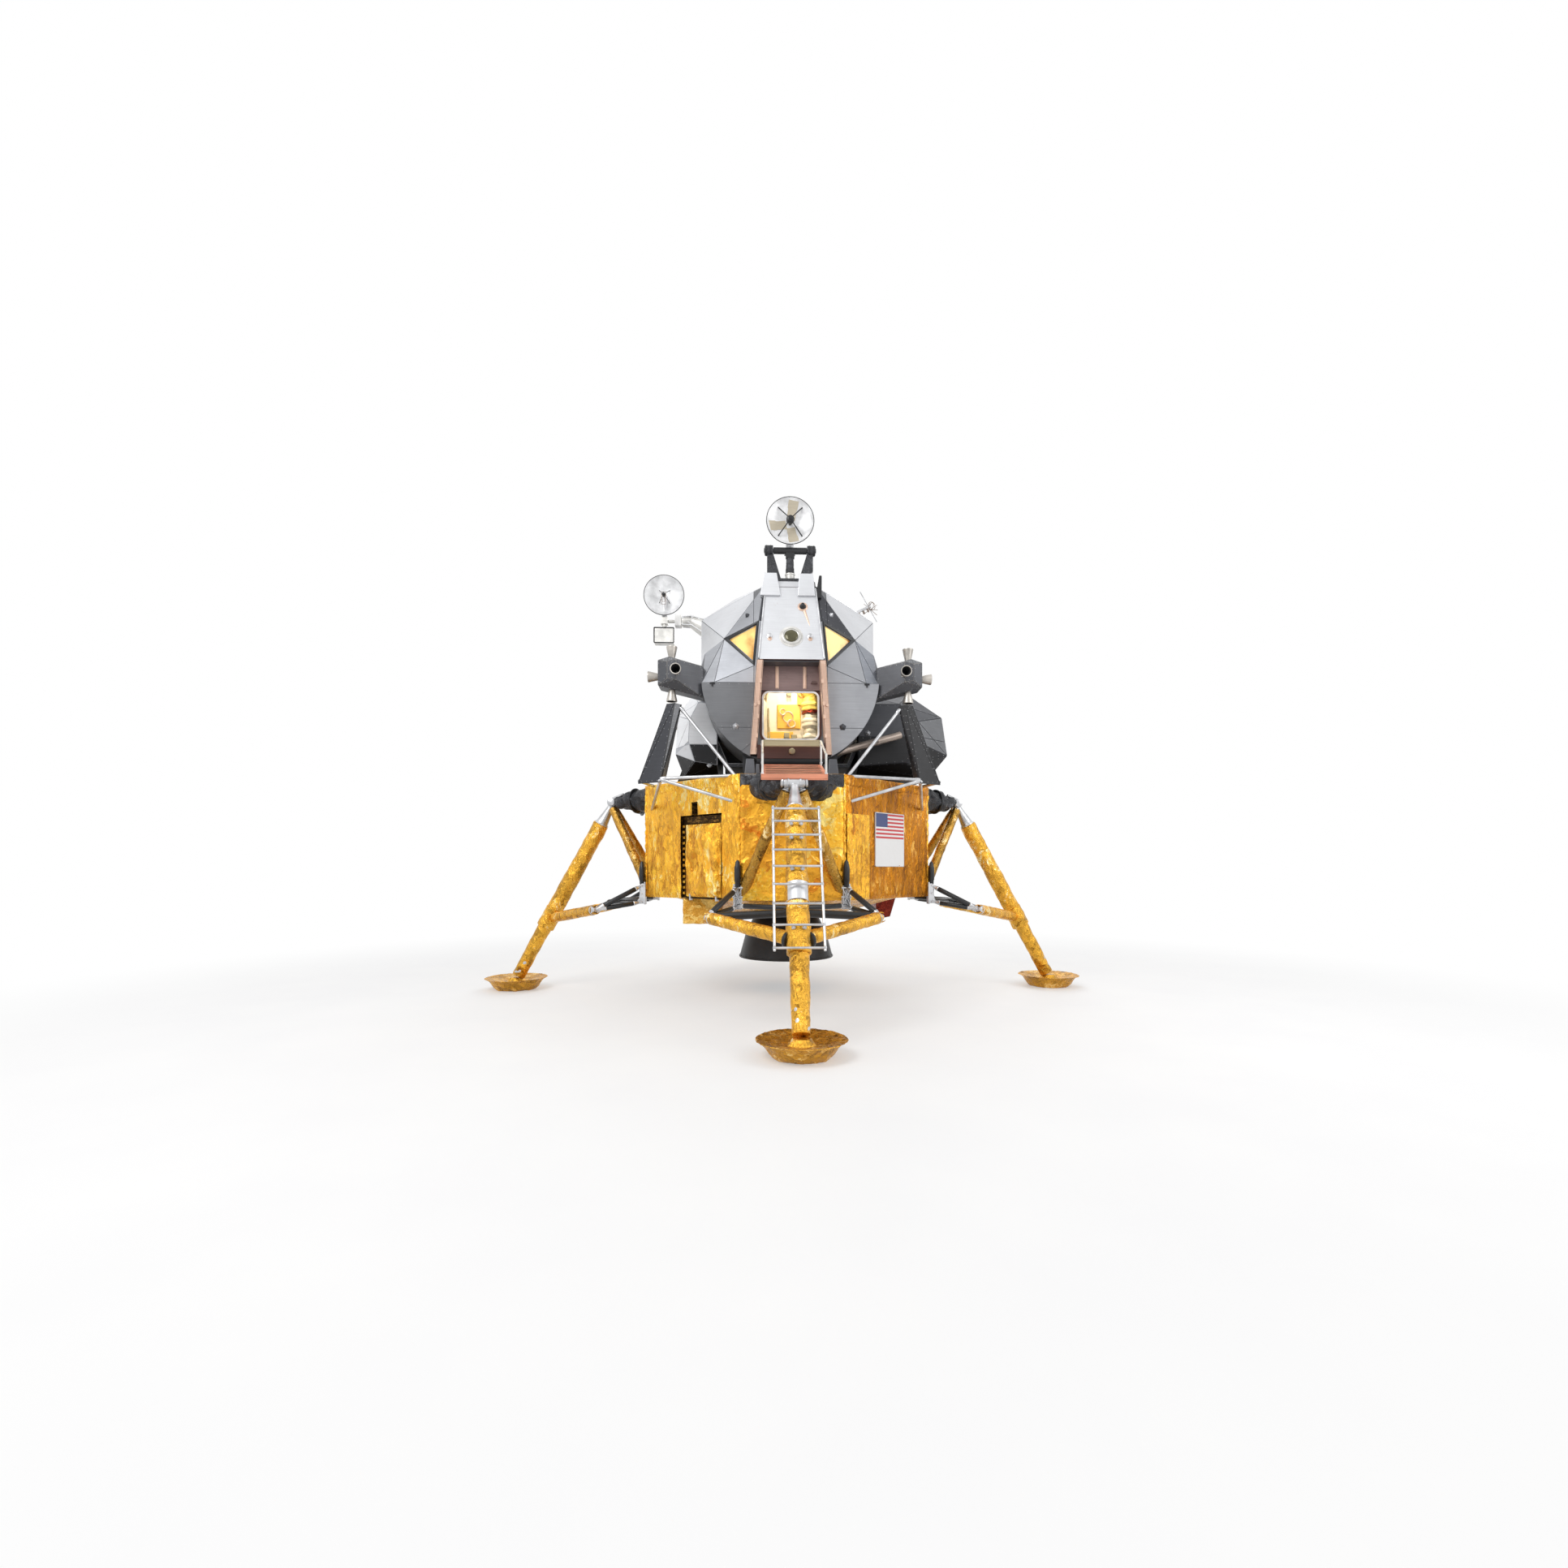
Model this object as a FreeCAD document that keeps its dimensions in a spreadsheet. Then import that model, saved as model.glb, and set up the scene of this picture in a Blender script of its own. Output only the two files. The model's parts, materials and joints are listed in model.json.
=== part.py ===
import FreeCAD, Part

import math
import os
import re

import Sketcher

# A two-stage lunar lander standing on its four legs, in millimetres. +Z is up and z = 0 is the ground
# under the footpads. The origin is on the ground below the middle of the stages. The hatch, the porch
# and the ladder face -Y, so "left" is -X and "right" is +X as seen by someone facing the hatch.

# name, millimetres (degrees where it says so), what it measures
SIZES = (
    # descent stage
    ("stage_width", 4216, "octagon, flat to flat"),
    ("face_width", 1372, "each of the four faces that carry a leg"),
    ("stage_floor", 1473, "underside of the octagon above the ground"),
    ("stage_height", 1651, "octagon, floor to deck"),
    ("engine_bay_width", 1180, "round well that the engine hangs in"),
    ("shield_width", 3500, "heat shield under the stage, flat to flat, at its top"),
    ("shield_foot_width", 1800, "the same at its bottom"),
    ("shield_drop", 250, "depth of the heat shield"),
    ("shield_mouth_width", 1400, "round mouth in the shield for the nozzle"),
    ("belly_box_drop", 340, "box under the left front of the stage, downwards"),
    # equipment pallet, folded into the left front face
    ("pallet_width", 730, "across the pallet"),
    ("pallet_height", 1000, "foot to head"),
    ("pallet_depth", 330, "front to back"),
    ("pallet_shift", 318, "middle of the pallet from the middle of its face, towards the front"),
    ("pallet_rise", 27, "underside of the pallet above the stage's floor"),
    ("pallet_pin_width", 20, "its hinge pin"),
    ("pallet_pin_out", 26, "hinge pin in front of the stage's skin"),
    ("pallet_pin_rise", 30, "hinge pin above the pallet's underside"),
    ("bay_side_gap", 130, "open strip on the outer side of the pallet"),
    ("bay_head_gap", 130, "open strip above the pallet"),
    ("slot_width", 150, "release slot above the bay"),
    ("slot_height", 160, "the same, upwards"),
    ("moving_gap", 8, "clearance round anything that moves"),
    # descent engine
    ("gimbal_rise", 427, "gimbal axes above the stage's floor"),
    ("chamber_width", 420, "combustion chamber"),
    ("chamber_rise", 330, "top of the injector above the gimbal axes"),
    ("throat_drop", 120, "throat below the gimbal axes"),
    ("bay_headroom", 70, "top of the engine bay above the injector"),
    ("bell_mouth_width", 1484, "outside of the nozzle at its rim"),
    ("bell_mouth_drop", 973, "rim below the stage's floor"),
    ("bell_waist_width", 640, "nozzle where it leaves the stage"),
    ("bell_waist_drop", 73, "that section below the stage's floor"),
    ("bell_throat_width", 330, "outside of the throat"),
    ("bell_wall", 14, "nozzle wall"),
    ("ring_width", 760, "gimbal ring, outside"),
    ("ring_wall", 60, "gimbal ring, radial"),
    ("ring_height", 90, "gimbal ring, upwards"),
    ("trunnion_width", 50, "gimbal trunnion pins"),
    ("pin_gap", 0.5, "radial clearance of a hinge pin"),
    # landing gear; "out" is in front of the stage's skin
    ("gear_out", 2146.5, "middle of a footpad"),
    ("pad_width", 940, "footpad rim"),
    ("pad_floor_width", 600, "flat underside of a footpad"),
    ("pad_depth", 178, "rim above the ground"),
    ("pad_wall", 24, "shell of a footpad"),
    ("ankle_up", 150, "lower end of the leg's axis above the ground"),
    ("apex_out", 637, "upper end of the leg's axis"),
    ("apex_drop", 194, "upper end of the leg's axis below the deck"),
    ("knuckle_width", 130, "fitting at the head of the leg"),
    ("knuckle_length", 240, "the same, sideways"),
    ("leg_upper_width", 222, "outer cylinder of the main strut"),
    ("leg_lower_width", 188, "inner cylinder of the main strut"),
    ("leg_head_width", 84, "slender end of the cone at the head"),
    ("collar_drop", 190, "where the side struts meet the main strut, below the truss"),
    ("collar_width", 236, "collar there"),
    ("collar_length", 170, "the same, along the leg"),
    ("side_strut_width", 134, "side struts"),
    ("truss_half", 1060, "ends of the folding truss from the leg's plane"),
    ("truss_out", 662, "its front bar"),
    ("truss_drop", 173, "its front bar below the stage's floor"),
    ("truss_bar_width", 104, "front bar in its middle"),
    ("truss_bar_end_width", 56, "front bar at its ends"),
    ("truss_tube_width", 66, "stays from the bar to the stage"),
    ("truss_joint_width", 104, "fittings at the ends of the bar"),
    ("bracket_half", 705, "corner brackets from the leg's plane"),
    ("bracket_width", 84, "corner brackets, sideways and outwards"),
    ("bracket_drop", 98, "underside of a bracket below the stage's floor"),
    ("bracket_height", 290, "corner brackets, upwards"),
    ("bracket_standoff", 20, "brackets in front of the stage's skin"),
    ("spring_width", 80, "upright spring housings on the brackets"),
    ("spring_height", 335, "the same, upwards"),
    ("outrigger_half", 400, "wrapped outriggers at the stage, from the leg's plane"),
    ("outrigger_rise", 20, "the same, above the head of the leg"),
    ("outrigger_root_width", 400, "wrapped outrigger at the stage"),
    ("outrigger_tip_width", 110, "wrapped outrigger at the head of the leg"),
    ("brace_half", 655, "foot of the lower outrigger tubes, from the leg's plane"),
    ("brace_rise", 87, "the same, above the stage's floor"),
    ("brace_width", 122, "lower outrigger tubes"),
    # ladder and porch
    ("ladder_width", 530, "between the rails' middles"),
    ("ladder_drop", 345, "top rung below the head of the leg"),
    ("ladder_height", 1527, "top rung to bottom rung"),
    ("ladder_rungs", 9, "number of rungs"),
    ("ladder_pitch", 150, "between the top two rungs; the gaps grow evenly downwards"),
    ("ladder_standoff", 190, "rungs in front of the leg's axis"),
    ("ladder_tube_width", 30, "rails and rungs"),
    ("porch_width", 800, "deck"),
    ("porch_back_in", 148, "back edge of the deck behind the stage's skin"),
    ("porch_back_rise", 138, "the same, above the stage's deck"),
    ("porch_front_out", 65, "front edge of the deck in front of the strut's apex"),
    ("porch_front_drop", 110, "the same, below the stage's deck"),
    ("porch_thick", 36, "deck plate"),
    ("rail_width", 28, "handrail tubes"),
    ("rail_head_in", 68, "head of the handrails behind the stage's skin"),
    ("rail_height", 298, "the same, above the back of the deck"),
    ("lip_height", 80, "board between the handrails' heads"),
    # crew cabin
    ("cabin_width", 2420, "round cabin"),
    ("cabin_clear", 156, "lowest line of the cabin's drum above the stage's deck"),
    ("cabin_front", 1720, "front bulkhead from the middle"),
    ("cabin_back", 650, "back of the round cabin from the middle"),
    ("cabin_wall", 50, "shell, insulation and shield together"),
    ("seam_drop", 80, "seam under the cheeks, below the cabin's axis"),
    ("hatch_width", 780, "forward hatch opening"),
    ("hatch_rise", 501, "its sill above the stage's deck"),
    ("hatch_height", 670, "sill to head"),
    ("hatch_corner", 90, "its corner radius"),
    ("hatch_lap", 35, "how far the door laps over the opening"),
    ("hatch_thick", 60, "door"),
    ("hatch_open", 82, "degrees that the door stands open at rest"),
    ("hinge_pin_width", 24, "door hinge pin"),
    ("hinge_lug_width", 44, "lugs that hold the pin"),
    ("glass_thick", 16, "window pane"),
    ("window_inset", 0.80, "share of the window's surround that is glass"),
    ("window_inner_half", 430, "head corner of a window from the middle"),
    ("window_foot_half", 490, "foot corner of a window from the middle"),
    ("window_tip_half", 910, "outer corner of a window from the middle"),
    ("window_head_rise", 760, "head corner of a window above the cabin's axis"),
    ("window_foot_rise", 150, "foot corner of a window above the cabin's axis"),
    ("window_tip_rise", 595, "outer corner of a window above the cabin's axis"),
    ("window_tip_in", 270, "outer corner of a window behind the front bulkhead"),
    ("brow_top_half", 335, "central face panel at its head"),
    ("brow_foot_half", 430, "central face panel at its foot"),
    ("brow_top_rise", 1250, "head of that panel above the cabin's axis"),
    ("brow_foot_rise", 160, "foot of that panel above the cabin's axis"),
    ("brow_cap_rise", 100, "flat cap above it, under the radar"),
    ("brow_top_in", 80, "head of that panel behind the front bulkhead"),
    ("brow_foot_out", 260, "foot of that panel in front of the bulkhead"),
    ("jamb_foot_drop", 1080, "foot of the two jambs beside the hatch, below the cabin's axis"),
    ("jamb_foot_half", 520, "the same, from the middle"),
    ("jamb_width", 75, "jambs, sideways"),
    # middle section, tanks and aft bay
    ("middle_half", 1290, "side of the middle section from the middle"),
    ("middle_back", 720, "back of the middle section"),
    ("roof_rise", 1440, "roof above the cabin's axis"),
    ("roof_half", 800, "edge of the flat roof from the middle"),
    ("shoulder_rise", 1120, "shoulder under the roof's edge above the cabin's axis"),
    ("belly_drop", 1070, "floor of the middle section below the cabin's axis"),
    ("belly_half", 930, "edge of that floor from the middle"),
    ("tunnel_width", 940, "docking tunnel, outside"),
    ("tunnel_wall", 50, "docking tunnel"),
    ("tunnel_rise", 190, "top of the docking tunnel above the roof"),
    ("top_hatch_thick", 60, "overhead hatch"),
    ("top_hatch_lap", 30, "how far the overhead hatch laps over the tunnel"),
    ("tank_front", 860, "nose of the tank fairings from the middle"),
    ("tank_shoulder", 450, "full section of the tank fairings from the middle"),
    ("right_tank_half", 2475, "widest point of the right fairing"),
    ("left_tank_half", 1700, "widest point of the left fairing"),
    ("aft_back", 1740, "back of the equipment bay"),
    ("aft_half", 1000, "equipment bay, half its width"),
    ("ascent_engine_width", 700, "ascent engine's block"),
    ("ascent_engine_height", 620, "the same, upwards"),
    ("ascent_bell_width", 780, "ascent nozzle rim"),
    ("ascent_bell_rise", 66, "its height above the deck"),
    ("post_half", 560, "posts between the stages, from the middle"),
    ("post_reach", 1450, "the same, forwards and back"),
    ("post_width", 190, "posts"),
    # sign plate
    ("sign_width", 700, "plain sign plate on the right front face"),
    ("sign_height", 750, "the same, upwards"),
    ("sign_thick", 12, "the same"),
    ("sign_rise", 444, "its lower edge above the stage's floor"),
    # thrusters and deflectors
    ("quad_half", 1590, "middle of a thruster cluster, sideways"),
    ("quad_reach", 1680, "the same, forwards"),
    ("quad_rise", 20, "the same, above the cabin's axis"),
    ("nozzle_width", 138, "thruster nozzle mouth"),
    ("nozzle_length", 165, "thruster nozzle"),
    ("deflector_thick", 10, "exhaust deflector plates"),
    ("deflector_drop", 400, "head of the deflectors below the clusters"),
    ("strut_width", 40, "deflector struts"),
    # radar antenna
    ("radar_reach", 1500, "tilt axis from the middle"),
    ("radar_rise", 460, "tilt axis above the cap of the face panel"),
    ("radar_foot_thick", 40, "foot of its stand"),
    ("radar_dish_width", 650, "dish"),
    ("radar_dish_rise", 378, "middle of the dish above the tilt axis"),
    ("radar_dish_depth", 110, "hollow of the dish"),
    ("radar_bar_width", 90, "tilting bar"),
    ("radar_post_gap", 116, "tilt axis above the stand's post, clear of the saddle as it swings"),
    ("radar_bar_half", 250, "half the tilting bar"),
    ("radar_weight_width", 120, "counterweight under that bar"),
    ("radar_weight_thick", 60, "the same, front to back"),
    ("radar_weight_drop", 104, "foot of the counterweight below the tilt axis"),
    ("radar_journal_width", 54, "journals at its ends"),
    ("radar_cap_width", 140, "bearing housings"),
    ("radar_cap_half", 345, "outer end of the bearing housings from the middle"),
    ("dish_wall", 10, "dish shells"),
    # steerable antenna
    ("comm_out", 595, "swivel axis outside the middle section"),
    ("comm_reach", 350, "swivel axis, forwards"),
    ("comm_rise", 90, "tilt axis above the shoulder"),
    ("comm_dish_width", 610, "dish"),
    ("comm_dish_rise", 378, "middle of the dish above the tilt axis"),
    ("comm_dish_depth", 90, "hollow of the dish"),
)

# places worked out from the sizes; a place may be used in the ones below it
PLACES = (
    ("skin", "stage_width / 2"),
    ("corner_reach", "(stage_width + face_width) / 2 * sqrt(0.5)"),
    ("stage_top", "stage_floor + stage_height"),
    ("pallet_floor", "stage_floor + pallet_rise"),
    ("gimbal_up", "stage_floor + gimbal_rise"),
    ("chamber_top", "gimbal_up + chamber_rise"),
    ("engine_bay_top", "chamber_top + bay_headroom"),
    ("throat_up", "gimbal_up - throat_drop"),
    ("bell_mouth_up", "stage_floor - bell_mouth_drop"),
    ("bell_waist_up", "stage_floor - bell_waist_drop"),
    ("gear_reach", "skin + gear_out"),
    ("apex_reach", "skin + apex_out"),
    ("apex_up", "stage_top - apex_drop"),
    ("truss_reach", "skin + truss_out"),
    ("truss_up", "stage_floor - truss_drop"),
    ("collar_up", "truss_up - collar_drop"),
    ("bracket_foot", "stage_floor - bracket_drop"),
    ("bracket_head", "bracket_foot + bracket_height"),
    ("bracket_reach", "skin + bracket_standoff + bracket_width / 2"),
    ("outrigger_up", "apex_up + outrigger_rise"),
    ("brace_up", "stage_floor + brace_rise"),
    ("ladder_top", "apex_up - ladder_drop"),
    ("ladder_bottom", "ladder_top - ladder_height"),
    ("porch_back", "skin - porch_back_in"),
    ("porch_back_up", "stage_top + porch_back_rise"),
    ("porch_front", "apex_reach + porch_front_out"),
    ("porch_front_up", "stage_top - porch_front_drop"),
    ("rail_head_reach", "skin - rail_head_in"),
    ("rail_head_up", "porch_back_up + rail_height"),
    ("cabin_up", "stage_top + cabin_clear + cabin_width / 2"),
    ("seam_up", "cabin_up - seam_drop"),
    ("hatch_floor", "stage_top + hatch_rise"),
    ("window_head_up", "cabin_up + window_head_rise"),
    ("window_foot_up", "cabin_up + window_foot_rise"),
    ("window_tip_up", "cabin_up + window_tip_rise"),
    ("window_tip_reach", "cabin_front - window_tip_in"),
    ("brow_top_up", "cabin_up + brow_top_rise"),
    ("brow_foot_up", "cabin_up + brow_foot_rise"),
    ("brow_cap_up", "brow_top_up + brow_cap_rise"),
    ("brow_top_reach", "cabin_front - brow_top_in"),
    ("brow_foot_reach", "cabin_front + brow_foot_out"),
    ("jamb_foot_up", "cabin_up - jamb_foot_drop"),
    ("roof_up", "cabin_up + roof_rise"),
    ("shoulder_up", "cabin_up + shoulder_rise"),
    ("belly_up", "cabin_up - belly_drop"),
    ("tunnel_top", "roof_up + tunnel_rise"),
    ("ascent_bell_up", "stage_top + ascent_bell_rise"),
    ("quad_up", "cabin_up + quad_rise"),
    ("deflector_up", "quad_up - deflector_drop"),
    ("radar_up", "brow_cap_up + radar_rise"),
    ("radar_dish_up", "radar_up + radar_dish_rise"),
    ("comm_half", "middle_half + comm_out"),
    ("comm_up", "shoulder_up + comm_rise"),
    ("comm_dish_up", "comm_up + comm_dish_rise"),
)

doc = FreeCAD.newDocument("LunarLander")
sheet = doc.addObject("Spreadsheet::Sheet", "Sizes")
for row, (alias, number, meaning) in enumerate(SIZES, start=1):
    sheet.set(f"A{row}", meaning)
    sheet.set(f"B{row}", str(number))
    sheet.setAlias(f"B{row}", alias)
doc.recompute()

ALIAS = re.compile(r"\b(" + "|".join(alias for alias, _, _ in SIZES) + r")\b")
nodes = []


# ---------------------------------------------------------------- expressions and placements

def spelled(text):
    """The expression with every place written out in sizes."""
    text = str(text)
    for name, meaning in reversed(PLACES):
        text = re.sub(rf"\b{name}\b", f"({meaning})", text)
    return text


def formula(text):
    """The expression for a property: every size name becomes a reference to its cell."""
    return ALIAS.sub(r"Sizes.\1", spelled(text))


def value(text):
    """The number that an expression in names of sizes and places gives now."""
    return float(sheet.evalExpression(spelled(text)))


def vector(point):
    """The place that three expressions give now."""
    return FreeCAD.Vector(*(value(text) for text in point))


def bind(item, **formulas):
    """Ties an object's properties to the sheet."""
    for name, text in formulas.items():
        item.setExpression(name, formula(text))
    return item


def place(item, point=("0", "0", "0"), axis="0; 0; 1", angle="0"):
    """Ties an object's placement to the sheet: a place, and a turn in degrees about an axis."""
    spot = "; ".join(point)
    turn = f"rotation(vector({axis}); {angle})"
    item.setExpression("Placement", formula(f"placement(vector({spot}); {turn})"))
    return item


def share(start, end, part):
    """The point that lies the given part of the way from start to end."""
    return tuple(f"(({a}) + (({b}) - ({a})) * ({part}))" for a, b in zip(start, end))


def mirrored(point):
    """The same point on the other side of the middle plane."""
    return (f"-({point[0]})", point[1], point[2])


# ---------------------------------------------------------------- solids

def box(name, widths, corner, axis="0; 0; 1", angle="0"):
    """A block with its lowest corner at the given place."""
    item = bind(doc.addObject("Part::Box", name), Length=widths[0], Width=widths[1], Height=widths[2])
    return place(item, corner, axis, angle)


def rod(name, start, end, width, end_width=None):
    """A round bar, or a cone if end_width is given, from one point to another."""
    run = [f"(({b}) - ({a}))" for a, b in zip(start, end)]
    length = f"sqrt(pow({run[0]}; 2) + pow({run[1]}; 2) + pow({run[2]}; 2))"
    if end_width is None:
        item = bind(doc.addObject("Part::Cylinder", name), Radius=f"({width}) / 2", Height=length)
    else:
        item = bind(doc.addObject("Part::Cone", name), Radius1=f"({width}) / 2",
                    Radius2=f"({end_width}) / 2", Height=length)
    tilt = f"vangle(vector(0; 0; 1); vector({'; '.join(run)}))"
    straight = vector(end) - vector(start)
    upright = math.hypot(straight.x, straight.y) < 1e-9
    axis = "1; 0; 0" if upright else f"-{run[1]}; {run[0]}; 0"
    return place(item, start, axis, tilt)


def upright(name, point, height, width, end_width=None):
    """A round bar or cone that stands on the given point."""
    kind = "Part::Cylinder" if end_width is None else "Part::Cone"
    item = bind(doc.addObject(kind, name), Height=height)
    if end_width is None:
        bind(item, Radius=f"({width}) / 2")
    else:
        bind(item, Radius1=f"({width}) / 2", Radius2=f"({end_width}) / 2")
    return place(item, point)


def sketch(body, role, outline):
    """A closed outline of straight lines, each corner tied to the sheet by two distances."""
    item = body.newObject("Sketcher::SketchObject", body.Name + "_outline")
    plane = next(datum for datum in body.Origin.OriginFeatures if datum.Role == role)
    item.AttachmentSupport = [(plane, "")]
    item.MapMode = "FlatFace"
    corners = [FreeCAD.Vector(value(x), value(y), 0) for x, y in outline]
    for start, end in zip(corners, corners[1:] + corners[:1]):
        item.addGeometry(Part.LineSegment(start, end), False)
    for side in range(len(corners)):
        item.addConstraint(Sketcher.Constraint("Coincident", side, 2, (side + 1) % len(corners), 1))
    for side, texts in enumerate(outline):
        for kind, text in zip(("DistanceX", "DistanceY"), texts):
            index = item.addConstraint(Sketcher.Constraint(kind, side, 1, value(text)))
            item.setExpression(f"Constraints[{index}]", formula(text))
    return item


def prism(name, role, outline, length, back=False):
    """A body padded from an outline; on XZ_Plane it grows towards -Y, or towards +Y if back is set."""
    body = doc.addObject("PartDesign::Body", name)
    profile = sketch(body, role, outline)
    pad = body.newObject("PartDesign::Pad", name + "_pad")
    pad.Profile = profile
    pad.Reversed = back
    bind(pad, Length=length)
    return body


def turned(name, outline):
    """A body turned about the Z axis from an outline of (radius, height) corners."""
    body = doc.addObject("PartDesign::Body", name)
    profile = sketch(body, "XZ_Plane", outline)
    turn = body.newObject("PartDesign::Revolution", name + "_turn")
    turn.Profile = profile
    turn.ReferenceAxis = (profile, ["V_Axis"])
    turn.Angle = 360
    return body


def flat_sides(points):
    """The flat sides of the convex solid with these corners, each as its corners in order."""
    middle = sum(points, FreeCAD.Vector()) * (1.0 / len(points))
    sides = {}
    for i, first in enumerate(points):
        for j in range(i + 1, len(points)):
            for third in points[j + 1:]:
                normal = (points[j] - first).cross(third - first)
                if normal.Length < 1e-6:
                    continue
                normal.normalize()
                if normal.dot(first - middle) < 0:
                    normal = normal * -1
                if max(normal.dot(point - first) for point in points) > 1e-3:
                    continue
                key = tuple(round(part, 3) for part in normal)
                sides[key] = (normal, [p for p in points if abs(normal.dot(p - first)) <= 1e-3])
    for normal, corners in sides.values():
        hub = sum(corners, FreeCAD.Vector()) * (1.0 / len(corners))
        along = (corners[0] - hub).normalize()
        across = normal.cross(along)
        yield sorted(corners, key=lambda p: math.atan2(across.dot(p - hub), along.dot(p - hub)))


def faceted(name, table):
    """A convex solid with flat sides, from a table of corners written in size names."""
    corners = [vector(point) for point in table]
    faces = [Part.Face(Part.makePolygon(side + side[:1])) for side in flat_sides(corners)]
    item = doc.addObject("Part::Feature", name)
    item.Shape = Part.makeSolid(Part.makeShell(faces)).removeSplitter()
    return item


def both_sides(table):
    """The corners of a table and their mirror images."""
    return [*table, *(mirrored(point) for point in table)]


def fused(name, items):
    """One solid from overlapping ones."""
    item = doc.addObject("Part::MultiFuse", name)
    item.Shapes = items
    return item


def trimmed(name, base, tools):
    """A solid with other solids cut away from it one after another."""
    for tool in tools:
        item = doc.addObject("Part::Cut", name if tool is tools[-1] else name + "_step")
        item.Base = base
        item.Tool = tool
        base = item
    return base


def grouped(name, items, angle="0"):
    """Separate solids kept together, turned about the vertical axis by an angle in degrees."""
    item = doc.addObject("Part::Compound", name)
    item.Links = items
    return place(item, angle=angle)


def node(label, item):
    """Names a finished sub-part and puts it on the list of what is written out."""
    item.Label = label
    if item.Label != label:
        raise ValueError(f"the name {label} is already taken")
    nodes.append(item)
    return item


def finished(label):
    """The finished sub-part with this name."""
    return next(item for item in nodes if item.Label == label)


# ---------------------------------------------------------------- descent stage

def octagon(width, face):
    """Corners of an octagon with its flats square to the axes."""
    half, end = f"({width}) / 2", f"({face}) / 2"
    quarter = ((end, f"-{half}"), (half, f"-{end}"), (half, end), (end, half))
    return [*quarter, *((f"-({x})", f"-({y})") for x, y in quarter)]


def descent_stage():
    """The octagonal stage with its engine well and pallet bay, and the shield below it."""
    block = prism("stage_block", "XY_Plane", octagon("stage_width", "face_width"),
                  "stage_top - stage_floor")
    place(block, ("0", "0", "stage_floor"))
    well = upright("engine_well", ("0", "0", "stage_floor - 1"), "engine_bay_top - stage_floor + 1",
                   "engine_bay_width")
    # the bay is cut square to the front face, then turned to the left front one
    bay = box("pallet_bay", ("pallet_width + bay_side_gap + moving_gap",
                             "pallet_depth + 2 * moving_gap + 50",
                             "pallet_height + bay_head_gap + moving_gap"),
              ("pallet_shift - pallet_width / 2 - bay_side_gap", "-corner_reach - 50",
               "pallet_floor - moving_gap"))
    slot = box("release_slot", ("slot_width", "100 + 50", "slot_height + 1"),
               ("pallet_shift - pallet_width / 4 - slot_width / 2", "-corner_reach - 50",
                "pallet_floor + pallet_height + bay_head_gap - 1"))
    pocket = grouped("pallet_pocket", [fused("bay_and_slot", [bay, slot])], "-45")
    node("descent_structure", trimmed("descent_structure", block, [well, pocket]))

    corners = [(x, y, "stage_floor") for x, y in octagon("shield_width", "shield_width * 0.36")]
    corners += [(x, y, "stage_floor - shield_drop")
                for x, y in octagon("shield_foot_width", "shield_foot_width * 0.36")]
    belly_box = [(x, y, z) for x in ("-1480", "-1000") for y in ("-1290", "-700")
                 for z in ("stage_floor", "stage_floor - belly_box_drop")]
    mouth = upright("shield_mouth", ("0", "0", "stage_floor - shield_drop - 1"), "shield_drop + 2",
                    "shield_mouth_width")
    blocks = fused("shield_blocks", [faceted("shield_block", corners), faceted("belly_box", belly_box)])
    node("base_heat_shield", trimmed("base_heat_shield", blocks, [mouth]))

    radar_box = [("1500", "360", "stage_floor"), ("1860", "420", "stage_floor"),
                 ("1860", "1000", "stage_floor"), ("1500", "1100", "stage_floor"),
                 ("1520", "420", "stage_floor - 420"), ("1760", "480", "stage_floor - 380"),
                 ("1760", "960", "stage_floor - 380"), ("1520", "1020", "stage_floor - 420")]
    antenna = faceted("landing_radar_block", radar_box)
    node("landing_radar", trimmed("landing_radar", antenna, [blocks]))
    return block


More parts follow.
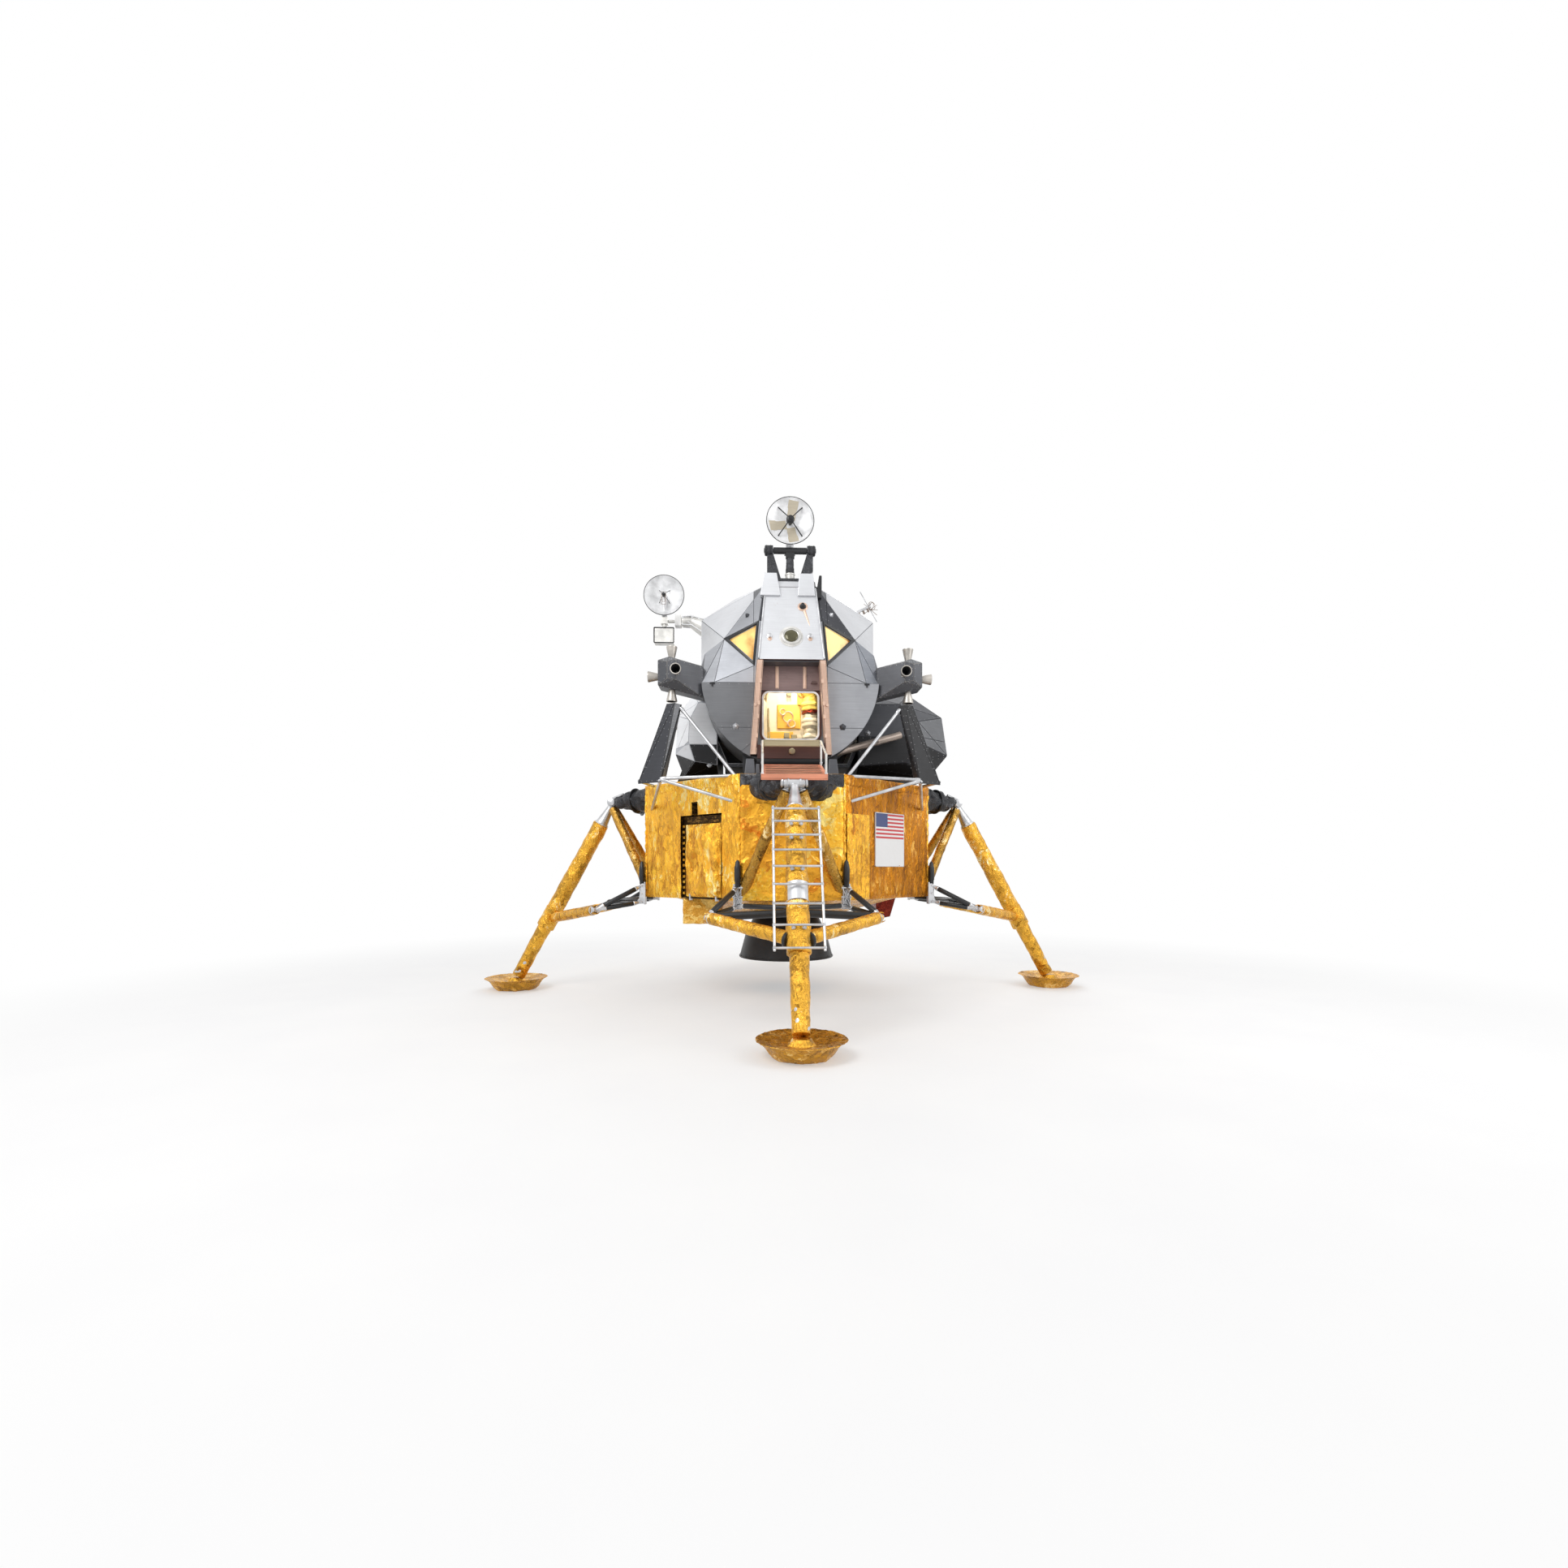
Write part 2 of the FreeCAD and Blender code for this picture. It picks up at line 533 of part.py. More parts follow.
def equipment_pallet():
    """The pallet that folds down out of its bay about a pin along its lower front edge."""
    axis_y, axis_z = "-(corner_reach + pallet_pin_out)", "(pallet_floor + pallet_pin_rise)"
    eye = "2 * (pallet_pin_out - moving_gap)"

    def across(name, start, end, width):
        return rod(name, (f"pallet_shift + {start}", axis_y, axis_z),
                   (f"pallet_shift + {end}", axis_y, axis_z),
                   width)

    body = box("pallet_box", ("pallet_width", "pallet_depth", "pallet_height"),
               ("pallet_shift - pallet_width / 2", "-corner_reach", "pallet_floor"))
    pieces, lugs = [body], []
    for side in (-1, 1):
        inner, outer = f"{side} * pallet_width * 0.2", f"{side} * pallet_width * 0.34"
        low = inner if side > 0 else outer
        pieces.append(across("pallet_barrel", inner, outer, eye))
        pieces.append(box("pallet_web", ("pallet_width * 0.14", "pallet_pin_out + 1", eye),
                          (f"pallet_shift + {low}", axis_y, f"{axis_z} - {eye} / 2")))
        lug_in, lug_out = f"{side} * (pallet_width * 0.34 + moving_gap)", f"{side} * pallet_width * 0.39"
        low = lug_in if side > 0 else lug_out
        wide = "pallet_width * 0.05 - moving_gap"
        arm = box("pallet_lug_arm", (wide, "24", f"{axis_z} - stage_floor + 20"),
                  (f"pallet_shift + {low}", f"{axis_y} - 12", "stage_floor - 20"))
        foot = box("pallet_lug_foot", (wide, "pallet_pin_out + 14", "pallet_rise - moving_gap + 17"),
                   (f"pallet_shift + {low}", f"{axis_y} - 12", "stage_floor - 20"))
        lugs += [across("pallet_lug_eye", lug_in, lug_out, eye), arm, foot]
    pin = across("pallet_pin", "-pallet_width * 0.39", "pallet_width * 0.39", "pallet_pin_width")
    bore = across("pallet_bore", "-pallet_width * 0.4", "pallet_width * 0.4",
                  "pallet_pin_width + 2 * pin_gap")
    pallet = trimmed("pallet_with_eyes", fused("pallet_pieces", pieces), [bore])
    node("equipment_pallet", grouped("equipment_pallet", [pallet], "-45"))
    hinge = grouped("hinge_turned", [fused("pallet_hinge_pieces", [pin, *lugs])], "-45")
    node("pallet_hinge", trimmed("pallet_hinge", hinge, [stage_block]))


def descent_engine():
    """Chamber and nozzle in a gimbal ring that hangs from two beams across the well."""
    outside = (("bell_throat_width / 2", "throat_up"), ("bell_waist_width / 2", "bell_waist_up"),
               ("bell_waist_width * 0.3 + bell_mouth_width * 0.2",
                "bell_waist_up * 0.76 + bell_mouth_up * 0.24"),
               ("bell_waist_width * 0.12 + bell_mouth_width * 0.38",
                "bell_waist_up * 0.42 + bell_mouth_up * 0.58"),
               ("bell_mouth_width / 2", "bell_mouth_up"))
    inside = [(f"{radius} - bell_wall", height) for radius, height in reversed(outside)]
    bell = turned("descent_nozzle", [*outside, *inside])
    node("descent_nozzle", bell)

    chamber = upright("chamber", ("0", "0", "throat_up"), "chamber_top - throat_up", "chamber_width")
    pins = rod("pitch_pins", ("0", "-ring_width / 2 - 6", "gimbal_up"),
               ("0", "ring_width / 2 + 6", "gimbal_up"), "trunnion_width")
    node("descent_engine_chamber", fused("descent_engine_chamber", [chamber, pins]))

    ring_floor = ("0", "0", "gimbal_up - ring_height / 2")
    ring = upright("ring_block", ring_floor, "ring_height", "ring_width")
    ring_hole = upright("ring_hole", ring_floor, "ring_height", "ring_width - 2 * ring_wall")
    pin_holes = rod("pitch_pin_holes", ("0", "-ring_width / 2 - 9", "gimbal_up"),
                    ("0", "ring_width / 2 + 9", "gimbal_up"), "trunnion_width + 2 * pin_gap")
    arms = []
    for side in (-1, 1):
        arms.append(rod("roll_pin", (f"{side} * (ring_width / 2 - ring_wall / 2)", "0", "gimbal_up"),
                        (f"{side} * (engine_bay_width / 2 - 30)", "0", "gimbal_up"), "trunnion_width"))
    hoop = trimmed("hoop", ring, [ring_hole, pin_holes])
    node("gimbal_ring", fused("gimbal_ring", [hoop, *arms]))

    beams = []
    for side in (-1, 1):
        inner = "ring_width / 2 + moving_gap * 2"
        widths = ("engine_bay_width / 2 - (ring_width / 2 + moving_gap * 2)", "140", "220")
        low = inner if side > 0 else "-engine_bay_width / 2"
        block = box("bearing_block", widths, (low, "-70", "gimbal_up - 110"))
        bore = rod("bearing_bore", (f"{side} * ring_width / 2", "0", "gimbal_up"),
                   (f"{side} * engine_bay_width", "0", "gimbal_up"), "trunnion_width + 2 * pin_gap")
        well = upright("well_core", ("0", "0", "gimbal_up - 110"), "220", "engine_bay_width")
        part = doc.addObject("Part::Common", "bearing_in_well")
        part.Base, part.Tool = block, well
        beams.append(trimmed("bearing", part, [bore]))
    node("gimbal_bearings", grouped("gimbal_bearings", beams))


# ---------------------------------------------------------------- landing gear

APEX = ("0", "-apex_reach", "apex_up")
ANKLE = ("0", "-gear_reach", "ankle_up")
COLLAR_SHARE = "((apex_up - collar_up) / (apex_up - ankle_up))"
COLLAR = share(APEX, ANKLE, COLLAR_SHARE)
LADDER_ARMS = (1, 2, 4, 7)      # rungs that have arms to the leg, counted from the top
LEG_LENGTH = "sqrt(pow(gear_reach - apex_reach; 2) + pow(apex_up - ankle_up; 2))"


def footpad():
    """A shallow dish on a flat floor, with a hub that takes the foot of the leg."""
    rim, floor = "pad_width / 2", "pad_floor_width / 2"
    outline = (("0", "0"), (floor, "0"), (f"({rim}) * 0.86", "pad_depth * 0.42"), (rim, "pad_depth"),
               (f"{rim} - pad_wall", "pad_depth"), (f"({rim}) * 0.8", "pad_depth * 0.62"),
               ("leg_lower_width", "pad_depth * 0.42"), ("leg_lower_width * 0.62", "pad_depth * 1.5"),
               ("0", "pad_depth * 1.5"))
    pad = turned("pad", outline)
    return place(pad, ("0", "-gear_reach", "0"))


def main_strut(pad):
    """Knuckle, cone, outer and inner cylinder and collar, on one slanting axis."""
    cone_foot = share(APEX, ANKLE, "0.13")
    sleeve_foot = share(APEX, ANKLE, f"{COLLAR_SHARE} - 0.05")
    half_collar = f"collar_length / 2 / {LEG_LENGTH}"
    collar = [share(APEX, ANKLE, f"{COLLAR_SHARE} {sign} {half_collar}") for sign in "-+"]
    pieces = [
        rod("knuckle", ("-knuckle_length / 2", "-apex_reach", "apex_up"),
            ("knuckle_length / 2", "-apex_reach", "apex_up"), "knuckle_width"),
        rod("leg_head", APEX, cone_foot, "leg_head_width", "leg_upper_width * 0.82"),
        rod("leg_sleeve", cone_foot, sleeve_foot, "leg_upper_width"),
        rod("leg_piston", sleeve_foot, ANKLE, "leg_lower_width"),
        rod("leg_collar", collar[0], collar[1], "collar_width"),
    ]
    return trimmed("leg", fused("leg_pieces", pieces), [pad])


def side_struts(leg, truss_ends):
    """Two tubes from the collar to the ends of the folding truss, cut where they meet it."""
    tubes = []
    for side in (-1, 1):
        end = (f"{side} * truss_half", "-truss_reach", "truss_up")
        tubes.append(trimmed("side_strut", rod("side_tube", COLLAR, end, "side_strut_width"),
                             [leg, *truss_ends]))
    return tubes


def folding_truss():
    """Front bar with its end fittings, a back bar with its brackets, and four stays between them."""
    ends = [(f"{side} * truss_half", "-truss_reach", "truss_up") for side in (-1, 1)]
    joints = [rod("bar_joint", (x, f"{y} - truss_joint_width * 0.75", z),
                  (x, f"{y} + truss_joint_width * 0.75", z), "truss_joint_width") for x, y, z in ends]
    front = fused("front_bar", [rod("bar", ends[0], ends[1], "truss_bar_width"), *joints])

    skin = "-stage_width / 2"
    middle = f"{skin} - bracket_width / 2 - bracket_standoff"
    brackets, stays = [], []
    for side, end in zip((-1, 1), ends):
        x = f"{side} * bracket_half"
        block = box("bracket_block", ("bracket_width", "bracket_width + 6 * bracket_standoff",
                                      "bracket_head - bracket_foot"),
                    (f"{x} - bracket_width / 2", f"{skin} - bracket_width - bracket_standoff",
                     "bracket_foot"))
        spring = upright("spring", (x, middle, "bracket_head"), "spring_height", "spring_width")
        brackets.append(trimmed("bracket", fused("bracket_and_spring", [block, spring]), [stage_block]))
        upper = rod("upper_stay", (x, middle, "bracket_head - 40"), end, "truss_tube_width")
        lower = rod("lower_stay", (x, middle, "bracket_foot + 60"), end, "truss_tube_width * 1.1")
        stays.append(trimmed("upper_stay_cut", upper, [front, brackets[-1]]))
        stays.append(trimmed("lower_stay_cut", lower, [front, brackets[-1], upper]))
    bar = rod("back_bar_block", ("-bracket_half", middle, "bracket_foot + 30"),
              ("bracket_half", middle, "bracket_foot + 30"), "truss_tube_width * 0.8")
    return brackets, [front, *stays], [front, trimmed("back_bar", bar, brackets), *brackets, *stays]


def outriggers(leg, brackets):
    """Two wrapped outriggers and two slanting tubes that hold the head of the leg."""
    pieces = []
    for side in (-1, 1):
        root = (f"{side} * outrigger_half", "-stage_width / 2 + 60", "outrigger_up")
        tip = (f"{side} * knuckle_length * 0.3", "-apex_reach", "apex_up")
        cone = rod("wrapped_outrigger", root, tip, "outrigger_root_width", "outrigger_tip_width")
        pieces.append(trimmed("outrigger", cone, [leg, stage_block]))
        foot = (f"{side} * brace_half", "-stage_width / 2 + 40", "brace_up")
        head = (f"{side} * knuckle_length * 0.34", "-apex_reach + 30", "apex_up - 60")
        tube = rod("slanting_brace", foot, head, "brace_width")
        pieces.append(trimmed("brace", tube, [leg, stage_block, cone, *brackets]))
    return pieces


def landing_gear():
    """One leg's parts, and a copy of each turned to the four sides."""
    pad = footpad()
    leg = main_strut(pad)
    brackets, truss_ends, truss = folding_truss()
    parts = (("footpad", [pad]), ("main_strut", [leg]), ("side_struts", side_struts(leg, truss_ends)),
             ("folding_truss", truss), ("outriggers", outriggers(leg, brackets)))
    for side, angle in (("front", "0"), ("right", "90"), ("back", "180"), ("left", "270")):
        for name, solids in parts:
            node(f"{side}_{name}", grouped(f"{side}_{name}", solids, angle))


def ladder():
    """Two rails with rungs, on short arms from the front leg."""
    drop = "(apex_up - ankle_up)"
    slant = f"((gear_reach - apex_reach) / {drop})"

    def rail_point(side, height):
        reach = f"(apex_reach + (apex_up - ({height})) * {slant} + ladder_standoff)"
        return (f"{side} * ladder_width / 2", f"-{reach}", height)

    rails = [rod("rail", rail_point(side, "ladder_bottom - 30"), rail_point(side, "ladder_top + 25"),
                 "ladder_tube_width") for side in (-1, 1)]
    strut = finished("front_main_strut")
    pieces = list(rails)
    growth = ("(ladder_height - (ladder_rungs - 1) * ladder_pitch)"
              " * 2 / ((ladder_rungs - 1) * (ladder_rungs - 2))")
    for index in range(round(value("ladder_rungs"))):
        height = f"ladder_top - {index} * ladder_pitch - {index * (index - 1) // 2} * {growth}"
        rung = rod("rung", rail_point(-1, height), rail_point(1, height), "ladder_tube_width * 0.9")
        pieces.append(trimmed("rung_cut", rung, rails))
        if index in LADDER_ARMS:
            for side in (-0.22, 0.22):
                start = rail_point(side, height)
                end = (start[0], f"{start[1]} + ladder_standoff", start[2])
                arm = rod("ladder_arm", start, end, "ladder_tube_width * 0.7")
                pieces.append(trimmed("ladder_arm_cut", arm, [strut, rung]))
    node("ladder", grouped("ladder", pieces))


def porch():
    """The sloping deck in front of the hatch, and the handrails on both sides of it."""
    half = "porch_width / 2"
    deck = faceted("deck", both_sides([
        (half, "-porch_back", "porch_back_up"), (half, "-porch_back", "porch_back_up - porch_thick"),
        (half, "-porch_front", "porch_front_up"), (half, "-porch_front", "porch_front_up - porch_thick")]))
    feet = [box("porch_foot", ("60", "90", "porch_back_up - stage_top"),
                (f"{side} * 330 - 30", "-stage_width / 2 + 20", "stage_top")) for side in (-1, 1)]
    under = faceted("space_over_deck", both_sides([
        (half, "-porch_back + 200", "porch_back_up + 58"), (half, "-porch_front", "porch_front_up"),
        (half, "-porch_back + 200", "porch_back_up + 400"), (half, "-porch_front", "porch_back_up + 400")]))
    feet = trimmed("porch_feet", fused("porch_feet_pair", feet), [under])
    tools = [finished("front_outriggers"), finished("front_main_strut")]
    node("porch_deck", trimmed("porch_deck", fused("deck_and_feet", [deck, feet]), tools))

    rails = []
    for side in (-1, 1):
        x = f"{side} * (porch_width / 2 - rail_width / 2)"
        foot = (x, "-porch_front + 40", "porch_front_up - 10")
        knee = (x, "-porch_front + 40", "porch_front_up + 250")
        head = (x, "-rail_head_reach", "rail_head_up")
        heel = (x, "-rail_head_reach", "porch_back_up - 30")
        tubes = [rod("rail_post", foot, knee, "rail_width"), rod("rail_top", knee, head, "rail_width"),
                 rod("rail_back", heel, head, "rail_width"),
                 upright("rail_knee", (knee[0], knee[1], f"{knee[2]} - 14"), "28", "rail_width * 1.1")]
        rails.append(trimmed("porch_rail", fused("rail_tubes", tubes), [deck]))
    lip = box("lip_board", ("porch_width - rail_width", "24", "lip_height"),
              ("-(porch_width - rail_width) / 2", "-rail_head_reach - 12", "rail_head_up - lip_height + 14"))
    node("porch_rails", grouped("porch_rails", [*rails, trimmed("lip", lip, rails)]))


# ---------------------------------------------------------------- ascent stage

# corners of a window's surround, on the right
WINDOW_HEAD = ("window_inner_half", "-cabin_front", "window_head_up")
WINDOW_FOOT = ("window_foot_half", "-cabin_front", "window_foot_up")
WINDOW_TIP = ("window_tip_half", "-window_tip_reach", "window_tip_up")
# corners of the head on the right, and how far each is drawn in for the room inside, in walls
CHEEKS = (
    (("cabin_width / 2 - 3", "-cabin_front + 60", "seam_up"), (-1, 1, 0)),
    (("cabin_width / 2 - 180", "-cabin_front", "seam_up"), (-0.5, 1, 0)),
    (("window_foot_half", "-cabin_front", "seam_up"), (0, 1, 0)),
    (WINDOW_FOOT, (-0.5, 1, -0.4)),
    (WINDOW_TIP, (-0.5, 1, -1)),
    (("middle_half - 110", "-cabin_front + 320", "cabin_up + 400"), (-1, 1, -0.6)),
    (("middle_half - 50", "-cabin_front + 220", "cabin_up + 110"), (-1, 1, 0)),
    (("middle_half", "-cabin_back", "seam_up"), (-1, 0, 0)),
    (("middle_half", "-cabin_back", "cabin_up + 460"), (-1, 0, -1)),
)
CROWN = (
    (WINDOW_HEAD, (-0.5, 1, -0.2)),
    (WINDOW_FOOT, (-0.5, 1, 0)),
    (WINDOW_TIP, (-1, 1, 0)),
    (("brow_top_half + 25", "-cabin_front + 160", "roof_up - 150"), (-0.5, 1, -1)),
    (("brow_top_half + 345", "-cabin_front + 420", "shoulder_up - 50"), (-1, 1, -0.6)),
    (("middle_half", "-cabin_back", "shoulder_up"), (-1, 0, -0.6)),
    (("roof_half", "-cabin_back", "roof_up"), (-0.5, 0, -1)),
    (("middle_half", "-cabin_back", "cabin_up + 460"), (-1, 0, 0)),
    (("middle_half - 390", "-cabin_back", "cabin_up + 110"), (0, 0, 0)),
)


def drawn_in(table):
    """The corners of the room inside a table's solid; at its foot and back it runs 1 mm past the solid."""
    corners = []
    for point, walls in table:
        x, y, z = (f"{text} + {walls_in} * cabin_wall" for text, walls_in in zip(point, walls))
        y = "-cabin_back + 1" if point[1] == "-cabin_back" else y
        z = "seam_up - 1" if point[2] == "seam_up" else z
        corners.append((x, y, z))
    return corners


def drum(name, front, back, width):
    """The round lower part of the cabin, cut off level with the seam under the cheeks."""
    whole = rod(name + "_whole", ("0", front, "cabin_up"), ("0", back, "cabin_up"), width)
    above = box(name + "_above", ("2 * cabin_width", "2 * cabin_width", "cabin_width"),
                ("-cabin_width", "-cabin_width", "seam_up"))
    return trimmed(name, whole, [above])


def cabin():
    """The hollow crew cabin: a round drum under a faceted head, with the hatch and windows cut out."""
    outside = fused("cabin_outside", [
        drum("drum", "-cabin_front", "-cabin_back", "cabin_width"),
        faceted("cheeks", both_sides([point for point, _ in CHEEKS])),
        faceted("crown", both_sides([point for point, _ in CROWN]))])
    rooms = [
        drum("drum_room", "-cabin_front + cabin_wall", "-cabin_back + 1", "cabin_width - 2 * cabin_wall"),
        faceted("cheeks_room", both_sides(drawn_in(CHEEKS))),
        faceted("crown_room", both_sides(drawn_in(CROWN)))]
    hatch_cut = prism("hatch_cut", "XZ_Plane",
                      rounded("hatch_width", "hatch_floor", "hatch_height", "hatch_corner"), "200")
    place(hatch_cut, ("0", "-cabin_front + 100", "0"))
    glass_holes = [window_prism("window_cut", side, "240", "-120") for side in (-1, 1)]
    node("crew_cabin", trimmed("crew_cabin", outside, [*rooms, hatch_cut, *glass_holes]))
    panes = [window_prism("pane", side, "glass_thick", "-glass_thick - 12") for side in (-1, 1)]
    node("windows", grouped("windows", panes))
    return outside


def rounded(width, floor, height, corner):
    """Corners of an upright rectangle whose four corners are cut in two short chords each."""
    half, top = f"({width}) / 2", f"(({floor}) + ({height}))"
    near, far = f"({corner}) * 0.29", f"({corner})"
    right = ((f"{half} - {far}", floor),
             (f"{half} - {near}", f"({floor}) + {near}"),
             (half, f"({floor}) + {far}"),
             (half, f"{top} - {far}"),
             (f"{half} - {near}", f"{top} - {near}"),
             (f"{half} - {far}", top))
    return [*right, *((f"-({x})", y) for x, y in reversed(right))]


def window_prism(name, side, thick, start):
    """A three-cornered block square to a window, from start to start + thick along its outward normal."""
    corners = [vector(point) for point in (WINDOW_HEAD, WINDOW_FOOT, WINDOW_TIP)]
    hub = sum(corners, FreeCAD.Vector()) * (1.0 / 3.0)
    corners = [hub + (corner - hub) * value("window_inset") for corner in corners]
    normal = (corners[2] - corners[1]).cross(corners[0] - corners[1]).normalize()
    corners = [corner + normal * value(start) for corner in corners]
    block = Part.Face(Part.makePolygon([*corners, corners[0]])).extrude(normal * value(thick))
    item = doc.addObject("Part::Feature", name)
    item.Shape = block if side > 0 else block.mirror(FreeCAD.Vector(), FreeCAD.Vector(1, 0, 0))
    return item


def face_panel(outside):
    """The panel between the windows and the two jambs that run down beside the hatch."""
    brow = faceted("brow", both_sides([
        ("brow_top_half", "-brow_top_reach", "brow_top_up"),
        ("brow_foot_half", "-brow_foot_reach", "brow_foot_up"),
        ("brow_top_half", "-brow_top_reach + 50", "brow_cap_up"), ("brow_top_half", "-1300", "brow_cap_up"),
        ("brow_foot_half", "-1500", "brow_foot_up"), ("brow_foot_half", "-1500", "brow_foot_up + 100")]))
    solids = [trimmed("brow_cut", brow, [outside])]
    for side in (-1, 1):
        foot, head = "jamb_foot_half", "brow_foot_half"
        corners = []
        for reach, height, half in (("-brow_foot_reach", "brow_foot_up - 1", head),
                                    ("-cabin_front - 160", "jamb_foot_up", foot)):
            for x in (f"{half} + jamb_width * 0.3", f"{half} - jamb_width * 0.7"):
                corners += [(x, reach, height), (x, "-cabin_front + 30", height)]
        if side < 0:
            corners = [mirrored(point) for point in corners]
        solids.append(trimmed("jamb", faceted("jamb_block", corners), [outside, brow]))
    node("face_panel", grouped("face_panel", solids))


def front_hatch():
    """The inward-opening door, standing open, on a pin held by two lugs."""
    axis_x = "-(hatch_width / 2 + hatch_lap + 30)"
    axis_y = "-cabin_front + cabin_wall + 34"
    low, high = "hatch_floor + 90", "hatch_floor + hatch_height - 90"
    # the door is drawn shut, then turned open about the pin
    slab = prism("door_slab", "XZ_Plane",
                 rounded("hatch_width + 2 * hatch_lap", "hatch_floor - hatch_lap",
                         "hatch_height + 2 * hatch_lap", "hatch_corner + hatch_lap"), "hatch_thick", back=True)
    place(slab, ("0", "-cabin_front + cabin_wall + moving_gap", "0"))
    barrel_low, barrel_high = f"{low} + 60", f"{high} - 60"
    barrel = rod("door_barrel", (axis_x, axis_y, barrel_low), (axis_x, axis_y, barrel_high),
                 "hinge_pin_width + 26")
    strap = box("door_strap", ("60", "26", f"({barrel_high}) - ({barrel_low})"),
                (f"{axis_x}", f"{axis_y} - 13", barrel_low))
    bore = rod("door_bore", (axis_x, axis_y, low), (axis_x, axis_y, high), "hinge_pin_width + 2 * pin_gap")
    shut = trimmed("door_shut", fused("door_pieces", [slab, barrel, strap]), [bore])
    door = doc.addObject("Part::Compound", "front_hatch")
    door.Links = [shut]
    turn = f"placement(vector({axis_x}; {axis_y}; 0); rotation(vector(0; 0; 1); hatch_open))"
    back = f"placement(vector(-({axis_x}); -({axis_y}); 0); rotation(vector(0; 0; 1); 0))"
    door.setExpression("Placement", formula(f"{turn} * {back}"))
    node("front_hatch", door)

    pin = rod("door_pin", (axis_x, axis_y, low), (axis_x, axis_y, high), "hinge_pin_width")
    lugs = []
    for height in (low, f"{high} - 40"):
        lugs.append(upright("hinge_lug", (axis_x, axis_y, height), "40", "hinge_lug_width"))
        lugs.append(box("hinge_arm",
                        ("hinge_lug_width - 4", f"{axis_y} - (-cabin_front + cabin_wall - 6)", "40"),
                        (f"{axis_x} - hinge_lug_width / 2 + 2", "-cabin_front + cabin_wall - 6", height)))
    return trimmed("front_hinge", fused("hinge_pieces", [pin, *lugs]), [finished("crew_cabin")])


def middle_section():
    """The hollow middle of the ascent stage under its roof, the docking tunnel and the overhead hatch."""
    def outline(inset):
        right = [(f"roof_half - {inset} * 0.5", f"roof_up - {inset}"),
                 (f"middle_half - {inset}", f"shoulder_up - {inset} * 0.5"),
                 (f"middle_half - {inset}", "belly_up + 830"),
                 (f"belly_half - {inset} * 0.5", f"belly_up + {inset}")]
        return [*right, *((f"-({x})", z) for x, z in reversed(right))]

    block = prism("middle_block", "XZ_Plane", outline("0"), "cabin_back + middle_back", back=True)
    place(block, ("0", "-cabin_back", "0"))
    room = prism("middle_room", "XZ_Plane", outline("cabin_wall"),
                 "cabin_back + middle_back - cabin_wall + 1", back=True)
    place(room, ("0", "-cabin_back - 1", "0"))
    hole = upright("tunnel_hole", ("0", "0", "roof_up - 200"), "400", "tunnel_width")
    node("middle_section", trimmed("middle_section", block, [room, hole]))

    foot = "roof_up - cabin_wall"
    tunnel = upright("tunnel_block", ("0", "0", foot), f"tunnel_top - ({foot})", "tunnel_width")
    bore = upright("tunnel_bore", ("0", "0", f"{foot} - 1"), f"tunnel_top - ({foot}) + 2",
                   "tunnel_width - 2 * tunnel_wall")
    flange = upright("tunnel_flange", ("0", "0", "tunnel_top - 40"), "40", "tunnel_width + 80")
    node("docking_tunnel", trimmed("docking_tunnel", fused("tunnel_pieces", [tunnel, flange]), [bore]))

    # the overhead hatch closes the tunnel from below and swings down about a pin behind it
    lid_top = f"{foot} - moving_gap"
    lid = upright("lid", ("0", "0", f"{lid_top} - top_hatch_thick"), "top_hatch_thick",
                  "tunnel_width - 2 * tunnel_wall + 2 * top_hatch_lap")
    pin_y, pin_z = "tunnel_width / 2 + 20", f"{lid_top} - 34"
    ears = box("lid_ears", ("240", "110", "24"), ("-120", f"{pin_y} - 100", f"{pin_z} - 12"))
    barrel = rod("lid_barrel", ("-120", pin_y, pin_z), ("120", pin_y, pin_z), "hinge_pin_width + 22")
    bore = rod("lid_bore", ("-200", pin_y, pin_z), ("200", pin_y, pin_z), "hinge_pin_width + 2 * pin_gap")
    node("overhead_hatch", trimmed("overhead_hatch", fused("lid_pieces", [lid, ears, barrel]), [bore]))
    pin = rod("lid_pin", ("-190", pin_y, pin_z), ("190", pin_y, pin_z), "hinge_pin_width")
    lugs = [box("lid_lug", ("50", "60", f"({foot}) - ({pin_z}) + 24"),
                (x, f"{pin_y} - 30", f"{pin_z} - 24")) for x in ("-190", "140")]
    return block, fused("overhead_hinge", [pin, *lugs])


# share of the reach from the middle section's side, and the height above the cabin's axis
TANK_FULL = ((0.0, 110), (0.58, 70), (0.94, -270), (1.0, -850), (0.8, -1190), (0.0, -1230))
TANK_END = ((0.0, -160), (0.42, -160), (0.62, -410), (0.64, -730), (0.5, -1020), (0.0, -1070))


def tank_fairings(middle):
    """The faceted covers of the two propellant tanks, the right one standing further out."""
    for side, label, widest in ((1, "right_tank_fairing", "right_tank_half"),
                                (-1, "left_tank_fairing", "left_tank_half")):
        corners = []
        for outline, reach in ((TANK_FULL, "tank_shoulder"), (TANK_END, "tank_front")):
            for part, rise in outline:
                x = f"{side} * (middle_half - 240 + ({widest} - middle_half + 240) * {part})"
                corners += [(x, f"{y_sign} * {reach}", f"cabin_up + {rise}") for y_sign in (-1, 1)]
        node(label, trimmed(label, faceted(label + "_block", corners), [middle, cabin_outside]))


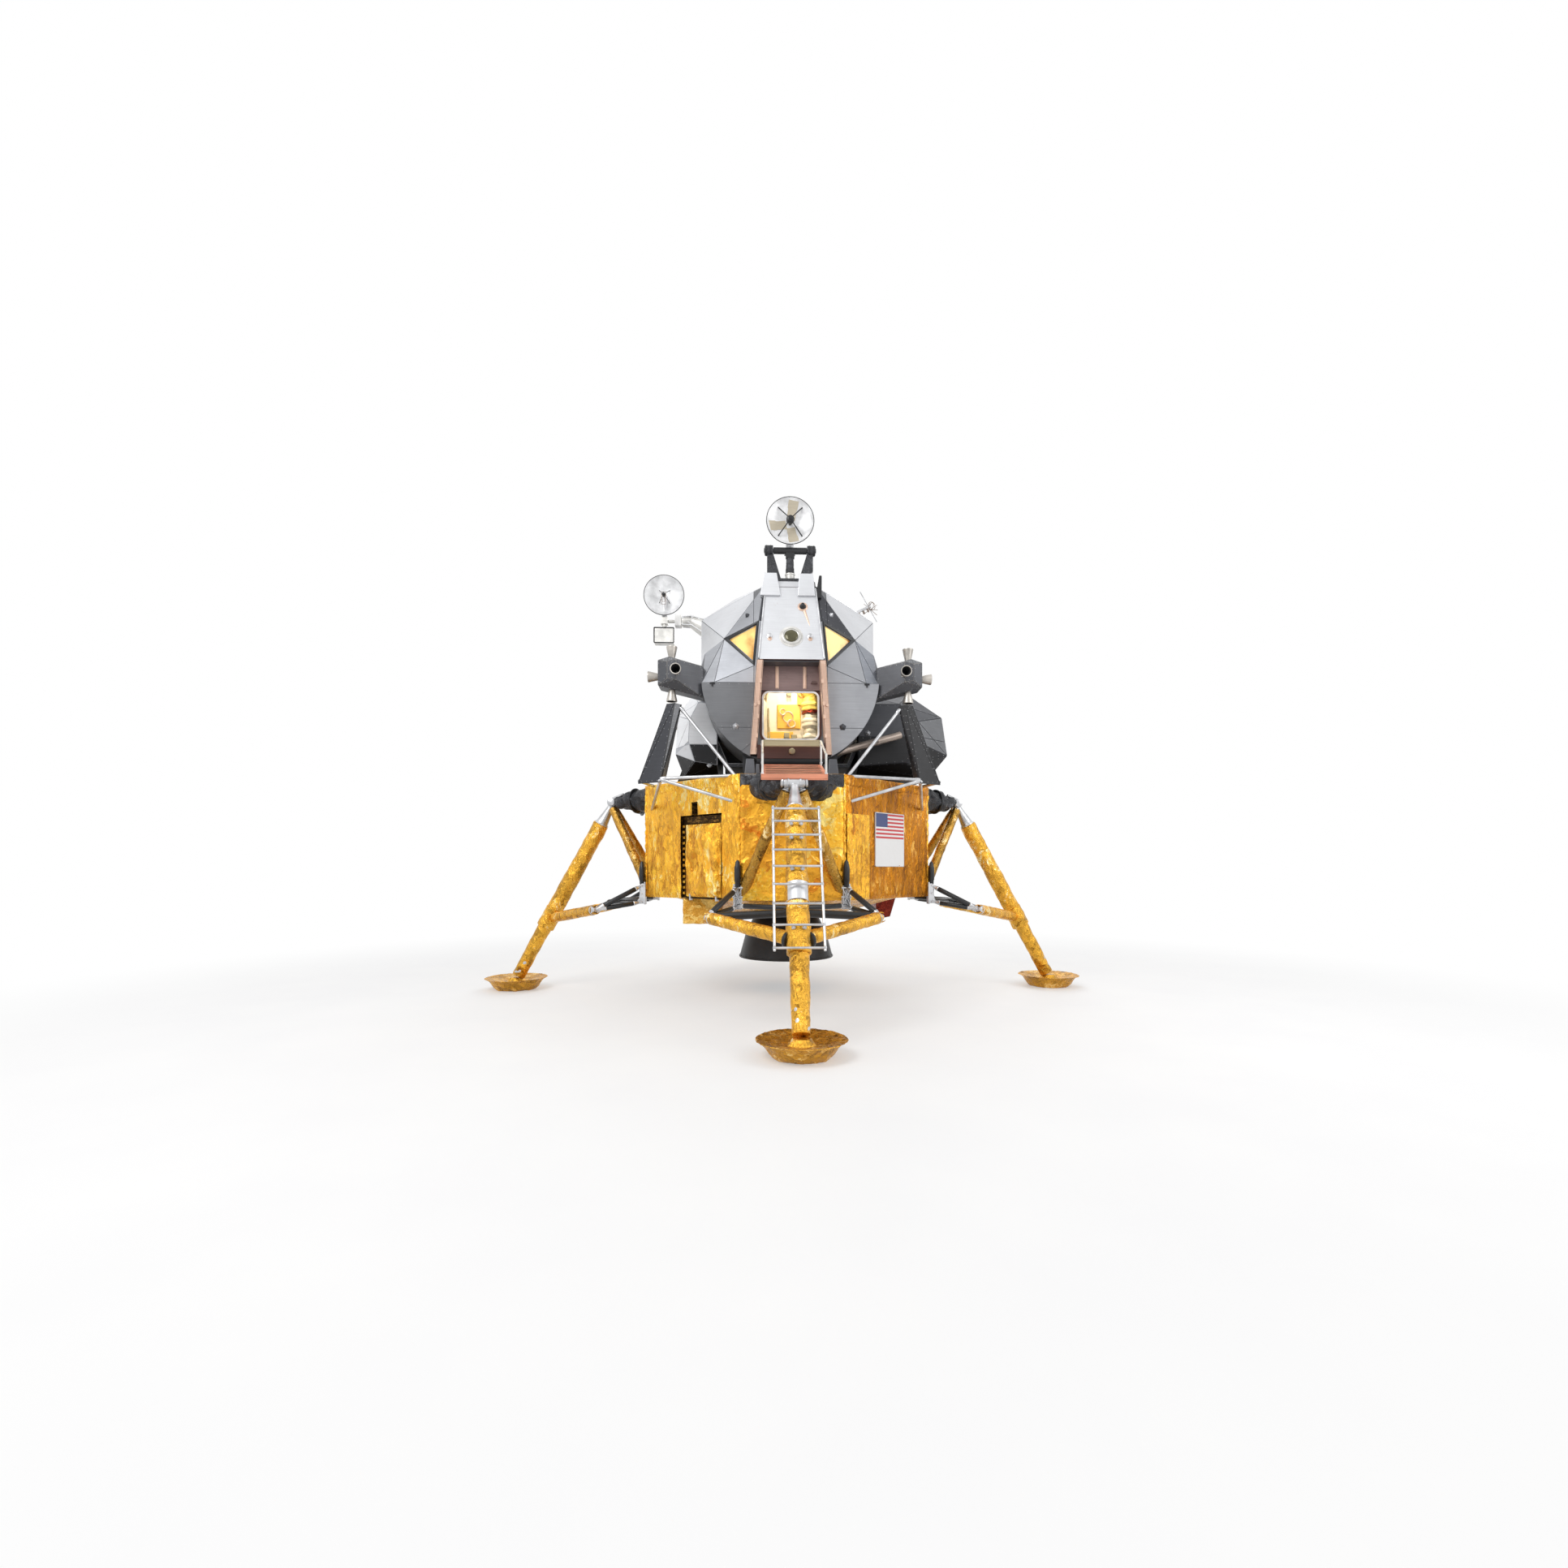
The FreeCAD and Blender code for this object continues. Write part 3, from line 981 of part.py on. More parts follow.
def aft_bay(middle):
    """The equipment bay behind the middle section."""
    corners = both_sides([
        ("aft_half", "middle_back", "cabin_up - 990"), ("aft_half", "middle_back", "cabin_up + 840"),
        ("aft_half * 0.7", "middle_back", "shoulder_up"), ("aft_half", "aft_back - 300", "cabin_up - 930"),
        ("aft_half", "aft_back - 300", "cabin_up + 740"),
        ("aft_half * 0.7", "aft_back - 300", "cabin_up + 970"),
        ("aft_half * 0.72", "aft_back", "cabin_up - 730"),
        ("aft_half * 0.72", "aft_back", "cabin_up + 570")])
    node("aft_equipment_bay", trimmed("aft_equipment_bay", faceted("aft_block", corners), [middle]))


def ascent_engine(middle):
    """The engine's block inside the middle section, its nozzle below, and the posts between the stages."""
    block = upright("ascent_chamber", ("0", "0", "belly_up + cabin_wall"), "ascent_engine_height",
                    "ascent_engine_width")
    outside = (("200", "belly_up"), ("ascent_bell_width * 0.4", "ascent_bell_up + 90"),
               ("ascent_bell_width / 2", "ascent_bell_up"))
    inside = [(f"{radius} - 12", height) for radius, height in reversed(outside)]
    node("ascent_engine", grouped("ascent_engine", [block, turned("ascent_nozzle", [*outside, *inside])]))
    posts = []
    for y, height in ((-1, "cabin_up - stage_top - 906"), (1, "cabin_up - stage_top - 726")):
        for x in (-1, 1):
            base = (f"{x} * post_half - post_width / 2", f"{y} * post_reach - post_width / 2", "stage_top")
            posts.append(box("post", ("post_width", "post_width", height), base))
    tools = [cabin_outside, middle, finished("aft_equipment_bay")]
    node("stage_posts", grouped("stage_posts", [trimmed("trimmed_post", post, tools) for post in posts]))


# ---------------------------------------------------------------- thrusters

def nozzle(name, start, direction):
    """A small hollow nozzle whose throat is at start."""
    ends = [tuple(f"({a}) + {step} * ({part}) * nozzle_length" for a, step in zip(start, direction))
            for part in ("-0.3", "1", "1.02")]
    outer = rod(name, ends[0], ends[1], "nozzle_width * 0.42", "nozzle_width")
    inner = rod(name + "_hollow", start, ends[2], "nozzle_width * 0.3", "nozzle_width * 0.9")
    return trimmed(name + "_shell", outer, [inner])


def quarter(point, x_sign, y_sign):
    """A point of the right front corner carried to another corner of the lander."""
    return (f"{x_sign} * ({point[0]})", f"{y_sign} * ({point[1]})", point[2])


# corners of a cluster's housing at the right front, from the middle of the cluster
QUAD_HOUSING = (
    (60, -190, -90), (190, -110, -160), (190, -110, 170), (60, -190, 130), (190, 190, -160),
    (190, 190, 170), (-60, -190, -110), (-60, -190, 160), (40, -120, 215), (40, 190, 215),
    (-400, 30, -290), (-400, 30, 130), (-400, 260, -290), (-400, 260, 130))
# throats of the four nozzles and the way each one points
QUAD_JETS = (
    ("up", (20, 0, 215), (0, 0, 1)), ("down", (20, 0, -190), (0, 0, -1)),
    ("forward", (-70, -185, -5), (0, -1, 0)), ("outward", (175, 20, -20), (1, 0, 0)))


def from_quad(point):
    """A point given from the middle of the right front cluster."""
    return tuple(f"{hub} + {part}" for hub, part in zip(("quad_half", "-quad_reach", "quad_up"), point))


def thrusters():
    """Four clusters of four nozzles on faceted housings beside the cabin and the aft bay."""
    for end, y_sign in (("front", 1), ("back", -1)):
        for side, x_sign in (("left", -1), ("right", 1)):
            corners = [quarter(from_quad(point), x_sign, y_sign) for point in QUAD_HOUSING]
            if end == "back":
                corners += [quarter(("aft_half - 150", "-aft_back + 340", f"quad_up + {rise}"),
                                    x_sign, y_sign) for rise in (-200, 60)]
            pieces = [faceted("quad_housing", corners)]
            for name, start, direction in QUAD_JETS:
                aim = (x_sign * direction[0], y_sign * direction[1], direction[2])
                pieces.append(nozzle(f"{name}_jet", quarter(from_quad(start), x_sign, y_sign), aim))
            label = f"{end}_{side}_thrusters"
            tools = [cabin_outside, finished("aft_equipment_bay")]
            node(label, trimmed(label, fused(label + "_pieces", pieces), tools))


# head and foot corners of a deflector's two leaves at the right front
DEFLECTOR_HEAD = (("quad_half - 110", "-quad_reach - 60", "deflector_up - 10"),
                  ("quad_half - 30", "-quad_reach - 110", "deflector_up"),
                  ("quad_half + 80", "-quad_reach - 10", "deflector_up + 10"))
DEFLECTOR_FOOT = (("quad_half + 110", "-quad_reach - 40", "stage_top - 34"),
                  ("quad_half + 150", "-quad_reach - 210", "stage_top - 84"),
                  ("quad_half + 480", "-quad_reach + 60", "stage_top - 74"))
# fold the strut starts from, share of the way down it, share of its run left out, end in the stage
DEFLECTOR_STRUTS = (
    (0, "0.04", "0", ("face_width / 2 + 60", "-skin + 120", "stage_top - 12")),
    (1, "0.96", "0.012", ("face_width / 2 + 110", "-skin + 120", "stage_top - 12")),
    (1, "0.97", "0.03", ("face_width / 2 + 20", "-skin + 80", "stage_top - 370")),
    (1, "0.98", "0.06", ("skin - 80", "-face_width / 2 - 20", "stage_top - 380")),
    (2, "0.97", "0", ("skin - 130", "-face_width / 2 - 60", "stage_top - 12")))


def deflectors():
    """A folded plate below each cluster that turns its exhaust away, on struts from the descent stage."""
    # leaves are as thick as the plate, drawn towards the lander
    inward = ("-deflector_thick", "deflector_thick", "0")
    for end, y_sign in (("front", 1), ("back", -1)):
        solids = []
        for x_sign in (-1, 1):
            leaves = []
            for near, far in ((0, 1), (1, 2)):
                rim = [DEFLECTOR_HEAD[near], DEFLECTOR_HEAD[far], DEFLECTOR_FOOT[far], DEFLECTOR_FOOT[near]]
                rim += [tuple(f"{a} + {b}" for a, b in zip(point, inward)) for point in rim]
                leaves.append(faceted("deflector_leaf", [quarter(point, x_sign, y_sign) for point in rim]))
            plate = fused("deflector_plate", leaves)
            solids.append(plate)
            bars = []
            for corner, part, left, stop in DEFLECTOR_STRUTS:
                start = share(share(DEFLECTOR_HEAD[corner], DEFLECTOR_FOOT[corner], part), stop, left)
                bar = rod("deflector_strut", quarter(start, x_sign, y_sign), quarter(stop, x_sign, y_sign),
                          "strut_width")
                solids.append(trimmed("deflector_stay", bar, [plate, stage_block, *bars]))
                bars.append(bar)
        node(f"{end}_deflectors", grouped(f"{end}_deflectors", solids))


# ---------------------------------------------------------------- antennas

def dish(name, width, depth, middle, hub):
    """A round dish that faces -Y, with a hub behind it."""
    outline = []
    steps = 5
    for index in range(steps + 1):
        part = index / steps
        outline.append((f"({width}) / 2 * {part}", f"({depth}) * {part * part}"))
    rim = [(radius, f"{height} - dish_wall * 1.0") for radius, height in reversed(outline)]
    rim[0] = (outline[-1][0], f"({outline[-1][1]}) - dish_wall")
    shell = turned(name + "_shell", [*outline, *rim])
    place(shell, (middle[0], f"{middle[1]} + ({depth}) / 2", middle[2]), "1; 0; 0", "90")
    back = rod(name + "_hub", (middle[0], f"{middle[1]} + ({depth}) / 2", middle[2]),
               (middle[0], f"{middle[1]} + ({depth}) / 2 + {hub}", middle[2]), f"({width}) * 0.24")
    return [shell, back]


def radar():
    """The tracking radar: a fixed stand, a bar that tilts in its bearings and a dish that swings on it."""
    y, foot_top = "-radar_reach", "(brow_cap_up + radar_foot_thick)"
    caps, legs = [], []
    for side in (-1, 1):
        cap_in, cap_out = f"{side} * (radar_bar_half - 14)", f"{side} * radar_cap_half"
        cap = rod("bearing_cap", (cap_in, y, "radar_up"), (cap_out, y, "radar_up"), "radar_cap_width")
        socket = rod("bearing_socket", (f"{side} * (radar_bar_half - 20)", y, "radar_up"),
                     (f"{side} * (radar_bar_half + 50)", y, "radar_up"), "radar_journal_width + 2 * pin_gap")
        caps.append(trimmed("bearing_shell", cap, [socket]))
        corners = [(f"{side} * 318", f"{y} - 30", "radar_up - 30"),
                   (f"{side} * 240", f"{y} - 30", "radar_up - 30"),
                   (f"{side} * 318", f"{y} - 30", "brow_cap_up + 170"),
                   (f"{side} * 120", f"{y} - 30", foot_top),
                   (f"{side} * 165", f"{y} - 30", foot_top)]
        corners += [(x, f"{y} + 30", z) for x, _, z in corners]
        legs.append(trimmed("stand_leg", faceted("stand_leg_block", corners), [cap, caps[-1]]))
    post = upright("stand_post", ("0", y, foot_top), f"radar_up - radar_post_gap - {foot_top}", "120", "96")
    foot = box("stand_foot", ("400", "200", "radar_foot_thick"), ("-200", f"{y} - 100", "brow_cap_up"))
    node("radar_stand", fused("radar_stand", [post, foot, *legs, *caps]))

    bar = rod("tilt_bar", ("-radar_bar_half + 20", y, "radar_up"), ("radar_bar_half - 20", y, "radar_up"),
              "radar_bar_width")
    journal = rod("tilt_journal", ("-radar_bar_half - 46", y, "radar_up"),
                  ("radar_bar_half + 46", y, "radar_up"), "radar_journal_width")
    swivel = upright("swivel_pin", ("0", f"{y} + 70", "radar_up"), "170", "60")
    saddle = box("saddle", ("150", "120", "50"), ("-75", f"{y} - 15", "radar_up - 25"))
    weight = box("counterweight", ("radar_weight_width", "radar_weight_thick", "radar_weight_drop"),
                 ("-radar_weight_width / 2", f"{y} - radar_weight_thick / 2", "radar_up - radar_weight_drop"))
    node("radar_tilt_bar", fused("radar_tilt_bar", [bar, journal, saddle, weight, swivel]))

    middle = ("0", f"{y} - 40", "radar_dish_up")
    shell = dish("radar_dish", "radar_dish_width", "radar_dish_depth", middle, "60")
    sleeve_up = "radar_up + radar_bar_width / 2 + moving_gap"
    sleeve = upright("swivel_sleeve", ("0", f"{y} + 70", sleeve_up), "330", "110")
    bore = upright("swivel_bore", ("0", f"{y} + 70", f"{sleeve_up} - 1"), "190", "60 + 2 * pin_gap")
    body = fused("radar_dish_pieces", [*shell, sleeve])
    node("radar_dish", trimmed("radar_dish", body, [bore]))


def steerable_antenna(middle):
    """The antenna on the left boom: a yoke that tilts about a cross pin and a dish that swivels on it."""
    x, y, z = "-comm_half", "-comm_reach", "comm_up"
    outer = f"{x} + 270"
    elbow = (f"{x} + 420", y, z)
    boom = rod("boom", (outer, y, z), elbow, "150")
    root = rod("boom_root", elbow, ("-middle_half + 60", y, f"{z} - 110"), "180", "300")
    socket = rod("boom_bore", (f"{outer} - 1", y, z), (f"{outer} + 90", y, z), "50 + 2 * pin_gap")
    boom_tools = [socket, middle, cabin_outside]
    node("antenna_boom", trimmed("antenna_boom", fused("boom_pieces", [boom, root]), boom_tools))

    journal = rod("yoke_journal", (x, y, z), (f"{outer} + 84", y, z), "50")
    gearbox = box("gearbox", ("90", "140", "160"), (f"{outer} - moving_gap - 90", f"{y} - 70", f"{z} - 80"))
    swivel = upright("yoke_swivel", (x, y, z), "200", "50")
    block = box("yoke_block", ("110", "100", "100"), (f"{x} - 55", f"{y} - 50", f"{z} - 50"))
    stem = upright("case_stem", (x, y, f"{z} - 140"), "100", "70")
    case = box("electronics_case", ("300", "150", "230"), (f"{x} - 150", f"{y} - 75", f"{z} - 350"))
    node("antenna_yoke", fused("antenna_yoke", [journal, gearbox, swivel, block, stem, case]))

    shell = dish("comm_dish", "comm_dish_width", "comm_dish_depth", (x, f"{y} - 30", "comm_dish_up"), "50")
    post = upright("dish_post", (x, y, f"{z} + 50 + moving_gap"), "340", "84")
    bore = upright("swivel_hole", (x, y, f"{z} + 50"), "158", "50 + 2 * pin_gap")
    node("antenna_dish", trimmed("antenna_dish", fused("antenna_dish_pieces", [*shell, post]), [bore]))


def whip_antennas():
    """Two fixed antennas on the roof's shoulders, each a short boom with crossed rods."""
    pieces = []
    for side, y in ((1, "-420"), (-1, "480")):
        def spot(half, rise, shift=0, side=side, y=y):
            return (f"{side} * {half}", f"{y} + {shift}", f"shoulder_up + {rise}")
        whip = fused("whip_pieces", [
            rod("whip_boom", spot(960, 180), spot(1290, 340), "44"),
            rod("whip_long", spot(1130, 560), spot(1390, 100), "14"),
            rod("whip_cross", spot(1260, 330, -150), spot(1260, 330, 150), "14")])
        pieces.append(trimmed("whip", whip, [middle_block]))
    node("whip_antennas", grouped("whip_antennas", pieces))


def sign_plate():
    """The thin sign plate on the right front face."""
    plate = box("sign", ("sign_width", "sign_thick", "sign_height"),
                ("-sign_width / 2 - 15", "-corner_reach - sign_thick", "stage_floor + sign_rise"))
    node("sign_plate", grouped("sign_plate", [plate], "45"))


stage_block = descent_stage()
equipment_pallet()
descent_engine()
landing_gear()
ladder()
cabin_outside = cabin()
porch()
face_panel(cabin_outside)
front_hinge = front_hatch()
middle_block, overhead_hinge = middle_section()
node("hatch_hinges", grouped("hatch_hinges", [front_hinge, overhead_hinge]))
tank_fairings(middle_block)
aft_bay(middle_block)
ascent_engine(middle_block)
thrusters()
deflectors()
radar()
steerable_antenna(middle_block)
whip_antennas()
sign_plate()
doc.recompute()

failed = [item.Name for item in doc.Objects if {"Invalid", "Error"} & set(item.State)]
failed += [item.Label for item in nodes
           if item.Shape.isNull() or not item.Shape.isValid() or not item.Shape.Solids]
if failed:
    raise RuntimeError(f"these objects failed: {failed}")

os.makedirs("parts", exist_ok=True)
for item in nodes:
    item.Shape.exportStep(f"parts/{item.Label}.step")
    print(f"{item.Label:26s} {len(item.Shape.Solids):2d} solids {item.Shape.Volume / 1e9:9.5f} m3")
print(len(nodes), "nodes")
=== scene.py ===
"""Looks of a two-stage lunar lander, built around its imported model. Metres, +Z up, hatch facing -Y."""

import json
import logging
import math
from dataclasses import dataclass, field
from enum import Enum
from typing import Callable, Iterable

import bmesh
import bpy
from mathutils import Matrix, Vector

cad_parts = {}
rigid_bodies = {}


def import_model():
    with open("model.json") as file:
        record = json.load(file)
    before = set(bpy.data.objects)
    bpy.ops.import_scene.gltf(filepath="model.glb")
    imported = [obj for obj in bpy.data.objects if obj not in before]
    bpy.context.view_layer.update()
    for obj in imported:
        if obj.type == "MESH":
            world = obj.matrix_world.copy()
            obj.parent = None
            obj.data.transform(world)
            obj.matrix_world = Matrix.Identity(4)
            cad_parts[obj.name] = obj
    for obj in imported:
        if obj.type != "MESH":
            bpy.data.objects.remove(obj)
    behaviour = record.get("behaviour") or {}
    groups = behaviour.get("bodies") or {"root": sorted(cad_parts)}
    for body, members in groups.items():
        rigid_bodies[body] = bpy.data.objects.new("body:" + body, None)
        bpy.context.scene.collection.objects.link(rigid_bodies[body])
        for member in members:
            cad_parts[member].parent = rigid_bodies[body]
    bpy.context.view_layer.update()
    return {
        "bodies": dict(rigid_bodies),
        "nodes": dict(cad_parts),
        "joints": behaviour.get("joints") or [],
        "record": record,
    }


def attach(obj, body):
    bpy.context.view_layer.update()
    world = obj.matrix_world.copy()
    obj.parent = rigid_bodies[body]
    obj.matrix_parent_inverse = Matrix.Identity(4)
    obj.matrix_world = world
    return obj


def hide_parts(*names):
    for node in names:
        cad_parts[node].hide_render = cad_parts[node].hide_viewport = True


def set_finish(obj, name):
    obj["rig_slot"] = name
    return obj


LOG = logging.getLogger("lander")
Piece = bpy.types.Object
Socket = bpy.types.NodeSocket
Point = tuple[float, float, float]
Colour = tuple[float, float, float]
ROOT = "lander"
SIDES = {"front": 0.0, "right": 90.0, "back": 180.0, "left": 270.0}
HANDS = ((-1, "left"), (1, "right"))
CORNERS = (("front_right", False, 0), ("front_left", True, 0), ("back_right", True, 180),
    ("back_left", False, 180))
UPRIGHT = (math.radians(90.0), 0, 0)

# Distances under which vertices are merged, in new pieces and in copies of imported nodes.
WELD, NODE_WELD = 0.00005, 0.0002

# Heights at which the finishes, with the painted light and shade that they carry, change on the cabin, the
# face panel and the tank fairings.
CHEEK_FOOT, SILL, BROW, FACE_FOOT = 4.405, 4.85, 4.95, 4.651
LEFT_TANK_SEAM, RIGHT_TANK_SEAM = 3.72, 3.85


# ---------------------------------------- finishes

class Graph:
    """The shader nodes of one material or of the world."""

    def __init__(self, name: str, owner: bpy.types.ID | None = None) -> None:
        """Starts a material that holds one Principled shader, or the nodes of the owner given.

        Args:
            name: what the material is called.
            owner: the world, where the nodes are the world's.
        """
        self.material = owner or bpy.data.materials.new(name)
        self.material.use_nodes = True
        self.tree = self.material.node_tree
        self.shader = self.tree.nodes.get("Principled BSDF")

    def add(self, kind: str, inputs: dict | None = None, **settings: object) -> bpy.types.Node:
        """Adds a node.

        Args:
            kind: node type without its "ShaderNode" prefix.
            inputs: socket name or number to a value or another node's output.
            settings: properties of the node.

        Returns:
            The node.
        """
        node = self.tree.nodes.new("ShaderNode" + kind)
        for key, setting in settings.items():
            setattr(node, key, setting)
        for key, source in (inputs or {}).items():
            self.feed(node.inputs[key], source)
        return node

    def feed(self, socket: Socket, source: object) -> None:
        """Gives a socket a value, or links it to an output.

        Args:
            socket: the input.
            source: a value or an output.
        """
        if isinstance(source, Socket):
            self.tree.links.new(source, socket)
        else:
            socket.default_value = source

    def place(self, scale: Point = (1, 1, 1)) -> Socket:
        """Object coordinates, scaled, as a vector socket."""
        spot = self.add("TexCoord").outputs["Object"]
        return self.add("Mapping", {"Vector": spot, "Scale": scale}).outputs[0]

    def maths(self, operation: str, *values: object) -> Socket:
        """The result of a Math node on up to three values or sockets."""
        return self.add("Math", dict(enumerate(values)), operation=operation).outputs[0]

    def noise(self, vector: object, scale: float, detail: float = 3.0, rough: float = 0.55,
            output: str = "Fac") -> Socket:
        """The value, or the colour, of a noise on a vector socket."""
        inputs = {"Vector": vector, "Scale": scale, "Detail": detail, "Roughness": rough}
        return self.add("TexNoise", inputs).outputs[output]

    def ramp(self, factor: object, stops: Iterable[tuple[float, Colour]]) -> Socket:
        """A colour ramp through the given stops.

        Args:
            factor: place on the ramp.
            stops: (position, colour) of each stop.

        Returns:
            The colour's socket.
        """
        node = self.add("ValToRGB", {"Fac": factor})
        stops = list(stops)
        elements = node.color_ramp.elements
        while len(elements) < len(stops):
            elements.new(1.0)
        for element, (position, colour) in zip(elements, stops):
            element.position = position
            element.color = (*colour, 1)
        return node.outputs["Color"]

    def bump(self, height: object, strength: float, reach: float) -> None:
        """Drives the shader's normal with a height."""
        node = self.add("Bump", {"Height": height, "Strength": strength, "Distance": reach})
        self.feed(self.shader.inputs["Normal"], node.outputs[0])

    def seen(self) -> Socket:
        """1 on rays from the camera and on rays that show the background in metal or glass.

        Returns:
            The socket.
        """
        path = self.add("LightPath").outputs
        straight = self.maths("MAXIMUM", path["Is Camera Ray"], path["Is Glossy Ray"])
        return self.maths("MAXIMUM", straight, path["Is Transmission Ray"])

    def shade(self, **values: object) -> bpy.types.Material:
        """Sets the shader's sockets, with "_" standing for a space, and returns the material.

        Args:
            values: socket name to a value or an output.

        Returns:
            The material.
        """
        for key, source in values.items():
            self.feed(self.shader.inputs[key.replace("_", " ")], source)
        return self.material


def tint(colour: Colour, factor: float) -> Colour:
    """A colour made lighter or darker by a factor."""
    return tuple(min(1.0, part * factor) for part in colour)


@dataclass(frozen=True)
class Foil:
    """Crinkled metal foil with painted light: its facets take tones on a ramp from a painted shade to a
    painted highlight, thin painted glints cross them, and bumped creases lie between them.
    """

    name: str
    dark: Colour
    middle: Colour
    bright: Colour
    cell: float = 0.07
    stretch: Point = (1, 1, 1)
    relief: float = 0.6
    roughness: float = 0.3
    metal: float = 0.82
    painted_glints: float = 0.0

    def material(self) -> bpy.types.Material:
        """Builds the foil's nodes.

        Returns:
            The material.
        """
        graph = Graph(self.name)
        spot = graph.place(tuple(part / self.cell for part in self.stretch))
        drift = graph.noise(spot, 0.45, 4.0, 0.6, "Color")
        offset = graph.add("VectorMath", {0: drift, 1: (3.4, 3.4, 3.4)}, operation="MULTIPLY").outputs[0]
        bent = graph.add("VectorMath", {0: spot, 1: offset}, operation="ADD").outputs[0]
        large = graph.add("TexVoronoi", {"Vector": bent, "Scale": 0.55})
        small = graph.add("TexVoronoi", {"Vector": bent, "Scale": 1.9})
        fine = graph.noise(bent, 3.0, 5.0, 0.62)
        # Thin bright lines along the stretch, added to the tone: painted glints.
        glint_noise = graph.noise(graph.place(tuple(part * part * 9.0 for part in self.stretch)), 6.0, 4.0, 0.6)
        glint = graph.add("MapRange", {0: glint_noise, 1: 0.56, 2: 0.7, 3: -0.25, 4: 0.75}).outputs[0]
        facet = graph.add("SeparateXYZ", {0: large.outputs["Color"]}).outputs["X"]
        tuck = graph.add("SeparateXYZ", {0: small.outputs["Color"]}).outputs["Y"]
        wide = graph.noise(graph.place(), 1.3, 2.0)
        tone = graph.maths("MULTIPLY_ADD", facet, 0.34, graph.maths("MULTIPLY", tuck, 0.24))
        tone = graph.maths("MULTIPLY_ADD", fine, 0.18, tone)
        tone = graph.maths("MULTIPLY_ADD", wide, 0.42, tone)
        tone = graph.maths("MULTIPLY_ADD", glint, self.painted_glints, tone)
        # The ramp's dark end paints shade and its bright end paints highlight onto the foil.
        colour = graph.ramp(tone, ((0.24, self.dark), (0.38, tint(self.middle, 0.68)), (0.55, self.middle),
            (0.72, tint(self.middle, 1.18)), (0.84, self.bright)))
        rough = graph.maths("MULTIPLY_ADD", tuck, 0.22, self.roughness - 0.1)
        creases = graph.maths("MULTIPLY_ADD", small.outputs["Distance"], 0.35, large.outputs["Distance"])
        graph.bump(graph.maths("MULTIPLY_ADD", fine, 0.35, creases), self.relief, self.cell * 0.5)
        return graph.shade(Base_Color=colour, Roughness=rough, Metallic=self.metal)


@dataclass(frozen=True)
class Sheet:
    """Painted or anodised sheet metal with handling marks, faint stains and a little oil-canning."""

    name: str
    colour: Colour
    spread: float = 0.16
    roughness: float = 0.42
    metal: float = 0.35
    stain: Colour = (0.1, 0.07, 0.045)
    stained: float = 0.1
    waves: float = 0.22

    def material(self) -> bpy.types.Material:
        """Builds the sheet's nodes.

        Returns:
            The material.
        """
        graph = Graph(self.name)
        spot = graph.place()
        broad = graph.noise(spot, 1.9, 3.0)
        brushed = graph.noise(graph.place((1.5, 1.5, 38)), 2.0, 4.0)
        tone = graph.maths("MULTIPLY_ADD", brushed, 0.35, graph.maths("MULTIPLY", broad, 0.65))
        paint = graph.ramp(tone, ((0.32, tint(self.colour, 1.0 - self.spread)), (0.5, self.colour),
            (0.7, tint(self.colour, 1.0 + self.spread))))
        blots = graph.noise(spot, 7.0, 6.0, 0.72)
        marks = graph.add("MapRange", {0: blots, 1: 0.62, 2: 0.74, 3: 0.0, 4: self.stained}).outputs[0]
        colour = graph.add("MixRGB", {"Fac": marks, "Color1": paint, "Color2": (*self.stain, 1)}).outputs[0]
        rough = graph.maths("MULTIPLY_ADD", blots, 0.25, self.roughness - 0.12)
        graph.bump(graph.maths("MULTIPLY_ADD", brushed, 0.03, broad), self.waves, 0.05)
        return graph.shade(Base_Color=colour, Roughness=rough, Metallic=self.metal)


@dataclass(frozen=True)
class Coat:
    """A satin coat on tubes and castings, mottled and scuffed."""

    name: str
    colour: Colour
    scuff: Colour
    roughness: float = 0.4
    metal: float = 0.1
    grain: float = 30.0
    relief: float = 0.12

    def material(self) -> bpy.types.Material:
        """Builds the coat's nodes.

        Returns:
            The material.
        """
        graph = Graph(self.name)
        spot = graph.place()
        mottle = graph.noise(spot, 6.0, 4.0)
        scratches = graph.noise(graph.place((9, 9, 1.3)), 14.0, 5.0, 0.7)
        worn = graph.add("MapRange", {0: scratches, 1: 0.6, 2: 0.72, 3: 0.0, 4: 0.55}).outputs[0]
        base = graph.ramp(mottle, ((0.35, tint(self.colour, 0.78)), (0.65, tint(self.colour, 1.22))))
        colour = graph.add("MixRGB", {"Fac": worn, "Color1": base, "Color2": (*self.scuff, 1)}).outputs[0]
        rough = graph.maths("MULTIPLY_ADD", mottle, 0.22, self.roughness - 0.1)
        graph.bump(graph.noise(spot, self.grain, 3.0), self.relief, 0.004)
        return graph.shade(Base_Color=colour, Roughness=rough, Metallic=self.metal)


@dataclass(frozen=True)
class LitPane:
    """A coated window pane with painted light: the warm lit cabin painted on it in light and shadow colours,
    glowing though it is no lamp.
    """

    name: str
    shadow: Colour = (0.42, 0.16, 0.02)
    light: Colour = (1, 0.7, 0.22)
    glow: float = 0.55
    scale: float = 3.6

    def material(self) -> bpy.types.Material:
        """Builds the pane's nodes.

        Returns:
            The material.
        """
        graph = Graph(self.name)
        spot = graph.place()
        shapes = graph.add("TexVoronoi", {"Vector": spot, "Scale": self.scale,
            "Randomness": 0.9}).outputs["Distance"]
        folds = graph.noise(spot, 5.0, 4.0)
        tone = graph.maths("MULTIPLY_ADD", folds, 0.5, graph.maths("MULTIPLY", shapes, 0.55))
        colour = graph.ramp(tone, ((0.24, self.light), (0.5, tint(self.light, 0.82)), (0.72, self.shadow)))
        # The pane glows in its painted colours though it is no lamp.
        return graph.shade(Base_Color=colour, Roughness=0.08, Emission_Color=colour,
            Emission_Strength=self.glow, Coat_Weight=0.6, Coat_Roughness=0.04)


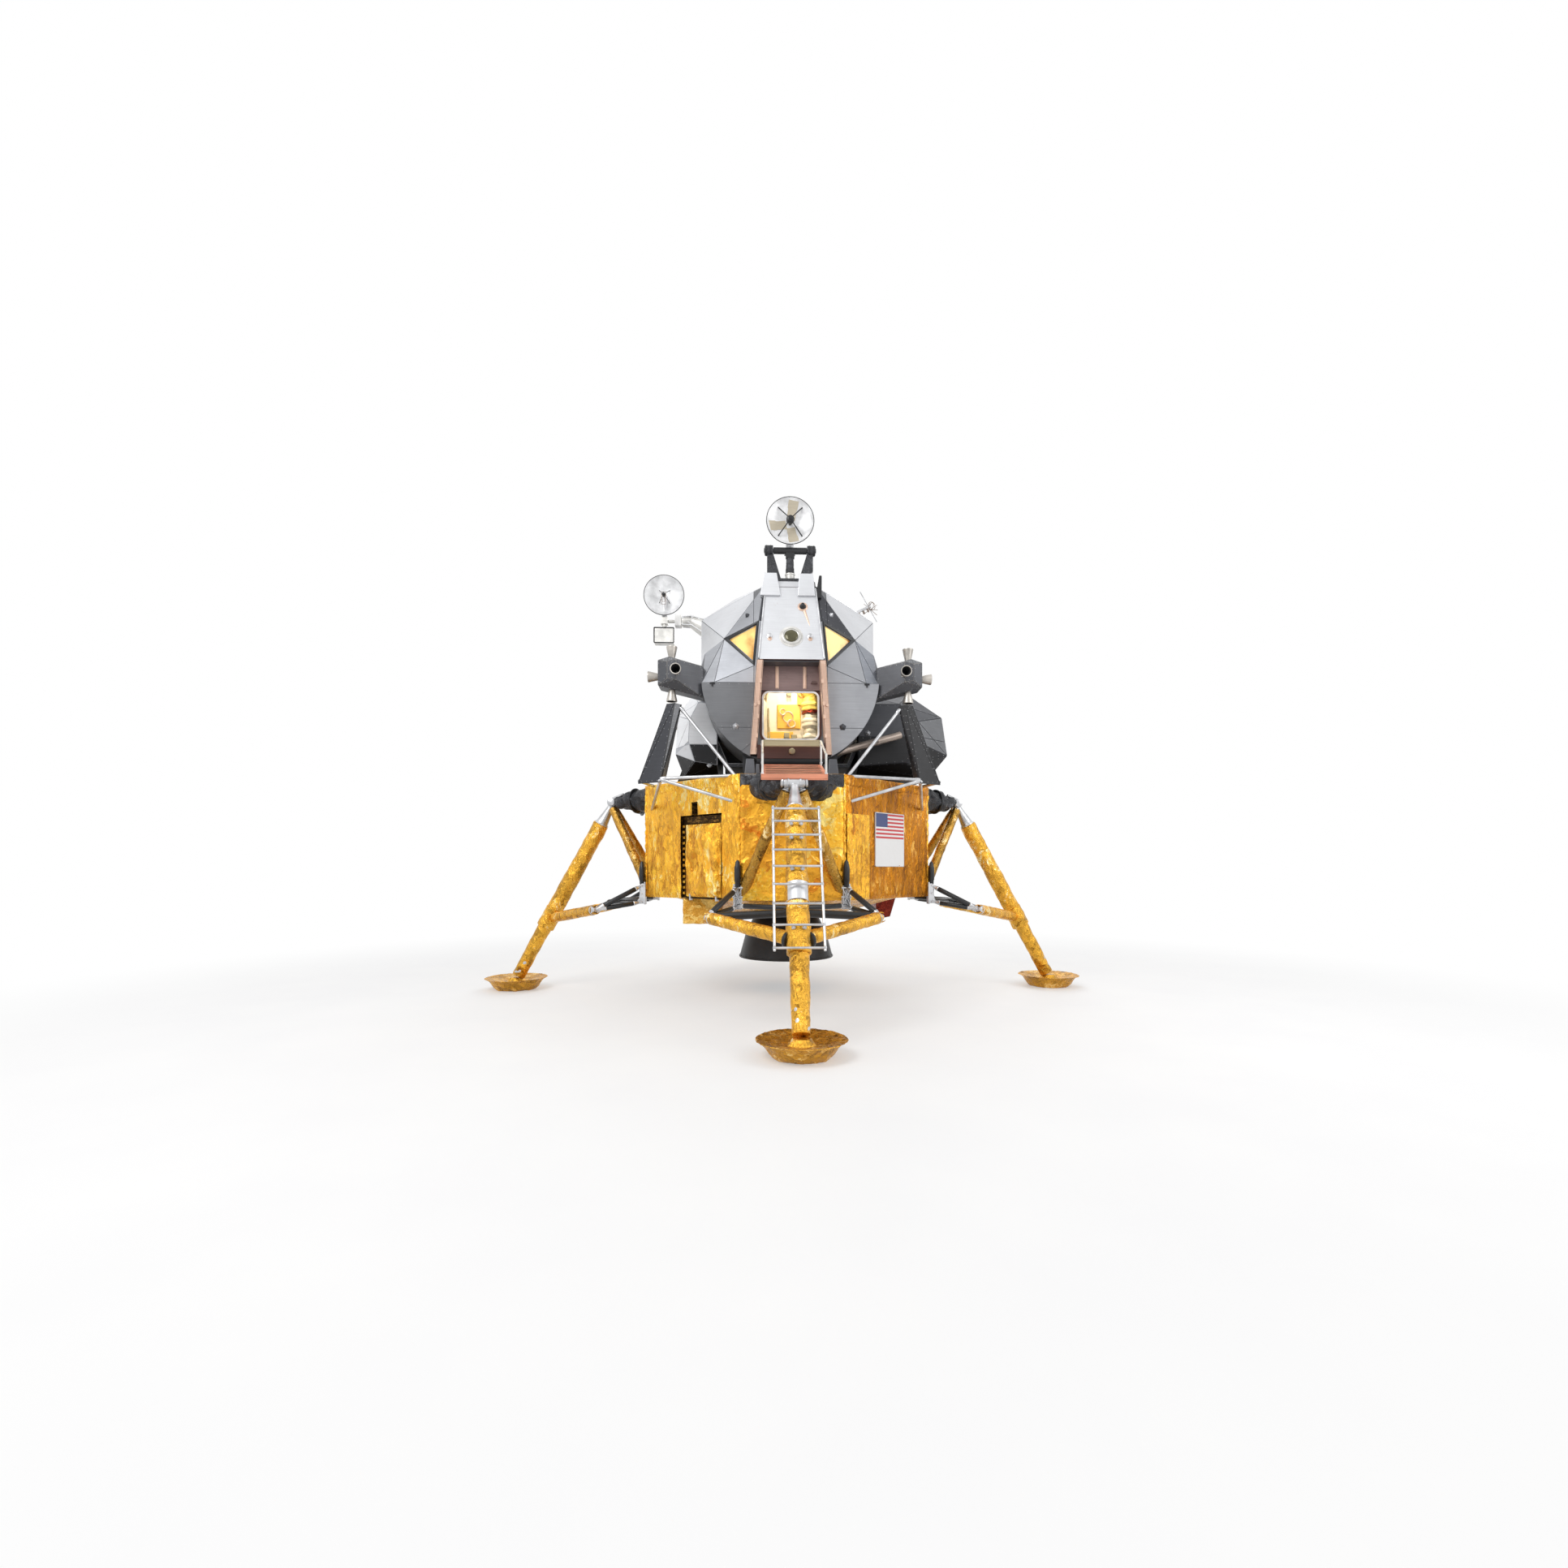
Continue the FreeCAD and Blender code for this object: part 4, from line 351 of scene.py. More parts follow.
@dataclass(frozen=True)
class Banner:
    """A painted plate with level stripes, a plain field in one corner and a plain white foot."""

    name: str
    stripe: Colour
    ground: Colour
    canton: Colour
    split: float
    head: float
    canton_reach: float
    along: Point
    stripes: int = 13
    canton_stripes: int = 7

    def material(self) -> bpy.types.Material:
        """Builds the banner's nodes.

        Returns:
            The material.
        """
        graph = Graph(self.name)
        spot = graph.add("TexCoord").outputs["Object"]
        height = graph.add("SeparateXYZ", {0: spot}).outputs["Z"]
        across = graph.add("VectorMath", {0: spot, 1: self.along}, operation="DOT_PRODUCT").outputs["Value"]
        band = (self.head - self.split) / self.stripes
        step = graph.maths("MODULO", graph.maths("DIVIDE", graph.maths("SUBTRACT", height, self.split),
            2 * band), 1.0)
        striped = graph.maths("LESS_THAN", step, 0.5)
        striped = graph.maths("MULTIPLY", striped, graph.maths("GREATER_THAN", height, self.split))
        corner = graph.maths("MULTIPLY", graph.maths("LESS_THAN", across, self.canton_reach),
            graph.maths("GREATER_THAN", height, self.head - self.canton_stripes * band))
        cloth = graph.add("MixRGB", {"Fac": striped, "Color1": (*self.ground, 1),
            "Color2": (*self.stripe, 1)}).outputs[0]
        colour = graph.add("MixRGB", {"Fac": corner, "Color1": cloth, "Color2": (*self.canton, 1)}).outputs[0]
        dust = graph.noise(graph.place(), 22.0, 5.0, 0.7)
        worn = graph.add("MixRGB", {"Fac": graph.maths("MULTIPLY", dust, 0.16), "Color1": colour,
            "Color2": (0.45, 0.42, 0.38, 1)}).outputs[0]
        graph.bump(dust, 0.08, 0.003)
        return graph.shade(Base_Color=worn, Roughness=graph.maths("MULTIPLY_ADD", dust, 0.2, 0.35))


class Skin(Enum):
    """Every finish on the lander."""

    # Each foil's dark colour is a painted shade and its bright colour a painted highlight.
    STREAKED_GOLD = Foil("streaked gold foil", (0.56, 0.2, 0.008), (1, 0.5, 0.04), (1, 0.86, 0.42), 0.075,
        (1, 1, 0.45), metal=0.72, painted_glints=0.24)
    # A darker copy of the streaked gold for the front right face: painted shade.
    SHADED_RIGHT_GOLD = Foil("deep gold foil", (0.26, 0.078, 0.003), (0.54, 0.2, 0.008), (0.98, 0.6, 0.14), 0.075,
        (1, 1, 0.42), metal=0.85, painted_glints=0.24)
    BRIGHT_GOLD = Foil("bright gold foil", (0.78, 0.225, 0.008), (1, 0.48, 0.034), (1, 0.78, 0.24), 0.26,
        (0.75, 1, 0.8), 0.42, 0.27, 0.62, 0.15)
    LEG_GOLD = Foil("wrapped gold foil", (0.24, 0.095, 0.006), (0.78, 0.41, 0.045), (1, 0.84, 0.45), 0.075,
        (1, 1, 0.75), painted_glints=0.12)
    BRACE_GOLD = Foil("shaded gold foil", (0.095, 0.042, 0.006), (0.5, 0.27, 0.045), (1, 0.8, 0.42), 0.06,
        (1, 1, 0.6), painted_glints=0.12)
    PAD_GOLD = Foil("footpad gold foil", (0.22, 0.09, 0.008), (0.6, 0.3, 0.035), (0.98, 0.7, 0.26), 0.06)
    BELLY_GOLD = Foil("belly gold foil", (0.2, 0.07, 0.004), (0.62, 0.29, 0.018), (0.95, 0.62, 0.16),
        0.09, metal=0.3)
    BAY_FOIL = Foil("bay lining foil", (0.01, 0.006, 0.003), (0.05, 0.027, 0.009), (0.42, 0.24, 0.06), 0.03,
        (1, 1, 2.4), 0.8, 0.4)
    RED_FOIL = Foil("dark red foil", (0.04, 0.004, 0.003), (0.19, 0.02, 0.011), (0.46, 0.09, 0.04), 0.05)
    BLACK_WRAP = Foil("black wrapping", (0.008, 0.008, 0.01), (0.03, 0.031, 0.036), (0.13, 0.135, 0.15),
        0.07, (1, 1, 1), 0.7, 0.42, 0.15)
    WHITE_SHEET = Sheet("pale alloy sheet", (0.69, 0.7, 0.725), 0.09, 0.4, 0.45, (0.32, 0.21, 0.12), 0.3)
    # The paler sheet on the upper left tank fairing: painted highlight.
    PEARL_SHEET = Sheet("pearl white sheet", (0.86, 0.87, 0.89), 0.09, 0.4, 0.35)
    SILVER_SHEET = Sheet("silver grey sheet", (0.47, 0.485, 0.52), 0.16, 0.38, 0.45)
    ASH_SHEET = Sheet("ash grey sheet", (0.36, 0.37, 0.395), 0.15, 0.4, 0.42)
    BLUE_SHEET = Sheet("blue grey sheet", (0.27, 0.285, 0.32), 0.18, 0.42, 0.4)
    GREY_SHEET = Sheet("mid grey sheet", (0.165, 0.17, 0.18), 0.18, 0.44, 0.4)
    DUSK_SHEET = Sheet("dark grey sheet", (0.085, 0.088, 0.098), 0.2, 0.44, 0.35)
    SLATE_SHEET = Sheet("slate sheet", (0.042, 0.044, 0.053), 0.22, 0.46, 0.3)
    NIGHT_SHEET = Sheet("near black sheet", (0.02, 0.02, 0.022), 0.3, 0.5, 0.25)
    MAROON_SHEET = Sheet("maroon sheet", (0.082, 0.033, 0.026), 0.22, 0.42, 0.25)
    CLAY_SHEET = Sheet("clay red sheet", (0.23, 0.158, 0.15), 0.3, 0.36, 0.35, (0.06, 0.03, 0.028), 0.45, 0.4)
    COPPER_SHEET = Sheet("copper tan sheet", (0.74, 0.52, 0.4), 0.14, 0.34, 0.45, (0.2, 0.1, 0.06), 0.5)
    TAN_SHEET = Sheet("tan sheet", (0.4, 0.34, 0.21), 0.2, 0.45, 0.25)
    PETAL_SHEET = Sheet("pale tan sheet", (0.54, 0.48, 0.37), 0.12, 0.45, 0.2)
    DECK_SHEET = Sheet("red brown deck sheet", (0.74, 0.295, 0.18), 0.28, 0.4, 0.2)
    CREAM_SHEET = Sheet("cream lining", (0.9, 0.82, 0.66), 0.1, 0.5, 0.0)
    YELLOW_WRAP = Sheet("yellow wrap", (0.9, 0.67, 0.15), 0.14, 0.5, 0.0, (0.55, 0.22, 0.02), 0.35)
    AMBER_SHEET = Sheet("amber lining", (0.85, 0.5, 0.07), 0.22, 0.42, 0.1)
    BARE_METAL = Coat("bare alloy", (0.58, 0.585, 0.6), (0.3, 0.3, 0.31), 0.3, 0.85, 60.0)
    JET_METAL = Coat("jet alloy", (0.5, 0.47, 0.43), (0.17, 0.14, 0.12), 0.34, 0.7, 40.0)
    BLACK_TUBE = Coat("satin black tube", (0.016, 0.017, 0.019), (0.1, 0.1, 0.105), 0.34, 0.1)
    WHITE_TUBE = Coat("white tube", (0.68, 0.67, 0.64), (0.36, 0.33, 0.29), 0.35, 0.25)
    DISH_WHITE = Coat("dish white", (0.76, 0.765, 0.775), (0.6, 0.58, 0.55), 0.32, 0.15)
    BELL_DARK = Coat("engine bell coat", (0.024, 0.024, 0.026), (0.06, 0.055, 0.055), 0.42, 0.35, 22.0)
    STRAW_METAL = Coat("straw tube", (0.33, 0.27, 0.23), (0.15, 0.11, 0.09), 0.32, 0.6)
    DOOR_PAINT = Coat("door paint", (0.72, 0.68, 0.56), (0.4, 0.35, 0.26), 0.45, 0.1)
    LENS = Coat("port lens", (0.11, 0.1, 0.05), (0.16, 0.14, 0.07), 0.12, 0.3)
    WINDOW = LitPane("lit window")
    BANNER = Banner("striped plate", (0.62, 0.022, 0.03), (0.86, 0.86, 0.86), (0.03, 0.055, 0.2), 2.31,
        2.652, -0.075, (0.70711, 0.70711, 0))

    @property
    def material(self) -> bpy.types.Material:
        """The finish's material, built once."""
        return bpy.data.materials.get(self.value.name) or self.value.material()


# ---------------------------------------- workbench

def only(piece: Piece) -> None:
    """Makes a piece the only selected and the active one.

    Args:
        piece: the piece.
    """
    bpy.ops.object.select_all(action="DESELECT")
    piece.select_set(True)
    bpy.context.view_layer.objects.active = piece


def edit(piece: Piece, mode: str = "FACE", action: str = "DESELECT") -> None:
    """Opens a piece in edit mode.

    Args:
        piece: the piece.
        mode: what is selected from now on: "VERT", "EDGE" or "FACE".
        action: "SELECT" for all of it, "DESELECT" for nothing.
    """
    only(piece)
    bpy.ops.object.mode_set(mode="EDIT")
    bpy.ops.mesh.select_mode(type=mode)
    bpy.ops.mesh.select_all(action=action)


def done() -> Piece:
    """Leaves edit mode and returns the active piece."""
    bpy.ops.object.mode_set(mode="OBJECT")
    return bpy.context.object


def pick(piece: Piece, kind: str, test: Callable[[object], bool]) -> None:
    """Selects the vertices, edges or faces that pass a test; the piece is in edit mode.

    Args:
        piece: the piece that is open.
        kind: "verts", "edges" or "faces".
        test: takes one element and says whether it is selected.
    """
    mesh = bmesh.from_edit_mesh(piece.data)
    for element in getattr(mesh, kind):
        if test(element):
            element.select_set(True)
    mesh.select_flush(True)
    bmesh.update_edit_mesh(piece.data)


def applied(piece: Piece) -> Piece:
    """Writes a piece's place, turn and size into its mesh.

    Args:
        piece: the piece.

    Returns:
        The same piece.
    """
    only(piece)
    bpy.ops.object.transform_apply(location=True, rotation=True, scale=True)
    return piece


def finished(piece: Piece) -> Piece:
    """Applies every modifier of a piece.

    Args:
        piece: the piece.

    Returns:
        The same piece.
    """
    only(piece)
    for modifier in list(piece.modifiers):
        bpy.ops.object.modifier_apply(modifier=modifier.name)
    return piece


def outward(piece: Piece) -> Piece:
    """Merges doubles and points every face of a closed piece outwards.

    Args:
        piece: the piece.

    Returns:
        The same piece.
    """
    edit(piece, action="SELECT")
    bpy.ops.mesh.remove_doubles(threshold=WELD)
    bpy.ops.mesh.normals_make_consistent(inside=False)
    return done()


def smooth(piece: Piece, degrees: float = 35.0) -> Piece:
    """Shades a piece smooth except across sharp edges.

    Args:
        piece: the piece.
        degrees: the least angle of a sharp edge.

    Returns:
        The same piece.
    """
    only(piece)
    bpy.ops.object.shade_smooth_by_angle(angle=math.radians(degrees))
    return piece


def start_with(primitive: Callable, name: str, scale: Point = (1, 1, 1), **settings: object) -> Piece:
    """Adds a primitive with nothing else selected, its place, turn and size written into its mesh.

    Args:
        primitive: the operator that adds it.
        name: what the piece is called.
        scale: its size along each axis.
        settings: the operator's settings.

    Returns:
        The piece.
    """
    bpy.ops.object.select_all(action="DESELECT")
    primitive(**settings)
    piece = bpy.context.object
    piece.name, piece.scale = name, scale
    return applied(piece)


def block(name: str, low: Point, high: Point, edge: float = 0.003, taper: Point | None = None) -> Piece:
    """A block between two corners with rounded edges.

    Args:
        name: what the piece is called.
        low: its lowest corner.
        high: its highest corner.
        edge: width of the rounding.
        taper: shares by which the top is drawn in along x and y, and its shift along y.

    Returns:
        The block.
    """
    centre, size = (Vector(low) + Vector(high)) / 2, Vector(high) - Vector(low)
    piece = start_with(bpy.ops.mesh.primitive_cube_add, name, size, size=1.0, location=centre)
    edit(piece)
    if taper:
        pick(piece, "faces", lambda face: face.normal.z > 0.9)
        bpy.ops.transform.resize(value=(taper[0], taper[1], 1), center_override=centre)
        bpy.ops.transform.translate(value=(0, taper[2], 0))
    bpy.ops.mesh.select_all(action="SELECT")
    bpy.ops.mesh.bevel(offset=edge, segments=2, affect="EDGES")
    return done()


def turned(name: str, start: Point, end: Point, profile: Iterable[tuple[float, float]],
        sides: int = 32) -> Piece:
    """A piece turned about the line from start to end, drawn out ring by ring from its first radius.

    Args:
        name: what the piece is called.
        start: where the profile's distance is zero.
        end: a point that the axis points to.
        profile: (distance along the axis, radius) of each ring.
        sides: number of sides.

    Returns:
        The piece, closed at both ends.
    """
    rings = list(profile)
    piece = start_with(bpy.ops.mesh.primitive_circle_add, name, vertices=sides, radius=rings[0][1],
        location=(0, 0, rings[0][0]), fill_type="NGON")
    edit(piece, "EDGE", "SELECT")
    for (before, old), (after, new) in zip(rings, rings[1:]):
        bpy.ops.mesh.extrude_region_move(TRANSFORM_OT_translate={"value": (0, 0, after - before)})
        bpy.ops.transform.resize(value=(new / old, new / old, 1), center_override=(0, 0, after))
    done()
    piece.matrix_world = Matrix.Translation(start) @ facing(Vector(end) - Vector(start))
    return smooth(outward(applied(piece)))


def facing(direction: Vector) -> Matrix:
    """The turn that points +Z along a direction."""
    return direction.to_track_quat("Z", "Y").to_matrix().to_4x4()


def bar(name: str, start: Point, end: Point, radius: float, end_radius: float | None = None,
        sides: int = 20, rings: int = 1) -> Piece:
    """A round bar or cone with slightly rounded ends, in evenly spaced rings.

    Args:
        name: what the piece is called.
        start: middle of its first end.
        end: middle of its other end.
        radius: its radius at the start.
        end_radius: its radius at the end, if it differs.
        sides: number of sides.
        rings: number of lengths that it is divided into.

    Returns:
        The bar.
    """
    length = (Vector(end) - Vector(start)).length
    last = radius if end_radius is None else end_radius
    trim = min(0.004, radius * 0.25, last * 0.25)
    middle = [(trim + (length - 2 * trim) * step / rings, radius + (last - radius) * step / rings)
        for step in range(rings + 1)]
    return turned(name, start, end, [(0, radius - trim), *middle, (length, last - trim)], sides)


def crumple(piece: Piece, kind: str, size: float, depth: float, level: float = 0.5, group: str = "",
        direction: str = "NORMAL") -> Piece:
    """Pushes a piece's surface in and out by a noise.

    Args:
        piece: the piece.
        kind: noise type of the texture.
        size: size of a crease, in metres.
        depth: how far the surface moves.
        level: share of the depth that lies inwards.
        group: vertex group that weighs the move.
        direction: axis of the move.

    Returns:
        The piece.
    """
    texture = bpy.data.textures.new(f"{piece.name}_{kind}", kind)
    texture.noise_scale = size
    modifier = piece.modifiers.new("crumple", "DISPLACE")
    modifier.texture, modifier.texture_coords = texture, "LOCAL"
    modifier.strength, modifier.mid_level = depth, level
    modifier.direction, modifier.vertex_group = direction, group
    return finished(piece)


def thicken(piece: Piece, thickness: float, offset: float = 1.0, edge: float = 0.0,
        segments: int = 1) -> Piece:
    """Gives a sheet its thickness and, where asked, rounded edges.

    Args:
        piece: the sheet.
        thickness: how thick it becomes.
        offset: 1 to grow outwards only, 0 to both sides.
        edge: width of the rounding.
        segments: steps of the rounding.

    Returns:
        The same piece.
    """
    wall = piece.modifiers.new("wall", "SOLIDIFY")
    wall.thickness, wall.offset = thickness, offset
    if edge:
        rounding = piece.modifiers.new("edge", "BEVEL")
        rounding.width, rounding.segments, rounding.limit_method = edge, segments, "ANGLE"
    return finished(piece)


def copied(piece: Piece, name: str, degrees: float = 0.0, mirror: bool = False) -> Piece:
    """A copy with its own mesh, mirrored in x and turned about the upright axis.

    Args:
        piece: the pattern.
        name: what the copy is called.
        degrees: how far it is turned.
        mirror: whether it is mirrored first.

    Returns:
        The copy.
    """
    twin = piece.copy()
    twin.data = piece.data.copy()
    twin.name = name
    bpy.context.scene.collection.objects.link(twin)
    flip = Matrix.Diagonal((-1.0 if mirror else 1.0, 1, 1, 1))
    twin.matrix_world = Matrix.Rotation(math.radians(degrees), 4, "Z") @ flip
    applied(twin)
    return outward(twin) if mirror else twin


def joined(name: str, pieces: Iterable[Piece]) -> Piece:
    """Several pieces made one object.

    Args:
        name: what it is called.
        pieces: the pieces.

    Returns:
        The object.
    """
    first, *rest = pieces
    only(first)
    for piece in rest:
        piece.select_set(True)
    bpy.ops.object.join()
    first.name = name
    return first


def dress(piece: Piece, skin: Skin, slot: str, body: str = ROOT) -> Piece:
    """Gives a new piece its finish, its material slot and the body that it rides on.

    Args:
        piece: the piece.
        skin: its finish.
        slot: the record's material slot.
        body: the body.

    Returns:
        The same piece.
    """
    piece.data.materials.clear()
    piece.data.materials.append(skin.material)
    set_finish(piece, slot)
    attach(piece, body)
    LOG.info("%s: %d faces on %s", piece.name, len(piece.data.polygons), body)
    return piece


def dress_group(name: str, pieces: Iterable[Piece], skin: Skin, slot: str, body: str = ROOT) -> Piece:
    """Joins several pieces and dresses them as one."""
    return dress(joined(name, pieces), skin, slot, body)


@dataclass
class SubAssembly:
    """A part of the lander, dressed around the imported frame."""

    frame: dict

    def repaint(self, skins: dict[str, Skin]) -> None:
        """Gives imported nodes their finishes.

        Args:
            skins: node name to finish.
        """
        for name, skin in skins.items():
            materials = self.frame["nodes"][name].data.materials
            materials.clear()
            materials.append(skin.material)


@dataclass
class Panelling:
    """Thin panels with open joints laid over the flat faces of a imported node."""

    node: str
    slot: str
    choose: Callable[[Vector, Vector], Skin | None]
    cuts: tuple[tuple[Point, Point], ...] = ()
    smallest: float = 0.02
    gap: float = 0.004
    thick: float = 0.006
    flat: float = 1.5
    rivets: float = 0.11
    rivet_inset: float = 0.016
    shortest: float = 0.1

    def copy_of(self, frame: dict) -> Piece:
        """A merged copy of the node with its flat faces made whole, then cut by the joint planes.


        Returns:
            The copy.
        """
        source = frame["nodes"][self.node]
        piece = bpy.data.objects.new(self.node + "_panels", source.data.copy())
        bpy.context.scene.collection.objects.link(piece)
        edit(piece, action="SELECT")
        bpy.ops.mesh.remove_doubles(threshold=NODE_WELD)
        bpy.ops.mesh.select_all(action="SELECT")
        bpy.ops.mesh.dissolve_limited(angle_limit=math.radians(self.flat))
        for point, normal in self.cuts:
            bpy.ops.mesh.select_all(action="SELECT")
            bpy.ops.mesh.bisect(plane_co=point, plane_no=normal)
        return done()

    def lay(self, frame: dict) -> None:
        """Makes the panels, one piece for each finish, and the rivets round them.
        """
        piece = self.copy_of(frame)
        skins = list(dict.fromkeys(filter(None, (self.choose(face.center, face.normal)
            for face in piece.data.polygons))))
        piece.data.materials.clear()
        for skin in skins:
            piece.data.materials.append(skin.material)
        edit(piece)
        mesh = bmesh.from_edit_mesh(piece.data)
        for face in mesh.faces:
            skin = self.choose(face.calc_center_median(),
                face.normal) if face.calc_area() > self.smallest else None
            face.select_set(skin is not None)
            face.material_index = skins.index(skin) if skin else 0
        bmesh.update_edit_mesh(piece.data)
        bpy.ops.mesh.inset(thickness=self.gap, use_individual=True)
        bpy.ops.mesh.select_all(action="INVERT")
        bpy.ops.mesh.delete(type="FACE")
        done()
        studs = self.rivet_places(piece)
        thicken(piece, self.thick, 1.0, self.thick * 0.3)
        edit(piece, action="SELECT")
        bpy.ops.mesh.separate(type="MATERIAL")
        done()
        pieces = [piece] + [other for other in bpy.context.selected_objects if other is not piece]
        for index, part in enumerate(pieces):
            part.name = f"{self.node}_panels_{index + 1}"
            skin = next(skin for skin in skins if skin.material == part.data.materials[0])
            dress(part, skin, self.slot)
        if studs:
            Fasteners(self.node + "_rivets", studs).build()

    def rivet_places(self, piece: Piece) -> list[tuple[Vector, Vector]]:
        """Evenly spaced places just inside the panels' edges, each with the panel's normal.

        Args:
            piece: the panels.

        Returns:
            Each place with its normal.
        """
        places = []
        for face in piece.data.polygons:
            normal = face.normal.copy()
            corners = [piece.data.vertices[index].co.copy() for index in face.vertices]
            for start, end in zip(corners, corners[1:] + corners[:1]):
                run = end - start
                count = int(run.length / self.rivets)
                if run.length < self.shortest or count < 1:
                    continue
                inward = normal.cross(run).normalized() * self.rivet_inset
                places += [(start + run * ((step + 0.5) / count) + inward + normal * self.thick, normal)
                    for step in range(count)]
        return places


@dataclass
class Fasteners:
    """Small domed rivets, one shape copied to each place."""

    name: str
    places: list[tuple[Vector, Vector]]
    radius: float = 0.0045

    def build(self, body: str = ROOT) -> Piece:
        """Models one rivet, copies it to each place and joins the copies.

        Args:
            body: the body that the rivets ride on.

        Returns:
            The rivets as one piece.
        """
        pattern = start_with(bpy.ops.mesh.primitive_cone_add, "rivet", vertices=8,
            radius1=self.radius, radius2=self.radius * 0.55, depth=self.radius * 0.7, end_fill_type="NGON")
        smooth(pattern, 80.0)
        copies = []
        for spot, normal in self.places:
            twin = bpy.data.objects.new(self.name, pattern.data.copy())
            twin.matrix_world = Matrix.Translation(spot) @ facing(normal)
            bpy.context.scene.collection.objects.link(twin)
            copies.append(twin)
        bpy.data.objects.remove(pattern)
        return dress(applied(joined(self.name, copies)), Skin.BARE_METAL, "bare_alloy", body)


# ---------------------------------------- descent stage

@dataclass
class FoilBlanket:
    """A crumpled foil sheet over one upright face of the descent stage."""

    name: str
    degrees: float
    reach: float
    low: tuple[float, float]
    high: tuple[float, float]
    skin: Skin
    step: float = 0.016
    depth: float = 0.022
    crease: float = 0.22
    grain: Point = (1, 1, 2.6)
    hem: float = 0.05
    openings: tuple[tuple[float, float, float, float], ...] = ()

    def build(self) -> Piece:
        """Makes the sheet facing -Y, crumples it, cuts its openings and turns it to its face.

        Returns:
            The blanket.
        """
        width, height = self.high[0] - self.low[0], self.high[1] - self.low[1]
        middle = ((self.low[0] + self.high[0]) / 2, -self.reach - 0.004, (self.low[1] + self.high[1]) / 2)
        piece = start_with(bpy.ops.mesh.primitive_grid_add, self.name, (width, height, 1),
            size=1.0, x_subdivisions=max(2, round(width / self.step)), y_subdivisions=max(2,
            round(height / self.step)), location=middle, rotation=UPRIGHT)
        self.pin_hem(piece)
        self.crumple(piece)
        for opening in self.openings:
            self.cut(piece, opening)
        smooth(thicken(piece, 0.003, -1.0), 28.0)
        piece.rotation_euler = (0, 0, math.radians(self.degrees))
        applied(piece)
        return dress(piece, self.skin, "descent_skin")

    def pin_hem(self, piece: Piece) -> None:
        """Weighs the sheet so that it lies still along its hems.

        Args:
            piece: the sheet.
        """
        group = piece.vertex_groups.new(name="loose")
        for vertex in piece.data.vertices:
            x, z = vertex.co.x, vertex.co.z
            inside = min(x - self.low[0], self.high[0] - x, z - self.low[1], self.high[1] - z)
            group.add([vertex.index], max(0.1, min(1.0, inside / self.hem)), "REPLACE")

    def crumple(self, piece: Piece) -> None:
        """Billows the sheet, then folds long creases and small tucks into it.

        Args:
            piece: the sheet.
        """
        bpy.ops.object.empty_add(location=(self.degrees * 0.037, 0, self.reach))
        stretch = bpy.context.object
        stretch.scale = self.grain
        moves = (("CLOUDS", 0.34, self.depth, 0.25), ("MUSGRAVE", self.crease, self.depth * 0.55, 0.3),
            ("VORONOI", self.crease * 0.5, self.depth * 0.6, 0.3), ("VORONOI", 0.045, self.depth * 0.18, 0.4))
        for number, (kind, size, depth, level) in enumerate(moves):
            texture = bpy.data.textures.new(f"{self.name}_{number}", kind)
            texture.noise_scale = size
            modifier = piece.modifiers.new("crumple", "DISPLACE")
            modifier.texture, modifier.texture_coords = texture, "OBJECT"
            modifier.texture_coords_object = stretch
            modifier.strength, modifier.mid_level, modifier.vertex_group = depth, level, "loose"
        finished(piece)
        bpy.data.objects.remove(stretch)

    def cut(self, piece: Piece, opening: tuple[float, float, float, float]) -> None:
        """Cuts a square-cornered opening given as left, bottom, right and top.

        Args:
            piece: the sheet.
            opening: its left, bottom, right and top.
        """
        left, bottom, right, top = opening
        edit(piece)
        for point, normal in (((left, 0, 0), (1, 0, 0)), ((right, 0, 0), (1, 0, 0)),
                ((0, 0, bottom), (0, 0, 1)), ((0, 0, top), (0, 0, 1))):
            bpy.ops.mesh.select_all(action="SELECT")
            bpy.ops.mesh.bisect(plane_co=point, plane_no=normal)
        bpy.ops.mesh.select_all(action="DESELECT")
        pick(piece, "faces", lambda face: left < face.calc_center_median().x < right
            and bottom < face.calc_center_median().z < top)
        bpy.ops.mesh.delete(type="FACE")
        done()


